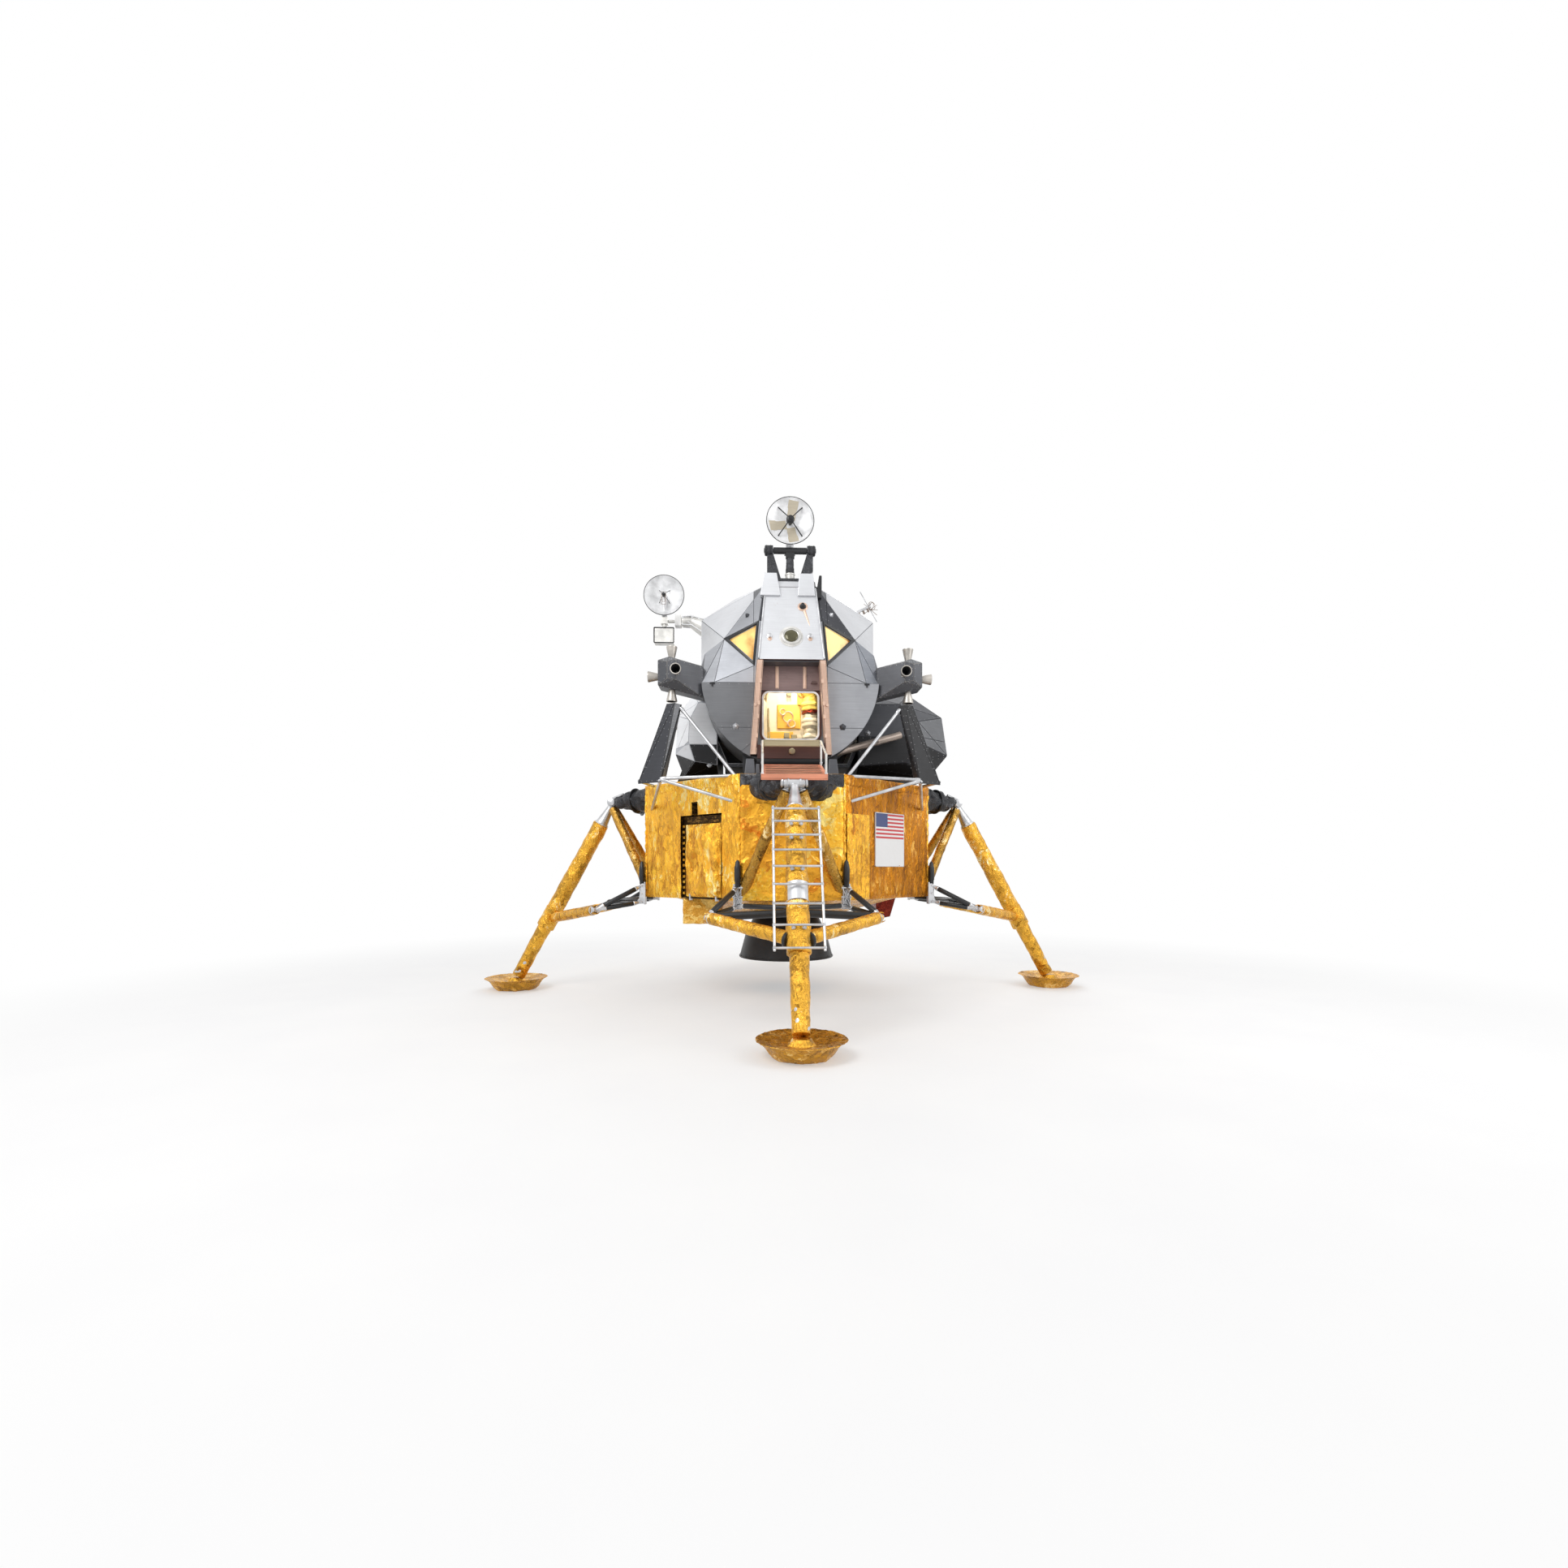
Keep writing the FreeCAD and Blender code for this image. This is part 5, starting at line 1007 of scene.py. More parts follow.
@dataclass
class DescentStage(SubAssembly):
    """Foil blankets, pallet, sign plate and base of the descent stage."""

    floor: float = 1.473
    top: float = 3.124
    skin_reach: float = 2.108
    corner_reach: float = 1.9757
    leg_half: float = 0.686
    corner_half: float = 1.0055

    def blankets(self) -> None:
        """Covers the eight upright faces."""
        for side, degrees in SIDES.items():
            FoilBlanket(f"{side}_blanket", degrees, self.skin_reach, (-self.leg_half, self.floor),
                (self.leg_half, self.top), Skin.BRIGHT_GOLD, 0.016, 0.03, 0.42, (1, 1, 0.75)).build()
        bay = (-0.177, self.floor - 0.05, 0.691, 2.63)
        release_slot = (0.065, 2.6, 0.195, 2.81)
        behind_sign = (-0.345, 1.937, 0.315, 2.647)
        # The front right face takes the darker gold as painted shade.
        for name, degrees, skin, holes in (("front_left", -45, Skin.STREAKED_GOLD, (bay, release_slot)),
                ("front_right", 45, Skin.SHADED_RIGHT_GOLD, (behind_sign,)), ("back_right", 135, Skin.STREAKED_GOLD,
                ()), ("back_left", 225, Skin.STREAKED_GOLD, ())):
            FoilBlanket(f"{name}_blanket", degrees, self.corner_reach, (-self.corner_half, self.floor),
                (self.corner_half, self.top), skin, openings=holes).build()

    def panels(self) -> None:
        """Adds the raised blankets of the front right corner and the folded strips down each corner."""
        FoilBlanket("front_right_raised_blanket", 45.0, self.corner_reach + 0.03, (-0.99, 1.475),
            (-0.5, 2.613), Skin.STREAKED_GOLD, 0.014, 0.022, 0.16, (1, 1, 1.6), 0.03).build()
        for number in range(8):
            self.corner_strip(number)
        for side, degrees in SIDES.items():
            FoilBlanket(f"{side}_dark_band", degrees, self.skin_reach + 0.016,
                (-self.leg_half + 0.01, self.top - 0.17), (self.leg_half - 0.01, self.top - 0.004),
                Skin.BLACK_WRAP, 0.014, 0.03, 0.14, (1, 1, 1), 0.03).build()
        # The front right head band takes the darker gold as painted shade.
        for name, degrees, skin in (("front_left", -45, Skin.STREAKED_GOLD),
                ("front_right", 45, Skin.SHADED_RIGHT_GOLD)):
            FoilBlanket(f"{name}_head_band", degrees, self.corner_reach + 0.016,
                (-self.corner_half, self.top - 0.14), (self.corner_half, self.top - 0.004), skin, 0.014,
                0.018, 0.1, (1, 1, 1.4), 0.02).build()

    def corner_strip(self, number: int) -> None:
        """A lumpy rolled foil strip down one corner of the octagon.

        Args:
            number: which corner, 0 to 7.
        """
        reach = math.hypot(self.skin_reach, self.leg_half)
        half = math.degrees(math.atan2(self.leg_half, self.skin_reach))
        turn = math.radians(-90.0 + (half if number % 2 else -half) + 90.0 * (number // 2))
        spot = (reach * math.cos(turn), reach * math.sin(turn))
        piece = bar(f"corner_strip_{number + 1}", (*spot, self.floor + 0.01), (*spot, self.top - 0.01),
            0.017, 0.017, 14, 90)
        crumple(piece, "VORONOI", 0.05, 0.022, 0.4)
        dress(smooth(piece, 30.0), Skin.STREAKED_GOLD, "descent_skin")

    def pallet(self) -> None:
        """Wraps the equipment pallet in foil and hangs dark quilted lining behind it."""
        outer = FoilBlanket("pallet_blanket", -45.0, self.corner_reach + 0.02, (-0.045, 1.505),
            (0.681, 2.498), Skin.STREAKED_GOLD, 0.013, 0.055, 0.24, (1, 1, 1.5), 0.06).build()
        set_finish(outer, "gold_foil")
        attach(outer, "pallet")
        face = -self.corner_reach + 0.035
        lining = [block("lining", (-0.17, face, 1.5), (-0.062, face + 0.012, 2.618), 0.002),
            block("lining", (-0.062, face, 2.512), (0.684, face + 0.012, 2.618), 0.002)]
        tabs = [block("tab", (-0.17, face - 0.022, 1.53 + 0.078 * step),
            (-0.128, face + 0.002, 1.565 + 0.078 * step), 0.003) for step in range(13)]
        for name, group, skin in (("bay_lining", lining, Skin.BAY_FOIL),
                ("bay_tabs", tabs, Skin.STREAKED_GOLD)):
            piece = joined(name, group)
            piece.rotation_euler = (0, 0, math.radians(-45.0))
            dress(applied(piece), skin, "descent_skin")

    def sign(self) -> None:
        """The plate and the rim round it."""
        (left, bottom), (right, top) = (-0.365, 1.917), (0.335, 2.667)
        face, wide, lap = -self.corner_reach - 0.03, 0.012, 0.006
        plate = block("sign_face", (left + lap, face - 0.004, bottom + lap),
            (right - lap, face + 0.012, top - lap), 0.003)
        rim = joined("sign_rim", [block("rim", (west, face - 0.006, low), (east, face + 0.01, high),
            0.002) for west, low, east, high in ((left, bottom, right, bottom + wide),
            (left, top - wide, right, top), (left, bottom, left + wide, top),
            (right - wide, bottom, right, top))])
        for piece, skin in ((plate, Skin.BANNER), (rim, Skin.WHITE_SHEET)):
            piece.rotation_euler = (0, 0, math.radians(45.0))
            applied(piece)
            dress(piece, skin, "sign_plate")

    def base(self) -> None:
        """The crumpled box under the stage."""
        piece = block("belly_box_1", (-1.5, -1.31, 1.115), (-0.98, -0.68, 1.49), 0.01)
        edit(piece, action="SELECT")
        bpy.ops.mesh.subdivide(number_cuts=14)
        crumple(done(), "VORONOI", 0.09, 0.02, 0.5)
        dress(smooth(piece, 30.0), Skin.BELLY_GOLD, "gold_foil")

    def build(self) -> None:
        """Builds and dresses the stage."""
        self.repaint({"descent_structure": Skin.BAY_FOIL,
            "base_heat_shield": Skin.BELLY_GOLD, "equipment_pallet": Skin.STREAKED_GOLD,
            "pallet_hinge": Skin.BARE_METAL, "landing_radar": Skin.RED_FOIL,
            "sign_plate": Skin.WHITE_SHEET, "descent_nozzle": Skin.BELL_DARK,
            "descent_engine_chamber": Skin.BARE_METAL, "gimbal_ring": Skin.BARE_METAL,
            "gimbal_bearings": Skin.BARE_METAL})
        self.blankets()
        self.panels()
        self.pallet()
        self.sign()
        self.base()


# ---------------------------------------- landing gear

@dataclass
class Sleeve:
    """Foil wrapped round a strut, with tucks pushed out of it."""

    name: str
    start: Point
    end: Point
    radius: float
    end_radius: float
    skin: Skin
    tuck: float = 0.016
    crease: float = 0.07
    sides: int = 44

    def build(self) -> Piece:
        """Makes the sleeve as a ringed bar and pushes tucks out of it.

        Returns:
            The sleeve.
        """
        length = (Vector(self.end) - Vector(self.start)).length
        rings = max(6, round(length / 0.02))
        piece = bar(self.name, self.start, self.end, self.radius, self.end_radius, self.sides, rings)
        crumple(piece, "CLOUDS", self.crease * 2.2, self.tuck * 1.1, 0.25)
        crumple(piece, "VORONOI", self.crease, self.tuck, 0.25)
        return dress(smooth(piece, 26.0), self.skin, "gold_foil")


@dataclass
class LandingLeg(SubAssembly):
    """One leg, modelled at the front and copied to the other three sides."""

    apex: Point = (0, -2.745, 2.93)
    ankle: Point = (0, -4.2545, 0.15)
    collar_up: float = 1.11
    truss_reach: float = 2.77
    truss_up: float = 1.3
    truss_half: float = 1.06
    bracket_half: float = 0.705
    bracket_reach: float = 2.17
    patterns: list[tuple[Piece, str, str]] = field(default_factory=list)

    def along(self, height: float, out: float = 0.0) -> Point:
        """The point on the strut's axis at a height, set off outwards.

        Args:
            height: height above the ground.
            out: distance in front of the axis.

        Returns:
            The point.
        """
        share = (self.apex[2] - height) / (self.apex[2] - self.ankle[2])
        return (0, self.apex[1] + (self.ankle[1] - self.apex[1]) * share - out, height)

    def footpad(self) -> None:
        """The crumpled foil-covered dish that the leg stands on."""
        profile = [(0, 0.3)]
        profile += [(0.006 + 0.17 * math.sin(math.radians(angle)) ** 1.4, 0.305 + 0.168 * (angle / 90.0))
            for angle in range(6, 91, 6)]
        profile += [(0.186, 0.47), (0.19, 0.462)]
        profile += [(0.188 - 0.075 * (part / 10) ** 1.3, 0.455 - 0.375 * part / 10) for part in range(1, 11)]
        centre = (0, self.ankle[1], 0)
        pad = turned("footpad", centre, (0, self.ankle[1], 1), profile, 96)
        crumple(pad, "CLOUDS", 0.12, 0.02, 0.75)
        crumple(pad, "VORONOI", 0.06, 0.012, 0.75)
        smooth(pad, 26.0)
        self.keep(dress(pad, Skin.PAD_GOLD, "pad_foil"), "footpad")
        ball = turned("ankle", (0, self.ankle[1], 0.095), (0, self.ankle[1], 1),
            [(0, 0.15), (0.02, 0.152), (0.035, 0.135), (0.05, 0.12), (0.075, 0.105), (0.09, 0.09)], 40)
        crumple(ball, "VORONOI", 0.05, 0.012, 0.4)
        self.keep(dress(ball, Skin.LEG_GOLD, "gold_foil"))

    def keep(self, piece: Piece, node: str = "") -> None:
        """Remembers a front piece, its name and the node that it stands for."""
        self.patterns.append((piece, piece.name, node))

    def main_strut(self) -> None:
        """Wrapped outer and inner cylinders, the collar's black half rings and the clamps."""
        collar = self.along(self.collar_up)
        self.keep(Sleeve("upper_sleeve", self.along(2.585), self.along(self.collar_up + 0.06), 0.113,
            0.117, Skin.LEG_GOLD, tuck=0.016, crease=0.15).build())
        self.keep(Sleeve("lower_sleeve", self.along(self.collar_up + 0.05), self.along(0.215), 0.1,
            0.092, Skin.LEG_GOLD, tuck=0.014, crease=0.14).build())
        self.keep(Sleeve("waist_sleeve", self.along(self.collar_up + 0.15),
            self.along(self.collar_up - 0.13), 0.13, 0.126, Skin.LEG_GOLD, tuck=0.015, crease=0.12).build())
        low, high = self.along(2.588), self.along(2.612)
        self.keep(dress(bar("head_clamp", low, high, 0.112, 0.112, 40), Skin.BARE_METAL, "bare_alloy"))
        for side, label in HANDS:
            start = (side * 0.095, collar[1] + 0.012, collar[2] + 0.002)
            end = (side * 0.175, collar[1] + 0.075, collar[2] + 0.016)
            self.keep(dress(turned(f"joint_ring_{label}", start, end, [(0, 0.058), (0.012, 0.086),
                (0.03, 0.094), (0.05, 0.088), (0.062, 0.066)], 36), Skin.BLACK_TUBE, "black_tube"))

    def side_struts(self) -> None:
        """The two wrapped lower struts that spread from the collar to the truss."""
        collar = Vector(self.along(self.collar_up))
        for side, label in HANDS:
            end = Vector((side * self.truss_half, -self.truss_reach, self.truss_up))
            run = end - collar
            piece = Sleeve(f"{label}_side_sleeve", collar + run * 0.105, collar + run * 0.945, 0.071,
                0.066, Skin.LEG_GOLD, tuck=0.012, crease=0.11, sides=36).build()
            self.keep(piece)
            self.keep(dress(turned(f"{label}_side_cap", collar + run * 0.94, end,
                [(0, 0.07), (0.012, 0.072), (0.04, 0.06), (0.075, 0.04), (0.095, 0.036)], 28),
                Skin.BARE_METAL, "bare_alloy"))

    def truss(self) -> None:
        """The folding truss: black tubes with alloy ends between the skirt and the side struts."""
        front = Vector((0, -self.truss_reach, self.truss_up))
        for side, label in HANDS:
            tip = Vector((side * self.truss_half, -self.truss_reach, self.truss_up))
            low = Vector((side * self.bracket_half, -self.bracket_reach, 1.395))
            high = Vector((side * self.bracket_half, -self.bracket_reach, 1.64))
            self.tube(f"{label}_upper_stay", high, tip, 0.036, 0.12, 0.13)
            self.tube(f"{label}_lower_stay", low, tip, 0.034, 0.14, 0.15)
            self.tube(f"{label}_front_bar", tip, front + Vector((side * 0.02, 0, 0.055)), 0.05, 0.12,
                0.0, 0.028)
            self.tube(f"{label}_cross_bar", low + Vector((0, 0, 0.015)),
                Vector((side * 0.02, -self.truss_reach + 0.16, self.truss_up + 0.1)), 0.034, 0.1, 0.0)
            self.bracket(label, side)
        self.keep(dress(bar("truss_hub", front + Vector((-0.13, 0, 0.055)),
            front + Vector((0.13, 0, 0.055)), 0.056, 0.056, 28, 4), Skin.BLACK_TUBE, "black_tube"))
        self.keep(dress(bar("truss_link", front + Vector((0, 0, 0.055)),
            (0, -self.truss_reach + 0.17, self.truss_up + 0.1), 0.03, 0.03, 20, 2),
            Skin.BLACK_TUBE, "black_tube"))

    def tube(self, name: str, start: Vector, end: Vector, radius: float, first: float, last: float,
            end_radius: float | None = None) -> None:
        """A black tube with a tapered alloy fitting at each end that has a length.

        Args:
            name: what it is called.
            start: where it starts.
            end: where it ends.
            radius: the tube's radius.
            first: length of the fitting at the start, in metres.
            last: length of the fitting at the end.
            end_radius: radius of the fittings' tips.
        """
        run = (end - start).normalized()
        tip = end_radius or radius * 0.62
        body_start, body_end = start + run * first, end - run * last
        self.keep(dress(turned(name, body_start, body_end, [(0, radius * 0.9), (0.006, radius),
            ((body_end - body_start).length - 0.006, radius), ((body_end - body_start).length,
            radius * 0.9)], 28), Skin.BLACK_TUBE, "black_tube"))
        for label, foot, head, length in (("a", body_start, start, first), ("b", body_end, end, last)):
            if length:
                self.keep(dress(turned(f"{name}_fitting_{label}", foot, head,
                    [(0, radius * 0.88), (0.01, radius * 1.04), (0.02, radius * 0.96), (length * 0.55, tip),
                    (length, tip * 0.96)], 24), Skin.BARE_METAL, "bare_alloy"))

    def bracket(self, label: str, side: float) -> None:
        """The alloy bracket on the skirt with its black spring housing.

        Args:
            label: "left" or "right".
            side: -1 for left, 1 for right.
        """
        x, reach = side * self.bracket_half, self.bracket_reach
        plates = [block("cheek", (x + shift - 0.005, -reach - 0.05, 1.372),
            (x + shift + 0.005, -reach + 0.056, 1.668), 0.003, (1, 0.55, 0.018)) for shift in (-0.042, 0.042)]
        plates.append(block("foot", (x - 0.058, -reach + 0.036, 1.36),
            (x + 0.058, -reach + 0.058, 1.69), 0.004))
        plates += [bar("pin", (x - 0.066, -reach - 0.004, height), (x + 0.066, -reach - 0.004, height),
            0.016, 0.016, 20) for height in (1.395, 1.52, 1.64)]
        plates += [bar("lattice", (x - 0.052, -reach - 0.03, low), (x + 0.052, -reach - 0.03, high),
            0.0075, 0.0075, 12) for low, high in ((1.4, 1.635), (1.635, 1.4))]
        self.keep(dress(joined(f"{label}_bracket", plates), Skin.BARE_METAL, "bare_alloy"), "folding_truss")
        self.keep(dress(turned(f"{label}_spring_housing", (x, -reach - 0.002, 1.655),
            (x, -reach - 0.002, 2), [(0, 0.026), (0.01, 0.034), (0.06, 0.036), (0.07, 0.043),
            (0.255, 0.043), (0.268, 0.036), (0.32, 0.028), (0.336, 0.016), (0.345, 0.014)], 28),
            Skin.BLACK_TUBE, "black_tube"))

    def outriggers(self) -> None:
        """The wrapped cones that carry the apex and the two slanting braces below them."""
        for side, label in HANDS:
            root, tip = Vector((side * 0.4, -2.04, 2.95)), Vector((side * 0.072, -2.735, 2.935))
            run = tip - root
            rings = [(0, 0.15)] + [(run.length * part / 40, 0.205 - 0.016 * math.sin(part * 0.55)
                - 0.145 * (part / 40) ** 1.9) for part in range(1, 41)]
            cone = turned(f"{label}_outrigger", root, tip, rings, 56)
            crumple(cone, "CLOUDS", 0.22, 0.085, 0.5)
            crumple(cone, "VORONOI", 0.13, 0.045, 0.5)
            edit(cone, action="SELECT")
            bpy.ops.transform.resize(value=(1.04, 1, 0.84), center_override=(side * 0.3, -2.3, 2.985))
            smooth(done(), 30.0)
            self.keep(dress(cone, Skin.BLACK_WRAP, "dark_wrap"), "outriggers")
            self.keep(dress(turned(f"{label}_outrigger_band", root + run * 0.4, tip,
                [(0, 0.176), (0.008, 0.192), (0.022, 0.192), (0.03, 0.176)], 44), Skin.BLACK_TUBE,
                "dark_wrap"))
            foot, head = (side * 0.655, -2.068, 1.56), (side * 0.1, -2.722, 2.825)
            self.keep(Sleeve(f"{label}_brace_sleeve", foot, head, 0.066, 0.058, Skin.BRACE_GOLD,
                tuck=0.011, crease=0.12, sides=36).build())
            self.keep(dress(turned(f"{label}_brace_tip", head, (side * 0.082, -2.715, 2.87),
                [(0, 0.05), (0.01, 0.053), (0.04, 0.036), (0.075, 0.03)], 24), Skin.BARE_METAL, "bare_alloy"))

    def apex_fittings(self) -> None:
        """Ribbed alloy joints round the apex."""
        parts = []
        for side in (-1, 1):
            parts += [turned("collar", (side * 0.055, self.apex[1], self.apex[2]),
                (side * 0.2, self.apex[1], self.apex[2] + 0.01), [(0, 0.052), (0.01, 0.072), (0.03, 0.074),
                (0.045, 0.056), (0.075, 0.05), (0.085, 0.062), (0.105, 0.058), (0.115, 0.03)], 32),
                bar("arm", (side * 0.1, self.apex[1] + 0.01, self.apex[2] + 0.055),
                (side * 0.3, self.apex[1] + 0.22, self.apex[2] + 0.115), 0.024, 0.017, 18, 4),
                bar("arm", (side * 0.07, self.apex[1] - 0.01, self.apex[2] - 0.05),
                (side * 0.13, self.apex[1] + 0.06, self.apex[2] - 0.17), 0.022, 0.016, 18, 4)]
        parts.append(turned("boss", self.along(2.9), self.along(2.6), [(0, 0.048), (0.02, 0.056),
            (0.035, 0.046), (0.2, 0.075), (0.315, 0.095), (0.335, 0.106), (0.342, 0.1)], 36))
        self.keep(dress(joined("apex_fittings", parts), Skin.BARE_METAL, "bare_alloy"))

    def build(self) -> None:
        """Builds the front leg and copies it to the other three sides."""
        for make in (self.footpad, self.main_strut, self.side_struts, self.truss, self.outriggers,
                self.apex_fittings):
            make()
        for side, degrees in SIDES.items():
            self.repaint({f"{side}_main_strut": Skin.BARE_METAL,
                f"{side}_side_struts": Skin.LEG_GOLD,
                f"{side}_footpad": Skin.PAD_GOLD,
                f"{side}_folding_truss": Skin.BLACK_TUBE, f"{side}_outriggers": Skin.BLACK_WRAP})
            for pattern, name, node in self.patterns:
                twin = pattern if side == "front" else copied(pattern, "turned", degrees)
                twin.name = f"{side}_{name}"
                if name.startswith("joint_ring") and side != "front":
                    dress(twin, Skin.LEG_GOLD, "gold_foil")
                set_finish(twin, twin["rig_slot"])
                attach(twin, ROOT)
                if node:
                    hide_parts(f"{side}_{node}")


@dataclass
class Ladder(SubAssembly):
    """Clips and the blank plate that dress the ladder on the front leg."""

    leg: LandingLeg
    standoff: float = 0.19
    half: float = 0.265
    rungs: tuple[float, ...] = (2.585, 2.435, 2.273, 2.1, 1.915, 1.718, 1.51, 1.289, 1.058)
    arm_rungs: tuple[int, ...] = (1, 2, 4, 7)

    def clips(self) -> None:
        """Two eye clips under each rung that an arm holds, and end caps on the rungs."""
        parts = []
        for number in self.arm_rungs:
            spot = self.leg.along(self.rungs[number], self.standoff)
            for side in (-1, 1):
                eye = Vector((side * 0.058, spot[1] + 0.012, spot[2] - 0.028))
                parts += [turned("eye", eye + Vector((0, 0.028, 0)), eye - Vector((0, 0.05, 0)),
                    [(0, 0.016), (0.006, 0.024), (0.026, 0.024), (0.034, 0.015)], 20),
                    block("strap", eye + Vector((-0.012, -0.012, -0.006)),
                    eye + Vector((0.012, 0.008, 0.038)), 0.003)]
        for height in self.rungs:
            spot = self.leg.along(height, self.standoff)
            parts += [turned("cap", (side * (self.half - 0.012), spot[1], height),
                (side * (self.half + 0.05), spot[1], height), [(0, 0.018), (0.006, 0.023), (0.022, 0.023),
                (0.03, 0.016)], 16) for side in (-1, 1)]
        dress(joined("ladder_clips", parts), Skin.BARE_METAL, "bare_alloy")

    def plate(self) -> None:
        """The blank alloy plate curved round the strut between the sixth and the seventh rung."""
        top, foot = self.leg.along(1.7), self.leg.along(1.5)
        profile = [(0, 0.134), (0.004, 0.137), (0.222, 0.137), (0.226, 0.134)]
        piece = turned("strut_plate", top, foot, profile, 72)
        axis = Vector(foot) - Vector(top)
        front = Vector((0, -1, 0)) - axis.normalized() * (-axis.normalized().y)
        edit(piece)
        pick(piece, "faces", lambda face: abs(face.normal.dot(axis.normalized())) < 0.5
            and (face.calc_center_median() - Vector(top)).dot(front.normalized()) < 0.075)
        bpy.ops.mesh.delete(type="FACE")
        pick(piece, "faces", lambda face: len(face.verts) > 8)
        bpy.ops.mesh.delete(type="FACE")
        done()
        dress(outward(thicken(piece, 0.004, 0.0)), Skin.WHITE_SHEET, "bare_alloy")

    def build(self) -> None:
        """Dresses the ladder."""
        self.repaint({"ladder": Skin.BARE_METAL})
        self.clips()
        self.plate()


# ---------------------------------------- ascent stage

def cabin_skin(centre: Vector, normal: Vector) -> Skin | None:
    """The finish of one flat of the crew cabin; the greys change with the side of the cabin and with the way
    a flat faces, as painted light and shade.

    Args:
        centre: the flat's middle.
        normal: the way it faces.

    Returns:
        The finish, or None where the node stays bare.
    """
    # The left and right flats, and flats facing different ways, take different greys: painted light and
    # shade.
    left = centre.x < 0.0
    if centre.y > -0.8 and abs(normal.y) > 0.9:
        return None
    if centre.z < CHEEK_FOOT:
        if normal.y > -0.9 or abs(centre.x) < 0.45:
            return None
        return Skin.GREY_SHEET if left else Skin.ASH_SHEET
    if centre.z > SILL and abs(normal.z) < 0.2 and -0.9 < normal.y < -0.7:
        return Skin.NIGHT_SHEET
    if centre.z < BROW:
        if normal.y < -0.88:
            return Skin.SILVER_SHEET if left else Skin.ASH_SHEET
        return Skin.ASH_SHEET if left else Skin.BLUE_SHEET
    if normal.y < -0.7:
        return Skin.ASH_SHEET if left else Skin.SLATE_SHEET
    return Skin.WHITE_SHEET


def face_skin(centre: Vector, normal: Vector) -> Skin | None:
    """The finish of one flat of the panel between the windows and its jambs; above its foot, flats facing the
    front or up are pale and the others darker, as painted light and shade.

    Args:
        centre: the flat's middle.
        normal: the way it faces.

    Returns:
        The finish, or None where the node stays bare.
    """
    if centre.z > FACE_FOOT:
        return Skin.WHITE_SHEET if normal.y < -0.6 or normal.z > 0.6 else Skin.BLUE_SHEET
    return Skin.COPPER_SHEET if abs(centre.x) > 0.36 else None


def middle_skin(centre: Vector, normal: Vector) -> Skin | None:
    """The finish of one flat of the middle section; flats facing up or above 4.5 m are pale, flats facing
    down near black and the rest dark, as painted light and shade.
    """
    level = Skin.WHITE_SHEET if normal.z > 0.3 or centre.z > 4.5 else Skin.DUSK_SHEET
    return Skin.NIGHT_SHEET if normal.z < -0.5 else level


def left_tank_skin(centre: Vector, normal: Vector) -> Skin | None:
    """The finish of one flat of the left tank fairing; flats facing down, and front flats below the seam, are
    near black as painted shade, and flats above the seam are paler as painted highlight.
    """
    under = normal.z < -0.28 or (normal.y < -0.9 and centre.z < LEFT_TANK_SEAM)
    return Skin.NIGHT_SHEET if under else Skin.WHITE_SHEET if centre.z < LEFT_TANK_SEAM else Skin.PEARL_SHEET


def right_tank_skin(centre: Vector, normal: Vector) -> Skin | None:
    """The finish of one flat of the right tank fairing; flats facing down, and front flats below the seam,
    are near black as painted shade, and flats facing right are lighter than the rest as painted light.
    """
    level = Skin.GREY_SHEET if normal.x > 0.5 and normal.z < 0.3 else Skin.DUSK_SHEET
    return Skin.NIGHT_SHEET if normal.z < -0.25 or (normal.y < -0.9 and centre.z < RIGHT_TANK_SEAM) else level


def aft_skin(centre: Vector, normal: Vector) -> Skin | None:
    """The finish of one flat of the aft equipment bay; flats facing up are silver, flats facing down near
    black and the rest dark, as painted light and shade.
    """
    level = Skin.SILVER_SHEET if normal.z > 0.25 else Skin.DUSK_SHEET
    return Skin.NIGHT_SHEET if normal.z < -0.4 else level


def quad_skin(centre: Vector, normal: Vector) -> Skin | None:
    """The finish of one flat of a thruster housing; flats facing up are a lighter grey than the rest, as
    painted light.
    """
    return Skin.DUSK_SHEET if normal.z < 0.5 else Skin.GREY_SHEET


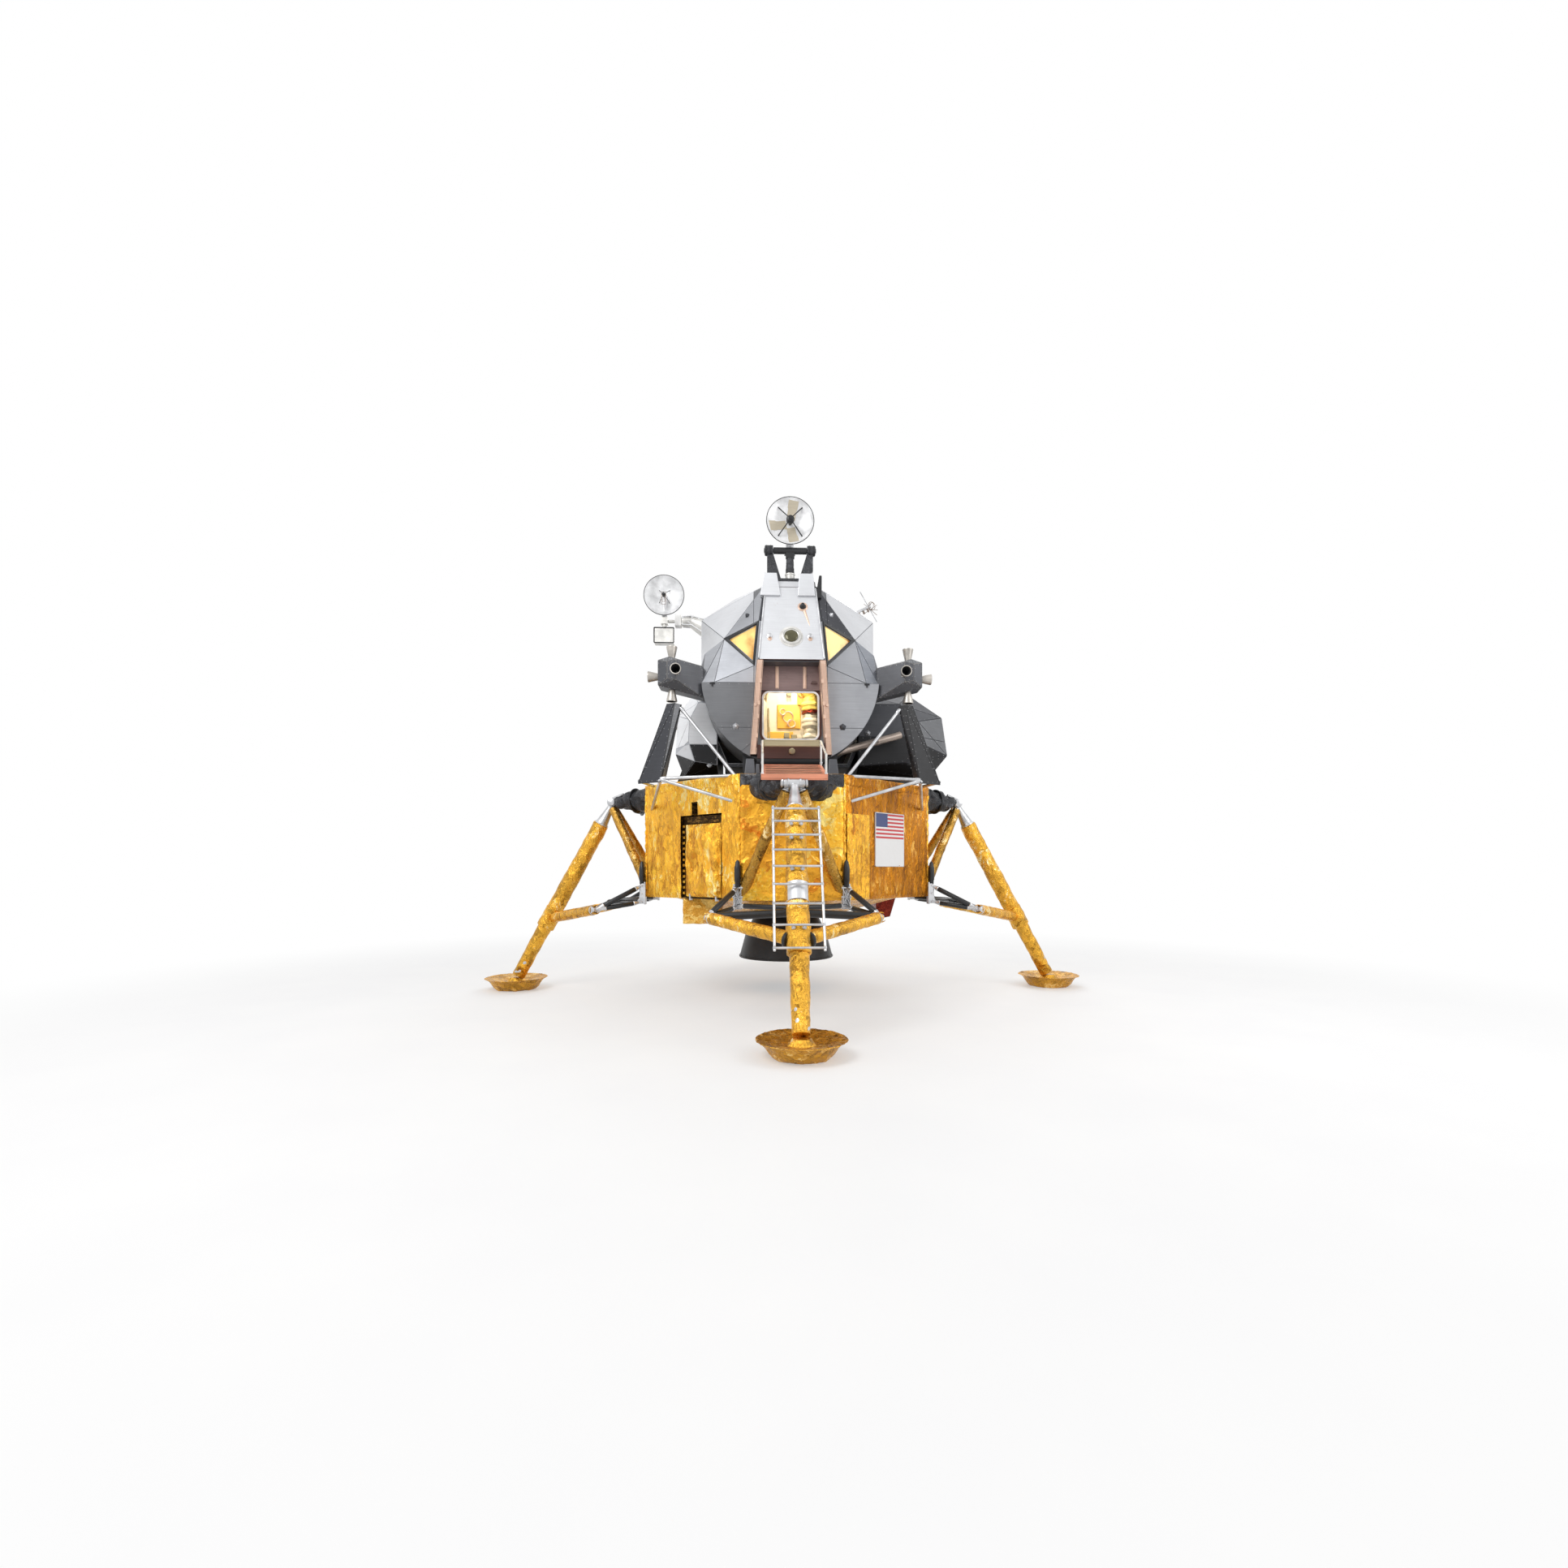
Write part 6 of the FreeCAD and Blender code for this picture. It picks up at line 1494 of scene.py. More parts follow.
@dataclass
class AscentSkin(SubAssembly):
    """Panels over the cabin, the middle section, the tank fairings and the aft bay."""

    seam: float = 3.8
    cheek_foot: float = 4.41
    window: tuple[Point, Point, Point] = ((0.43, -1.72, 5.25), (0.49, -1.72, 4.64), (0.91, -1.45, 5.085))

    def build(self) -> None:
        """Lays every panel."""
        self.repaint({"crew_cabin": Skin.GREY_SHEET, "face_panel": Skin.MAROON_SHEET,
            "middle_section": Skin.DUSK_SHEET, "aft_equipment_bay": Skin.DUSK_SHEET,
            "right_tank_fairing": Skin.SLATE_SHEET, "left_tank_fairing": Skin.SILVER_SHEET,
            "stage_posts": Skin.BLACK_TUBE, "ascent_engine": Skin.BELL_DARK,
            "docking_tunnel": Skin.BARE_METAL, "overhead_hatch": Skin.DOOR_PAINT,
            "front_hatch": Skin.DOOR_PAINT, "hatch_hinges": Skin.BARE_METAL, "windows": Skin.WINDOW})
        upright, level = (1, 0, 0), (0, 0, 1)
        Panelling("crew_cabin", "dark_panel", cabin_skin, (((-0.5, 0, 0), upright), ((0.5, 0, 0), upright),
            ((0, 0, self.seam), level), ((0, 0, self.cheek_foot), level))).lay(self.frame)
        Panelling("face_panel", "dark_panel", face_skin, rivets=0.07).lay(self.frame)
        Panelling("middle_section", "dark_panel", middle_skin, (((0, 0.02, 0), (0, 1, 0)),
            ((0, 0, 4.5), level))).lay(self.frame)
        Panelling("aft_equipment_bay", "dark_panel", aft_skin, (((0, 0, 0), upright),
            ((0, 0, 4.55), level))).lay(self.frame)
        Panelling("right_tank_fairing", "dark_panel", right_tank_skin,
            (((0, 0, RIGHT_TANK_SEAM), level),)).lay(self.frame)
        Panelling("left_tank_fairing", "light_panel", left_tank_skin, (((0, 0, LEFT_TANK_SEAM),
            level),)).lay(self.frame)
        self.window_frames()

    def window_frames(self) -> None:
        """A black three-sided frame round each window, broadest at its outer tip."""
        for side, label in HANDS:
            head, foot, tip = (Vector((side * x, y, z)) for x, y, z in self.window)
            middle = (head + foot + tip) / 3.0
            out = (foot - head).cross(tip - head).normalized()
            out = out if out.y < 0.0 else -out
            outer = [middle + (corner - middle) * share for corner, share in ((head, 0.99), (tip, 1.03),
                (foot, 0.99))]
            inner = [middle + (corner - middle) * share for corner, share in ((head, 0.84), (tip, 0.76),
                (foot, 0.84))]
            bars = []
            for number in range(3):
                corners = (outer[number], outer[(number + 1) % 3], inner[(number + 1) % 3], inner[number])
                bars.append(self.window_bar(corners, out))
            dress_group(f"{label}_window_frame", bars, Skin.BLACK_TUBE, "dark_panel")

    @staticmethod
    def window_bar(corners: tuple[Vector, ...], out: Vector) -> Piece:
        """One flat side of a window frame.

        Args:
            corners: its outline, outer edge first.
            out: the way that it faces.

        Returns:
            The bar.
        """
        side = block("frame_bar", (-0.5, -0.5, 0), (0.5, 0.5, 1), 0.0)
        for vertex in side.data.vertices:
            left, back, top = vertex.co.x < 0.0, vertex.co.y < 0.0, vertex.co.z > 0.5
            spot = corners[(0 if left else 1) if back else (3 if left else 2)]
            vertex.co = spot + out * (0.016 if top else 0.002)
        outward(side)
        edge = side.modifiers.new("edge", "BEVEL")
        edge.width, edge.segments = 0.0025, 2
        return smooth(finished(side), 30.0)


@dataclass
class FacePanel(SubAssembly):
    """The docking port, lamps, horns and hatch bay of the panel between the windows."""

    top: Point = (0.335, -1.64, 5.74)
    foot: Point = (0.43, -1.98, 4.65)

    def on_slope(self, x: float, height: float, out: float = 0.0) -> Vector:
        """A point on the sloping panel, set off from it."""
        share = (height - self.foot[2]) / (self.top[2] - self.foot[2])
        return Vector((x, self.foot[1] + (self.top[1] - self.foot[1]) * share, height)) + self.outward * out

    @property
    def outward(self) -> Vector:
        """The panel's normal."""
        rise, depth = self.top[2] - self.foot[2], self.top[1] - self.foot[1]
        return Vector((0, -rise, depth)).normalized()

    def port(self) -> None:
        """The round port: a stepped bright ring round a dark lens."""
        start, end = self.on_slope(0.0, 4.984, -0.01), self.on_slope(0.0, 4.984, 0.2)
        dress(turned("port_ring", start, end, [(0, 0.158), (0.02, 0.158), (0.026, 0.15), (0.026, 0.138),
            (0.034, 0.134), (0.044, 0.126), (0.05, 0.116), (0.05, 0.108), (0.04, 0.104), (0.034, 0.094)],
            64), Skin.WHITE_TUBE, "bare_alloy")
        dress(turned("port_lens", start + self.outward * 0.03, end, [(0, 0.09), (0.01, 0.09),
            (0.016, 0.084), (0.024, 0.055), (0.027, 0.02)], 48), Skin.LENS, "window_glass")

    def lamps(self) -> None:
        """Two small lamps beside the port and the larger docking lamp above it."""
        parts, marks = [], []
        for x in (-0.29, 0.25):
            start, end = self.on_slope(x, 4.985), self.on_slope(x, 4.985, 0.1)
            parts.append(turned("lamp", start, end, [(0, 0.034), (0.008, 0.034), (0.012, 0.024),
                (0.04, 0.03), (0.046, 0.018)], 24))
            marks.append(turned("lamp_foot", self.on_slope(x + 0.006, 4.95, 0.004),
                self.on_slope(x + 0.006, 4.95, 0.1), [(0, 0.03), (0.008, 0.028), (0.01, 0.016)], 16))
        start, end = self.on_slope(0.162, 5.435), self.on_slope(0.162, 5.435, 0.1)
        # The last piece is a tan strip that tapers down to the right from the docking lamp.
        marks += [turned("docking_lamp_ring", start, end, [(0, 0.068), (0.012, 0.068), (0.018, 0.06),
            (0.018, 0.046), (0.002, 0.044)], 32), bar("tan_strip", self.on_slope(0.185, 5.375, -0.006),
            self.on_slope(0.262, 5.12, -0.004), 0.024, 0.009, 16, 6)]
        start, end = self.on_slope(0.162, 5.435, 0.004), self.on_slope(0.162, 5.435, 0.1)
        dress(turned("docking_lamp", start, end, [(0, 0.043), (0.02, 0.041), (0.036, 0.03), (0.06, 0.024),
            (0.068, 0.01)], 32), Skin.BELL_DARK, "bare_alloy")
        dress_group("lamps", parts, Skin.BARE_METAL, "bare_alloy")
        dress_group("lamp_feet", marks, Skin.COPPER_SHEET, "bare_alloy")

    def horns(self) -> None:
        """Two bright faceted blocks beside the radar's foot and the dark fin on the right."""
        left = block("left_horn", (-0.415, -1.72, 5.6), (-0.135, -1.45, 5.93), 0.008, (0.62, 0.8, 0.03))
        right = block("right_horn", (0.095, -1.72, 5.6), (0.335, -1.45, 5.925), 0.008, (0.78, 0.8, 0.03))
        for piece in (left, right):
            dress(piece, Skin.WHITE_SHEET, "light_panel")
        fin = block("fin", (0.342, -1.7, 5.58), (0.425, -1.5, 5.92), 0.01, (0.45, 0.6, 0.04))
        edit(fin)
        pick(fin, "verts", lambda vertex: vertex.co.z > 5.75)
        bpy.ops.transform.translate(value=(0.03, 0, 0))
        done()
        dress(bar("panel_seal", self.on_slope(0.35, 5.66, 0.004), self.on_slope(0.438, 4.67, 0.004),
            0.013, 0.009, 10, 8), Skin.BLACK_TUBE, "dark_panel")
        dress(fin, Skin.NIGHT_SHEET, "dark_panel")
        rail = [bar("lip", self.on_slope(side * 0.342, 5.72, 0.012), self.on_slope(side * 0.434, 4.66,
            0.012), 0.012, 0.012, 12, 8) for side in (-1, 1)]
        dress_group("panel_edges", rail, Skin.BARE_METAL, "bare_alloy")

    def hatch_bay(self) -> None:
        """The dark red wall over the hatch with its two ribs, the bay's roof, shelf and hood, and its side
        walls.
        """
        dress(block("bay_wall", (-0.47, -1.735, 4.3), (0.47, -1.722, 4.64), 0.003),
            Skin.CLAY_SHEET, "dark_red_panel")
        dress(block("bay_roof", (-0.42, -1.955, 4.632), (0.42, -1.725, 4.648), 0.003),
            Skin.DUSK_SHEET, "dark_panel")
        ribs = []
        for x in (-0.185, 0.19):
            ribs += [block("rib", (x - 0.022, -1.752, 4.325), (x + 0.022, -1.733, 4.628), 0.004),
                block("rib", (x - 0.008, -1.768, 4.33), (x + 0.008, -1.75, 4.624), 0.004)]
        dress_group("bay_straps", ribs, Skin.COPPER_SHEET, "dark_red_panel")
        ribs = [block("hood", (0.27, -1.79, 4.395), (0.36, -1.735, 4.425), 0.006, (0.7, 0.6, 0.01)),
            block("shelf", (-0.4, -1.76, 4.3), (0.4, -1.735, 4.322), 0.004)]
        dress_group("bay_ribs", ribs, Skin.CLAY_SHEET, "dark_red_panel")
        sides = [block("bay_side", (side * 0.455 - 0.006, -1.9, 3.5), (side * 0.455 + 0.006, -1.725,
            4.64), 0.003) for side in (-1, 1)]
        dress_group("bay_sides", sides, Skin.MAROON_SHEET, "dark_red_panel")

    def hatch_rim(self) -> None:
        """A rounded rim round the hatch opening, with its seal."""
        for name, grow, width, depth, skin in (("hatch_rim", 0, 0.026, 0.024, Skin.DISH_WHITE),
                ("hatch_frame", 0.03, 0.034, 0.012, Skin.MAROON_SHEET)):
            half, low, high = 0.39 + grow, 3.625 - grow, 4.295 + grow
            piece = start_with(bpy.ops.mesh.primitive_plane_add, name, (2 * half, high - low, 1),
                size=1.0, location=(0, -1.724, (low + high) / 2), rotation=UPRIGHT)
            edit(piece, "VERT", "SELECT")
            bpy.ops.mesh.bevel(offset=0.095 + grow, segments=8, affect="VERTICES")
            bpy.ops.mesh.select_mode(type="FACE")
            bpy.ops.mesh.select_all(action="SELECT")
            bpy.ops.mesh.inset(thickness=width)
            bpy.ops.mesh.delete(type="FACE")
            done()
            dress(outward(thicken(piece, depth, 1.0, 0.004, 2)), skin, "hatch_paint")

    def jamb_fittings(self) -> None:
        """Strips, latches and hinge blocks on the two copper jambs."""
        parts = []
        for side in (-1, 1):
            foot, head = Vector((side * 0.505, -1.9, 3.45)), Vector((side * 0.425, -1.99, 4.6))
            parts += [bar("strip", foot + Vector((shift, -0.004, 0)), head
                + Vector((shift * 0.8, -0.004, 0)), 0.0055, 0.005, 10, 4) for shift in (-0.026, 0.026)]
            for share in (0.18, 0.4, 0.55, 0.8):
                spot = foot + (head - foot) * share + Vector((-side * 0.03, -0.002, 0))
                parts.append(block("latch", spot - Vector((0.014, 0.01, 0.028)),
                    spot + Vector((0.014, 0.012, 0.028)), 0.004))
            loop = Vector((side * 0.478, -1.935, 4.06))
            parts.append(turned("loop", loop, loop + Vector((0, -0.1, 0)),
                [(0, 0.02), (0.01, 0.024), (0.022, 0.018)], 18))
        dress_group("jamb_fittings", parts, Skin.COPPER_SHEET, "bare_alloy")

    def build(self) -> None:
        """Builds the face panel's details."""
        self.port()
        self.lamps()
        self.horns()
        self.hatch_bay()
        self.hatch_rim()
        self.jamb_fittings()


@dataclass
class CabinInside(SubAssembly):
    """What shows through the open hatch: lit lining, pipes, boxes and a wrapped bag."""

    back: float = -0.74

    def lining(self) -> None:
        """The cream back wall with its amber panels and frames."""
        dress(block("back_wall", (-0.8, self.back, 3.7), (0.8, self.back + 0.012, 5.2), 0.004),
            Skin.CREAM_SHEET, "hatch_paint")
        for name, skin, shapes in (("amber_panels", Skin.AMBER_SHEET, (((-0.16, 0.03, 3.98),
                (0.19, 0.002, 4.34), 0.008), ((-0.3, 0.045, 3.8), (0.08, 0.002, 3.93), 0.008),
                ((0.14, 0.07, 4.32), (0.42, 0.002, 4.72), 0.012))), ("stowage_boxes", Skin.TAN_SHEET,
                (((-0.06, 0.09, 3.83), (0.02, 0.03, 3.91), 0.006), ((0.05, 0.09, 3.8),
                (0.13, 0.02, 3.88), 0.006), ((-0.02, 0.05, 4.46), (0.05, 0.01, 4.55), 0.006),
                ((-0.5, 0.02, 3.68), (0.5, 0, 3.78), 0.006)))):
            boxes = [block("box", (low[0], self.back - low[1], low[2]),
                (high[0], self.back - high[1], high[2]), edge) for low, high, edge in shapes]
            dress_group(name, boxes, skin, "hatch_paint")

    def pipes(self) -> None:
        """Hoses that loop across the back wall and frames that arch down the left side."""
        loops = []
        for number, (x, z, radius) in enumerate(((0, 4.15, 0.075), (0.05, 4.05, 0.055),
                (-0.08, 4.22, 0.045), (0.2, 4.5, 0.07), (0.3, 4.42, 0.05))):
            loop = start_with(bpy.ops.mesh.primitive_torus_add, "hose", major_radius=radius,
                minor_radius=0.009, major_segments=40, minor_segments=10,
                location=(x, self.back - 0.052 - 0.006 * number, z), rotation=(math.radians(90.0), 0,
                math.radians(13.0 * number)))
            crumple(loop, "CLOUDS", 0.1, 0.03, 0.5)
            loops.append(smooth(loop, 60.0))
        dress_group("hoses", loops, Skin.COPPER_SHEET, "hatch_paint")
        arches = []
        for number in range(4):
            x = -0.395 + 0.034 * number
            arches += [bar("arch", (x + lean, self.back - 0.035, low), (x + max(lean, 0.0) * 0.2,
                self.back - 0.035, high), 0.014, 0.014, 12, 6) for low, high, lean in ((3.7, 4, 0.03),
                (4, 4.28, 0), (4.28, 4.6, -0.055))]
        dress_group("frames", arches, Skin.TAN_SHEET, "hatch_paint")

    def bag(self) -> None:
        """A tall wrapped bag, sagging over its straps."""
        for name, skin, low, high in (("bag_foot", Skin.CREAM_SHEET, 0, 21),
                ("bag_head", Skin.YELLOW_WRAP, 21, 40)):
            folds = [(0.03 + 0.86 * part / 40, 0.105 + 0.024 * math.sin(part * 0.55)
                + 0.01 * math.sin(part * 1.7)) for part in range(low, high + 1)]
            bag = turned(name, (0.335, -0.9, 3.7), (0.3, -0.9, 4.6), [(folds[0][0] - 0.006, 0.06), *folds,
                (folds[-1][0] + 0.006, 0.05)], 48)
            crumple(bag, "CLOUDS", 0.11, 0.035, 0.5)
            crumple(bag, "VORONOI", 0.07, 0.014, 0.5)
            smooth(bag, 40.0)
            dress(bag, skin, "hatch_paint")
        strap = turned("bag_strap", (0.33, -0.9, 4.17), (0.327, -0.9, 4.25),
            [(0, 0.118), (0.004, 0.13), (0.036, 0.128), (0.04, 0.116)], 48)
        crumple(strap, "CLOUDS", 0.11, 0.03, 0.5)
        dress(strap, Skin.RED_FOIL, "hatch_paint")

    def build(self) -> None:
        """Builds the cabin's visible inside."""
        self.lining()
        self.pipes()
        self.bag()
        for name, place, tilt, watts, size in (("cabin_lamp", (0.1, -1.15, 5.05), 0, 20, 0.5),
                ("hatch_lamp", (0.1, -1.48, 4.52), 40, 5.6, 0.22)):
            bpy.ops.object.light_add(type="AREA", location=place, rotation=(math.radians(tilt), 0, 0))
            lamp = bpy.context.object
            lamp.name = name
            lamp.data.size = size
            lamp.data.energy = watts
            lamp.data.color = (1, 0.88, 0.68)


@dataclass
class Porch(SubAssembly):
    """Slatted deck, rails, lip board and the dark recess under the hatch."""

    half: float = 0.4
    back: tuple[float, float] = (-1.96, 3.262)
    front: tuple[float, float] = (-2.81, 3.014)
    rail_top: tuple[float, float] = (-2.04, 3.56)

    def board(self, name: str, low: tuple[float, float, float], high: tuple[float, float, float]) -> Piece:
        """A block laid on the sloping deck, given in sideways place, share of the run and height off it.

        Args:
            name: what the board is called.
            low: sideways place, share of the run and height of its lowest corner.
            high: the same of its highest corner.

        Returns:
            The board.
        """
        run = Vector((0, self.front[0] - self.back[0], self.front[1] - self.back[1]))
        length = run.length
        piece = block(name, (low[0], -high[1] * length, low[2]), (high[0], -low[1] * length, high[2]), 0.004)
        piece.rotation_euler = (math.atan2(run.z, run.y) + math.pi, 0, 0)
        piece.location = (0, *self.back)
        return applied(piece)

    def deck(self) -> None:
        """Red brown boards between two side beams, with a deep front edge."""
        boards = []
        count = 8
        for number in range(count):
            low, high = (number + 0.06) / count, (number + 0.94) / count
            boards.append(self.board("board", (-self.half + 0.02, low, -0.03), (self.half - 0.02, high, 0)))
        for side in (-1, 1):
            x = sorted((side * self.half, side * (self.half - 0.03)))
            boards.append(self.board("beam", (x[0], 0, -0.046), (x[1], 1, 0.008)))
        boards += [self.board("front_edge", (-self.half - 0.004, 0.965, -0.06),
            (self.half + 0.004, 1, 0.012)), self.board("back_edge", (-self.half, 0, -0.04),
            (self.half, 0.03, 0.006))]
        dress_group("porch_boards", boards, Skin.DECK_SHEET, "porch_deck")
        treads = [self.board("tread", (-self.half + 0.05, share, 0), (self.half - 0.05, share + 0.012,
            0.005)) for share in (0.1, 0.22, 0.35, 0.47, 0.6, 0.72, 0.85)]
        dress_group("porch_treads", treads, Skin.NIGHT_SHEET, "porch_deck")

    def lip(self) -> None:
        """The olive lip board between the rails, with an inset face, and the knob in the recess below it."""
        y, z = self.rail_top
        board = block("lip_board_face", (-0.372, y - 0.016, z - 0.07), (0.372, y + 0.016, z + 0.018), 0.006)
        edit(board)
        pick(board, "faces", lambda face: face.normal.y < -0.9)
        bpy.ops.mesh.inset(thickness=0.012)
        bpy.ops.mesh.inset(thickness=0.003, depth=-0.003)
        done()
        dress(board, Skin.TAN_SHEET, "porch_deck")
        dress(turned("recess_knob", (0.01, -1.862, 3.455), (0.01, -1.98, 3.45),
            [(0, 0.034), (0.012, 0.042), (0.03, 0.044), (0.046, 0.036), (0.054, 0.018)], 28),
            Skin.TAN_SHEET, "hatch_paint")

    def recess(self) -> None:
        """The dark bay between the jambs' feet, with its olive sill."""
        dress(block("recess_wall", (-0.455, -1.865, 3.36), (0.455, -1.73, 3.545), 0.004),
            Skin.MAROON_SHEET, "dark_red_panel")
        dress(turned("recess_sill", (-0.46, -1.74, 3.345), (0.46, -1.74, 3.345),
            [(0, 0.11), (0.01, 0.118), (0.91, 0.118), (0.92, 0.11)], 40), Skin.NIGHT_SHEET, "dark_panel")
        boxes = []
        for side in (-1, 1):
            low, high = sorted((side * 0.475, side * 0.62))
            boxes.append(block("porch_box", (low, -2.06, 3.128), (high, -1.86, 3.34), 0.01,
                (0.72, 0.55, 0.03)))
            low, high = sorted((side * 0.415, side * 0.475))
            boxes.append(block("porch_cheek", (low, -2.04, 3.128), (high, -1.9, 3.27), 0.006,
                (0.8, 0.6, 0.02)))
        dress_group("porch_boxes", boxes, Skin.DUSK_SHEET, "dark_panel")

    def rails(self) -> None:
        """Clamps where the rails meet the deck and the lip."""
        parts = []
        for side in (-1, 1):
            x = side * (self.half - 0.014)
            parts += [turned("clamp", start, end, [(0, 0.017), (0.004, 0.02), (0.026, 0.02),
                (0.03, 0.017)], 24) for start, end in (((x, -2.77, 3.02), (x, -2.77, 3.05)),
                ((x, -2.04, 3.262), (x, -2.04, 3.29)), ((x, -2.04, 3.5), (x, -2.04, 3.53)))]
        dress_group("rail_clamps", parts, Skin.BARE_METAL, "white_tube")

    def build(self) -> None:
        """Builds the porch."""
        self.repaint({"porch_deck": Skin.DECK_SHEET, "porch_rails": Skin.WHITE_TUBE})
        self.deck()
        self.lip()
        self.recess()
        self.rails()


@dataclass
class ThrusterCluster(SubAssembly):
    """One cluster's panels, nozzle bells and dark liners that paint the shade inside them, modelled at the
    front right and copied.
    """

    middle: Point = (1.59, -1.68, 4.51)
    jets: tuple[tuple[Point, Point], ...] = (((0.02, 0, 0.215), (0, 0, 1)), ((0.02, 0, -0.19), (0, 0, -1)),
        ((-0.07, -0.185, -0.005), (0, -1, 0)), ((0.175, 0.02, -0.02), (1, 0, 0)))
    throat: float = 0.03
    mouth: float = 0.069
    length: float = 0.165

    def bells(self) -> tuple[Piece, Piece]:
        """Ribbed outsides of the four nozzles, and dark liners inside them that paint the shade in the bells.

        Returns:
            The bells and the shade liners, each joined.
        """
        bells, shade_liners = [], []
        for start, aim in self.jets:
            foot = Vector(self.middle) + Vector(start)
            rings = [(0, self.throat + 0.006)]
            for step in range(1, 15):
                share = step / 14
                rib = 0.0035 if step % 2 else 0.0
                rings.append((share * self.length, self.throat + 0.004 + (self.mouth
                    - self.throat) * share ** 0.85 + rib))
            rings += [(self.length + 0.003, self.mouth + 0.004), (self.length + 0.003, self.mouth - 0.006),
                (self.length * 0.8, self.mouth - 0.014), (0.004, self.throat - 0.006)]
            bells.append(turned("bell", foot, foot + Vector(aim), rings, 28))
            # Dark liner inside the bell: painted shade.
            shade_liners.append(turned("shade_liner", foot, foot + Vector(aim), [(0.002, 0.016), (0.006, 0.0215),
                (self.length * 0.8, self.mouth - 0.0175), (self.length * 0.99, self.mouth - 0.0085),
                (self.length * 0.985, self.mouth - 0.0095), (self.length * 0.78, self.mouth - 0.019),
                (0.01, 0.012)], 28))
        return joined("bells", bells), joined("shade_liners", shade_liners)

    def build(self) -> None:
        """Builds the front right cluster and copies it to the other three corners."""
        bells, shade_liners = self.bells()
        for corner, mirror, degrees in CORNERS:
            label = f"{corner}_thrusters"
            self.repaint({label: Skin.JET_METAL})
            Panelling(label, "light_panel", quad_skin, smallest=0.004, gap=0.002, thick=0.004,
                rivets=0.08).lay(self.frame)
            for pattern, part, skin in ((bells, "bells", Skin.JET_METAL), (shade_liners, "shade_liners", Skin.BELL_DARK)):
                twin = copied(pattern, f"{label}_{part}", degrees, mirror)
                smooth(twin, 35.0)
                dress(twin, skin, "nozzle_coating")
        for pattern in (bells, shade_liners):
            bpy.data.objects.remove(pattern)


def deflector_skin(centre: Vector, normal: Vector) -> Skin | None:
    """The finish of one leaf of a deflector; the left ones are paler than the right ones, and on the left the
    leaves facing +x are paler again, as painted light and shade.

    Args:
        centre: the flat's middle.
        normal: the way it faces.

    Returns:
        The finish, or None where the node stays bare.
    """
    if abs(normal.z) > 0.6:
        return None
    if centre.x > 0.0:
        return Skin.NIGHT_SHEET
    return Skin.GREY_SHEET if normal.x > 0.0 else Skin.SLATE_SHEET


@dataclass
class Deflectors(SubAssembly):
    """Dark plates with dark rims along their edges, and alloy struts, below each cluster."""

    head: tuple[Point, Point, Point] = ((1.48, -1.74, 4.1), (1.56, -1.79, 4.11), (1.67, -1.69, 4.12))
    foot: tuple[Point, Point, Point] = ((1.7, -1.72, 3.09), (1.74, -1.89, 3.04), (2.07, -1.62, 3.05))
    struts: tuple[tuple[int, float, float, Point], ...] = ((0, 0.04, 0, (0.746, -1.988, 3.112)),
        (1, 0.96, 0.012, (0.796, -1.988, 3.112)), (1, 0.97, 0, (0.706, -2.028, 2.754)),
        (1, 0.98, 0, (2.028, -0.706, 2.744)), (2, 0.97, 0, (1.978, -0.746, 3.112)))
    radius: float = 0.0225
    rim: float = 0.007

    def build(self) -> None:
        """Builds the front right struts and edges and copies them to the other three corners."""
        self.repaint({"front_deflectors": Skin.NIGHT_SHEET, "back_deflectors": Skin.NIGHT_SHEET})
        for node in ("front_deflectors", "back_deflectors"):
            Panelling(node, "black_tube", deflector_skin, smallest=0.03, gap=0.006, thick=0.003,
                rivets=0.09).lay(self.frame)
        bars = []
        for corner, share, left, end in self.struts:
            start = Vector(self.head[corner]) + (Vector(self.foot[corner])
                - Vector(self.head[corner])) * share
            bars.append(bar("stay", start, end, self.radius, self.radius, 20, 2))
            run = (Vector(end) - start).normalized()
            bars.append(turned("socket", start + run * 0.015, end, [(0, 0.022), (0.006, 0.028),
                (0.055, 0.028), (0.065, 0.0235)], 20))
        stays = joined("stays", bars)
        edges = [bar("edge", start, end, self.rim, self.rim, 10, 2) for start, end in zip(self.head,
            self.foot)]
        edges += [bar("edge", start, end, self.rim, self.rim, 10) for start, end in zip(self.foot,
            self.foot[1:])]
        rims = joined("rims", edges)
        for label, mirror, degrees in CORNERS:
            for pattern, part, skin in ((stays, "deflector_stays", Skin.BARE_METAL),
                    (rims, "deflector_rims", Skin.BLACK_TUBE)):
                dress(copied(pattern, f"{label}_{part}", degrees, mirror), skin, "black_tube")
        for pattern in (stays, rims):
            bpy.data.objects.remove(pattern)


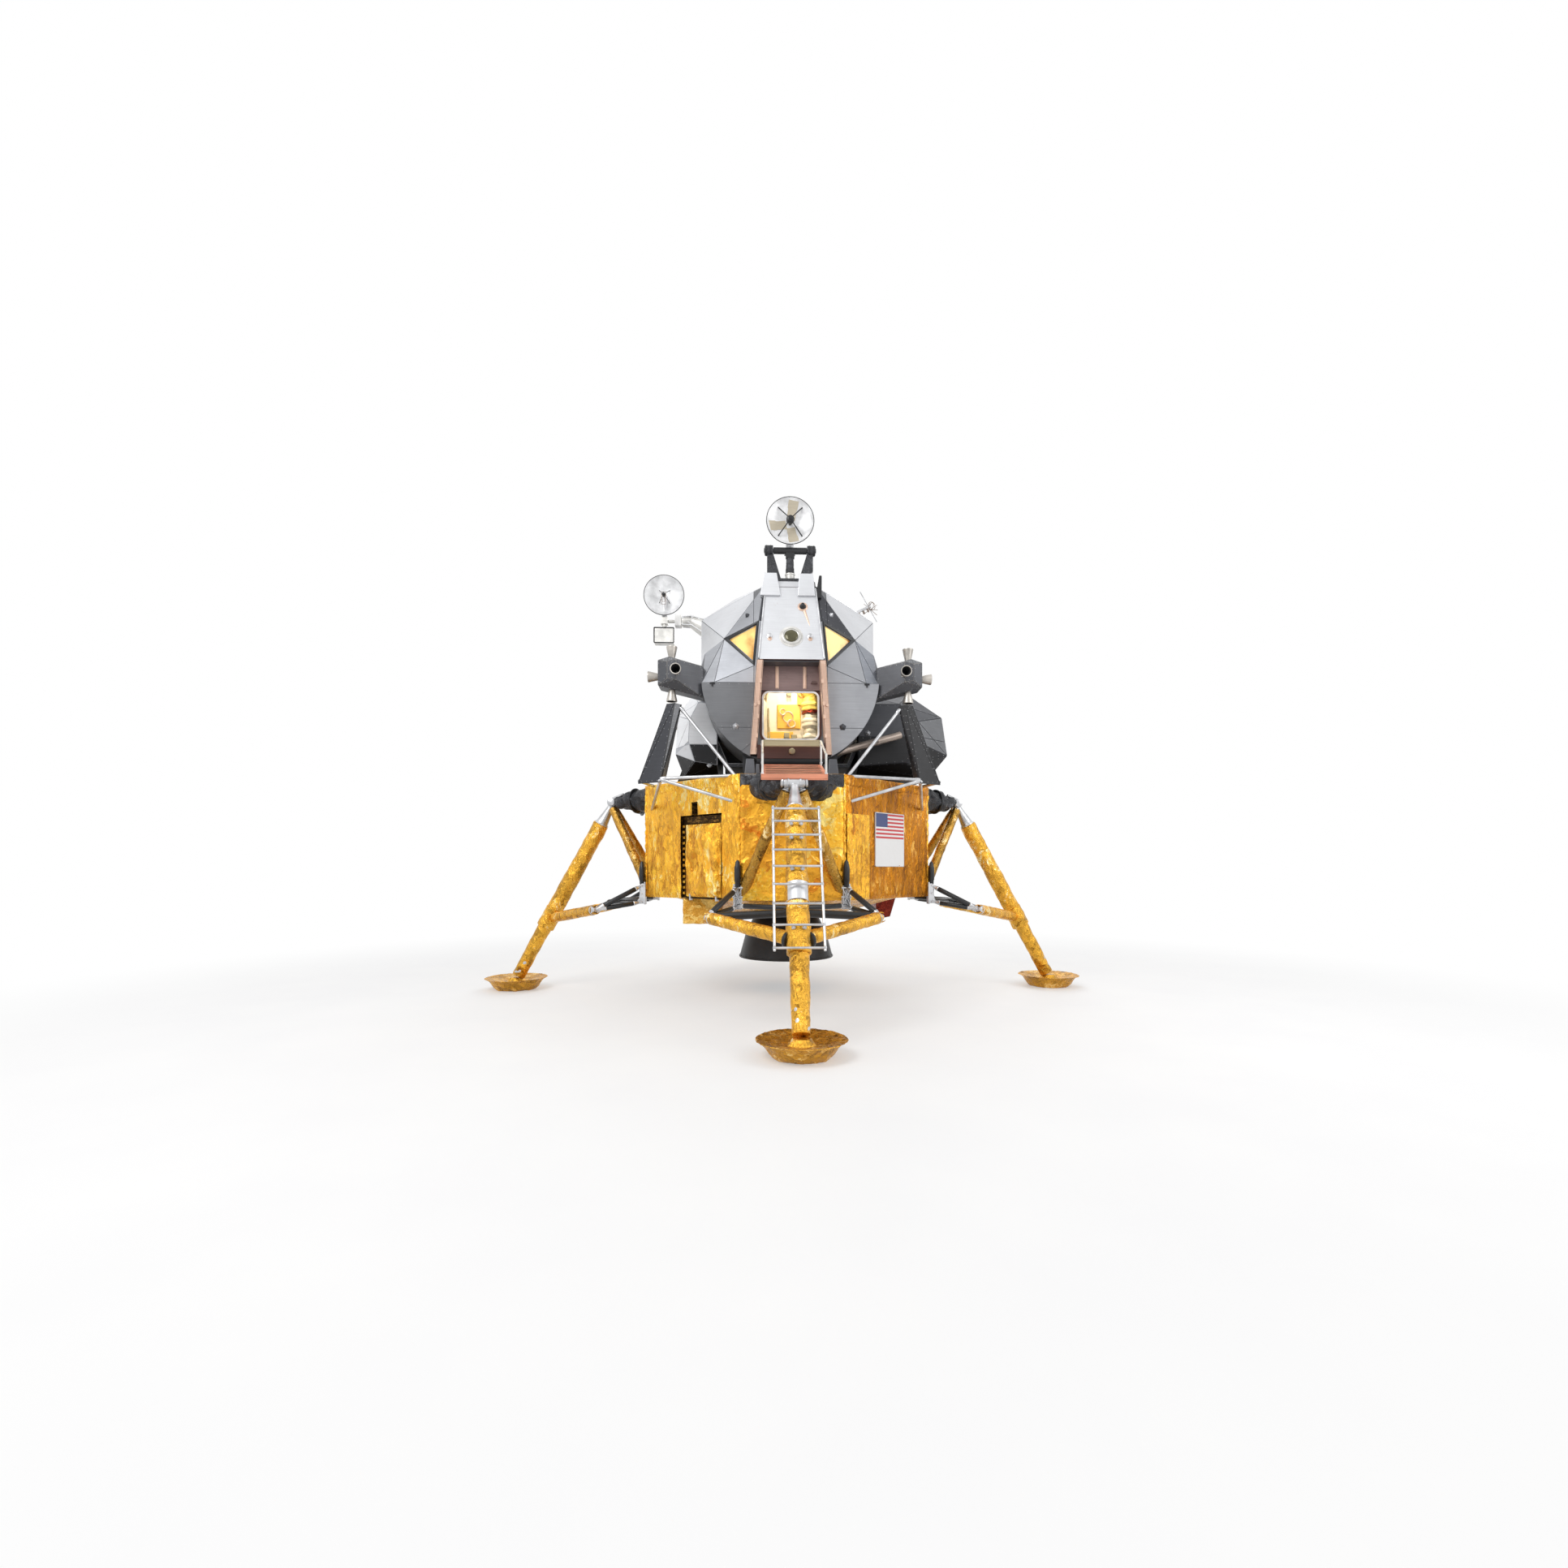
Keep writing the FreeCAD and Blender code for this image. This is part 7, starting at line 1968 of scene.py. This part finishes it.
@dataclass
class Dish:
    """A thin round reflector facing -Y with its rim wire, hub, feed and feed struts."""

    name: str
    body: str
    vertex: Point
    radius: float
    depth: float
    feed_out: float
    strut_share: float
    feed_radius: float
    sectors: tuple[tuple[float, float], ...] = ()

    def at(self, radius: float, degrees: float, out: float = 0.0) -> Vector:
        """A point on the bowl at a radius and a clock angle, set off towards -Y.

        Args:
            radius: distance from the middle.
            degrees: clock angle.
            out: how far it is set off.

        Returns:
            The point.
        """
        bowl = self.depth * (radius / self.radius) ** 2
        turn = math.radians(degrees)
        return Vector(self.vertex) + Vector((radius * math.cos(turn), -bowl - out, radius * math.sin(turn)))

    def bowl(self) -> None:
        """The reflector shell and its dark rim wire."""
        steps = 14
        rings = [(-0.006, 0.012)]
        rings += [(self.depth * (step / steps) ** 2 - 0.006, self.radius * step / steps)
            for step in range(1, steps + 1)]
        rings += [(self.depth + 0.003, self.radius + 0.002), (self.depth + 0.004, self.radius - 0.003)]
        rings += [(self.depth * (step / steps) ** 2 + 0.001, self.radius * step / steps - 0.002)
            for step in range(steps - 1, 0, -1)] + [(0.001, 0.012)]
        start = Vector(self.vertex)
        dress(turned(f"{self.name}_bowl", start, start + Vector((0, -1, 0)), rings, 72),
            Skin.DISH_WHITE, "white_dish", self.body)
        rim = start_with(bpy.ops.mesh.primitive_torus_add, f"{self.name}_rim",
            major_radius=self.radius + 0.001, minor_radius=0.0058, major_segments=96,
            minor_segments=8, rotation=UPRIGHT, location=start + Vector((0, -self.depth - 0.001, 0)))
        smooth(rim, 60.0)
        dress(rim, Skin.BLACK_TUBE, "black_tube", self.body)

    def petals(self) -> None:
        """Tan patches laid on the bowl between two clock angles each."""
        for number, (low, high) in enumerate(self.sectors):
            middle = math.radians((low + high) / 2)
            reach = self.radius * 0.62
            centre = self.at(reach * 0.8, math.degrees(middle), 0.012)
            piece = start_with(bpy.ops.mesh.primitive_grid_add, f"{self.name}_petal_{number + 1}",
                (self.radius * 0.66, self.radius * 0.36, 1), size=1.0, x_subdivisions=12,
                y_subdivisions=8, location=(0, 0, 0))
            piece.rotation_euler = UPRIGHT
            applied(piece)
            piece.matrix_world = Matrix.Translation(centre) @ Matrix.Rotation(-middle, 4, "Y")
            applied(piece)
            edit(piece, "VERT")
            pick(piece, "verts", lambda vertex: (vertex.co - Vector(self.vertex)).length > self.radius * 0.6)
            bpy.ops.transform.resize(value=(1.18, 1, 1.18), center_override=centre)
            done()
            for vertex in piece.data.vertices:
                flat = math.hypot(vertex.co.x - self.vertex[0], vertex.co.z - self.vertex[2])
                vertex.co.y = self.vertex[1] - self.depth * (flat / self.radius) ** 2 - 0.0035
            smooth(outward(thicken(piece, 0.002, 0.0)), 40.0)
            dress(piece, Skin.PETAL_SHEET, "white_dish", self.body)

    def feed(self) -> None:
        """The feed on its four thin struts, and the hub behind the bowl."""
        out = Vector(self.vertex) + Vector((0, -self.feed_out, 0))
        parts = [turned("feed", out + Vector((0, 0.045, 0)), out - Vector((0, 0.2, 0)),
            [(0, self.feed_radius * 0.7), (0.01, self.feed_radius), (0.045, self.feed_radius),
            (0.05, self.feed_radius * 0.82), (0.072, self.feed_radius * 0.78),
            (0.078, self.feed_radius * 0.45), (0.09, self.feed_radius * 0.4)], 32),
            bar("stalk", self.vertex, out, self.feed_radius * 0.34, self.feed_radius * 0.3, 20, 4)]
        parts += [bar("strut", self.at(self.radius * self.strut_share, degrees),
            out + Vector((0.6 * self.feed_radius * math.cos(math.radians(degrees)), 0,
            0.6 * self.feed_radius * math.sin(math.radians(degrees)))), self.feed_radius * 0.15,
            self.feed_radius * 0.12, 8, 3) for degrees in (50, 130, 230, 310)]
        dress_group(f"{self.name}_feed", parts, Skin.BLACK_TUBE, "black_tube", self.body)
        back = Vector(self.vertex) + Vector((0, 0.004, 0))
        dress(turned(f"{self.name}_hub", back, back + Vector((0, 1, 0)),
            [(0, 0.078), (0.006, 0.084), (0.03, 0.084), (0.036, 0.07), (0.052, 0.066), (0.058, 0.03)],
            40), Skin.WHITE_TUBE, "white_dish", self.body)
        studs = [(self.at(self.radius * 0.55, degrees, 0.002), Vector((0, -1, 0)))
            for degrees in range(0, 360, 60)]
        Fasteners(f"{self.name}_studs", studs, 0.005).build(self.body)

    def build(self) -> None:
        """Builds the dish."""
        self.bowl()
        self.petals()
        self.feed()


@dataclass
class Antennas(SubAssembly):
    """Tracking radar, steerable dish on its lattice boom, and the small crossed antennas."""

    boom_axis: Point = (-1.885, -0.35, 5.7)

    def radar(self) -> None:
        """The radar's taped black stand, its bar with end caps, and its dish."""
        self.repaint({"radar_stand": Skin.BLACK_WRAP, "radar_tilt_bar": Skin.BLACK_TUBE,
            "radar_dish": Skin.DISH_WHITE})
        Dish("radar", "radar_head", (0, -1.485, 6.678), 0.325, 0.11, 0.15, 0.8, 0.056,
            ((60, 100), (170, 215), (262, 300))).build()
        parts = []
        for side in (-1, 1):
            parts.append(turned("end_cap", (side * 0.345, -1.5, 6.3), (side * 0.4, -1.5, 6.3),
                [(0, 0.066), (0.006, 0.06), (0.01, 0.034), (0.016, 0.03), (0.018, 0.012)], 36))
            parts += [turned("band", (side * x, -1.5, 6.3), (side * (x + 0.1), -1.5, 6.3),
                [(0, 0.07), (0.002, 0.073), (0.014, 0.073), (0.016, 0.07)], 40) for x in (0.262, 0.318)]
        dress_group("radar_bearing_bands", parts, Skin.BLACK_TUBE, "black_tube")
        collar = turned("radar_post_collar", (0, -1.5, 5.878), (0, -1.5, 6.1),
            [(0, 0.056), (0.004, 0.064), (0.07, 0.066), (0.078, 0.072), (0.092, 0.072), (0.1, 0.058)], 40)
        crumple(collar, "CLOUDS", 0.05, 0.004, 0.5)
        dress(collar, Skin.WHITE_TUBE, "bare_alloy")
        tape = bar("radar_post_tape", (0, -1.5, 5.975), (0, -1.5, 6.182), 0.063, 0.05, 40, 24)
        crumple(tape, "VORONOI", 0.045, 0.01, 0.6)
        dress(smooth(tape, 30.0), Skin.BLACK_WRAP, "black_tube")

    def steerable(self) -> None:
        """The steerable dish, its case with a dark frame, and the white lattice boom."""
        self.repaint({"antenna_boom": Skin.WHITE_TUBE, "antenna_yoke": Skin.WHITE_TUBE,
            "antenna_dish": Skin.DISH_WHITE})
        x, y, z = self.boom_axis
        Dish("steerable", "antenna_head", (x, y + 0.015, 6.078), 0.305, 0.09, 0.12, 0.42, 0.03).build()
        frame_bars = []
        low, high = (x - 0.15, z - 0.35), (x + 0.15, z - 0.12)
        front = y - 0.078
        frame_bars += [bar("edge", (start[0], front, start[1]), (end[0], front, end[1]), 0.0085, 0.0085,
            10) for start, end in (((low[0], low[1]), (high[0], low[1])),
            ((low[0], high[1]), (high[0], high[1])), ((low[0], low[1]), (low[0], high[1])),
            ((high[0], low[1]), (high[0], high[1])))]
        dress_group("antenna_case_frame", frame_bars, Skin.BLACK_TUBE, "black_tube", "antenna_swivel")
        ribs = [block("rib", (x + 0.165 + 0.018 * step, y - 0.076, z - 0.085),
            (x + 0.173 + 0.018 * step, y + 0.076, z + 0.085), 0.002) for step in range(5)]
        dress_group("antenna_gearbox_ribs", ribs, Skin.DISH_WHITE, "white_dish", "antenna_swivel")
        loop = []
        for width, height, shift in ((0.034, 0.095, 0.128), (0.02, 0.06, 0.132)):
            corners = [(-width, -height), (width, -height), (width, height), (-width, height)]
            loop += [bar("loop", (x + ax, y + 0.015 - shift, 6.02 + az),
                (x + bx, y + 0.015 - shift, 6.02 + bz), 0.0035, 0.0035, 8)
                for (ax, az), (bx, bz) in zip(corners, corners[1:] + corners[:1])]
        dress_group("steerable_feed_frame", loop, Skin.STRAW_METAL, "white_dish", "antenna_head")
        self.lattice()

    def lattice(self) -> None:
        """Four longerons, rings and diagonals round the boom."""
        x, y, z = self.boom_axis
        rods = []
        sections = ((x + 0.275, z, 0.086), (x + 0.42, z, 0.098), (x + 0.53, z - 0.055, 0.125),
            (x + 0.64, z - 0.11, 0.158))
        for number, (place, height, reach) in enumerate(sections):
            ring = [Vector((place, y + reach * math.cos(turn), height + reach * math.sin(turn)))
                for turn in (math.radians(45.0 + 90.0 * side) for side in range(4))]
            rods += [bar("ring", start, end, 0.008, 0.008, 10) for start, end in zip(ring,
                ring[1:] + ring[:1])]
            if number:
                for side in range(4):
                    rods += [bar("longeron", before[side], ring[side], 0.01, 0.01, 10),
                        bar("diagonal", before[side], ring[(side + 1) % 4], 0.007, 0.007, 10)]
            before = ring
        dress_group("boom_lattice", rods, Skin.DISH_WHITE, "white_tube")

    def crossed(self) -> None:
        """Loops, sleeves and crossed rods on the two small antennas."""
        self.repaint({"whip_antennas": Skin.BARE_METAL})
        parts = []
        for side, y in ((1, -0.42), (-1, 0.48)):
            tip = Vector((side * 1.29, y, 5.9))
            foot = Vector((side * 0.96, y, 5.74))
            run = (tip - foot).normalized()
            parts += [turned("sleeve", foot + (tip - foot) * share, tip + run,
                [(0, 0.022), (0.004, 0.028), (0.022, 0.028), (0.026, 0.022)], 20)
                for share in (0.25, 0.45, 0.65, 0.85)]
            for turn, size in ((25, 0.062), (115, 0.05)):
                hoop = start_with(bpy.ops.mesh.primitive_torus_add, "hoop", major_radius=size,
                    minor_radius=0.0045, major_segments=40, minor_segments=8,
                    location=tip + Vector((side * 0.02, 0, 0.055)), rotation=(math.radians(90.0), 0,
                    math.radians(turn)))
                parts.append(smooth(hoop, 60.0))
            parts += [bar("rod", tip - aim, tip + aim, 0.0045, 0.0035, 8, 2)
                for aim in (Vector((0.11, 0.05, 0.09)), Vector((-0.09, 0.07, 0.11)),
                Vector((0.1, -0.09, -0.04)))]
        dress_group("small_antenna_fittings", parts, Skin.STRAW_METAL, "bare_alloy")

    def build(self) -> None:
        """Builds every antenna."""
        self.radar()
        self.steerable()
        self.crossed()


@dataclass
class SmallFittings(SubAssembly):
    """Bumps, clips, the drain tube and bell bands found with a plumb line from the front."""

    def touched(self, node: str, x: float, z: float) -> tuple[Vector, Vector] | None:
        """Where a line along +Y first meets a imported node, and the face's normal there."""
        found, spot, normal, _ = self.frame["nodes"][node].ray_cast((x, -6, z), (0, 1, 0))
        return (spot.copy(), normal.copy()) if found else None

    def bumps(self) -> None:
        """Small three-sided vents standing on the flats."""
        bright, dark = [], []
        for node, x, z, size, store in (("crew_cabin", -0.743, 3.814, 0.05, bright),
                ("crew_cabin", 0.709, 3.814, 0.05, dark), ("crew_cabin", -0.586, 5.37, 0.036, dark),
                ("crew_cabin", 0.56, 5.385, 0.036, bright), ("right_tank_fairing", 1.18, 3.9, 0.046,
                bright), ("left_tank_fairing", -1.16, 3.42, 0.046, bright)):
            hit = self.touched(node, x, z)
            if hit:
                spot, normal = hit
                store.append(turned("vent", spot, spot + normal, [(0.004, size), (0.01, size * 0.98),
                    (0.04, size * 0.34), (0.044, size * 0.22)], 5))
        dress_group("bright_vents", bright, Skin.WHITE_SHEET, "light_panel")
        dress_group("dark_vents", dark, Skin.DUSK_SHEET, "dark_panel")

    def clips(self) -> None:
        """Black clips on the cabin's seam."""
        clips = [block("clip", (x - 0.035, -1.742, 4.385), (x + 0.035, -1.724, 4.407), 0.004)
            for x in (-1.06, 1.04)]
        clips += [block("clip", (x - 0.01, -1.748, 4.355), (x + 0.01, -1.728, 4.39), 0.003)
            for x in (-1.06, 1.04)]
        dress_group("seam_clips", clips, Skin.BLACK_TUBE, "black_tube")

    def drain_tube(self) -> None:
        """The straw-coloured tube that slopes up from the cabin to the right."""
        start, end = (0.6, -1.42, 3.5), (1.64, -1, 3.85)
        length = (Vector(end) - Vector(start)).length
        dress(turned("drain_tube", start, end, [(0, 0.048), (0.006, 0.054), (length * 0.62, 0.054),
            (length * 0.63, 0.058), (length * 0.66, 0.058), (length * 0.67, 0.054), (length - 0.006, 0.054),
            (length, 0.046)], 40), Skin.STRAW_METAL, "bare_alloy")

    def bell_bands(self) -> None:
        """Stiffening bands round the descent engine's bell."""
        bands = [turned("band", (0, 0, height), (0, 0, 2), [(0, radius), (0.004, radius + 0.009),
            (0.022, radius + 0.009), (0.026, radius)], 96) for height, radius in ((0.502, 0.738),
            (0.76, 0.64), (1.02, 0.52))]
        for turn in range(0, 360, 15):
            angle = math.radians(turn)
            bands.append(bar("stringer", (0.742 * math.cos(angle), 0.742 * math.sin(angle), 0.51),
                (0.6 * math.cos(angle), 0.6 * math.sin(angle), 0.86), 0.004, 0.004, 6, 3))
        dress_group("bell_bands", bands, Skin.BELL_DARK, "nozzle_coating", "engine")

    def build(self) -> None:
        """Builds the small fittings."""
        self.bumps()
        self.clips()
        self.drain_tube()
        self.bell_bands()


# ---------------------------------------- studio

@dataclass
class Studio:
    """Pale floor, soft light and the camera."""

    floor_half: float = 60.0
    eye: Point = (-0.4151, -11.3679, 1.87)
    turn: float = -2.09
    lens: float = 16.332
    shift: tuple[float, float] = (-0.0013, 0.0549)

    def floor(self) -> None:
        """A pale floor that shows the lander's shadow and fades into the background."""
        floor = start_with(bpy.ops.mesh.primitive_plane_add, "studio_floor",
            size=2 * self.floor_half, location=(0, 0, -0.001))
        graph = Graph("studio floor")
        dust = graph.noise(graph.place(), 0.8, 3.0)
        colour = graph.ramp(dust, ((0.3, (0.9, 0.9, 0.91)), (0.7, (0.94, 0.94, 0.94))))
        graph.shade(Base_Color=colour, Roughness=0.6)
        reach = graph.add("VectorMath", {0: graph.add("TexCoord").outputs["Object"]}, operation="LENGTH")
        far = graph.add("MapRange", {0: reach.outputs["Value"], 1: 5.5, 2: 13.0, 3: 0.35,
            4: 1.0}, interpolation_type="SMOOTHSTEP").outputs[0]
        white = graph.add("Emission", {"Color": (1, 1, 1, 1), "Strength": 1.0}).outputs[0]
        mixed = graph.add("MixShader", {0: graph.maths("MULTIPLY", graph.seen(), far),
            1: graph.shader.outputs[0], 2: white})
        graph.feed(graph.tree.nodes["Material Output"].inputs["Surface"], mixed.outputs[0])
        floor.data.materials.append(graph.material)

    def light(self) -> None:
        """A white world for the background and reflections, a softer one for light, and two large lamps."""
        world = bpy.data.worlds.new("studio")
        graph = Graph("studio", world)
        level = graph.add("MapRange", {"Value": graph.seen(), "To Min": 0.62, "To Max": 1.0}).outputs[0]
        background = graph.tree.nodes["Background"]
        graph.feed(background.inputs["Strength"], level)
        graph.feed(background.inputs["Color"], (1, 1, 1, 1))
        bpy.context.scene.world = world
        for name, place, size, watts in (("key", (-6, -9, 10.5), 6, 620), ("fill", (8, -6, 7), 6, 260),
                ("rear", (2, 10, 9), 7, 420)):
            bpy.ops.object.light_add(type="AREA", location=place)
            lamp = bpy.context.object
            lamp.name = name
            lamp.data.size = size
            lamp.data.energy = watts
            lamp.rotation_euler = (Vector((0, 0, 2.6)) - Vector(place)).to_track_quat("-Z", "Y").to_euler()

    def camera(self) -> None:
        """The camera, level and at a standing person's eye height."""
        bpy.ops.object.camera_add(location=self.eye, rotation=(math.radians(90.0), 0,
            math.radians(self.turn)))
        camera = bpy.context.object
        camera.name = "camera"
        camera.data.sensor_width = 36.0
        camera.data.lens = self.lens
        camera.data.shift_x, camera.data.shift_y = self.shift
        camera.data.clip_end = 300.0
        bpy.context.scene.camera = camera

    def build(self) -> None:
        """Sets up the studio."""
        self.floor()
        self.light()
        self.camera()
        bpy.context.scene.view_settings.view_transform = "Standard"


def main() -> None:
    """Builds the lander's looks sub-assembly by sub-assembly."""
    logging.basicConfig(level=logging.INFO, format="%(name)s %(message)s")
    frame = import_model()
    bpy.ops.object.select_all(action="DESELECT")
    leg = LandingLeg(frame)
    for assembly in (Studio(), DescentStage(frame), leg, Ladder(frame, leg), AscentSkin(frame),
            FacePanel(frame), CabinInside(frame), Porch(frame), ThrusterCluster(frame),
            Deflectors(frame), Antennas(frame), SmallFittings(frame)):
        assembly.build()


if __name__ == "__main__":
    main()
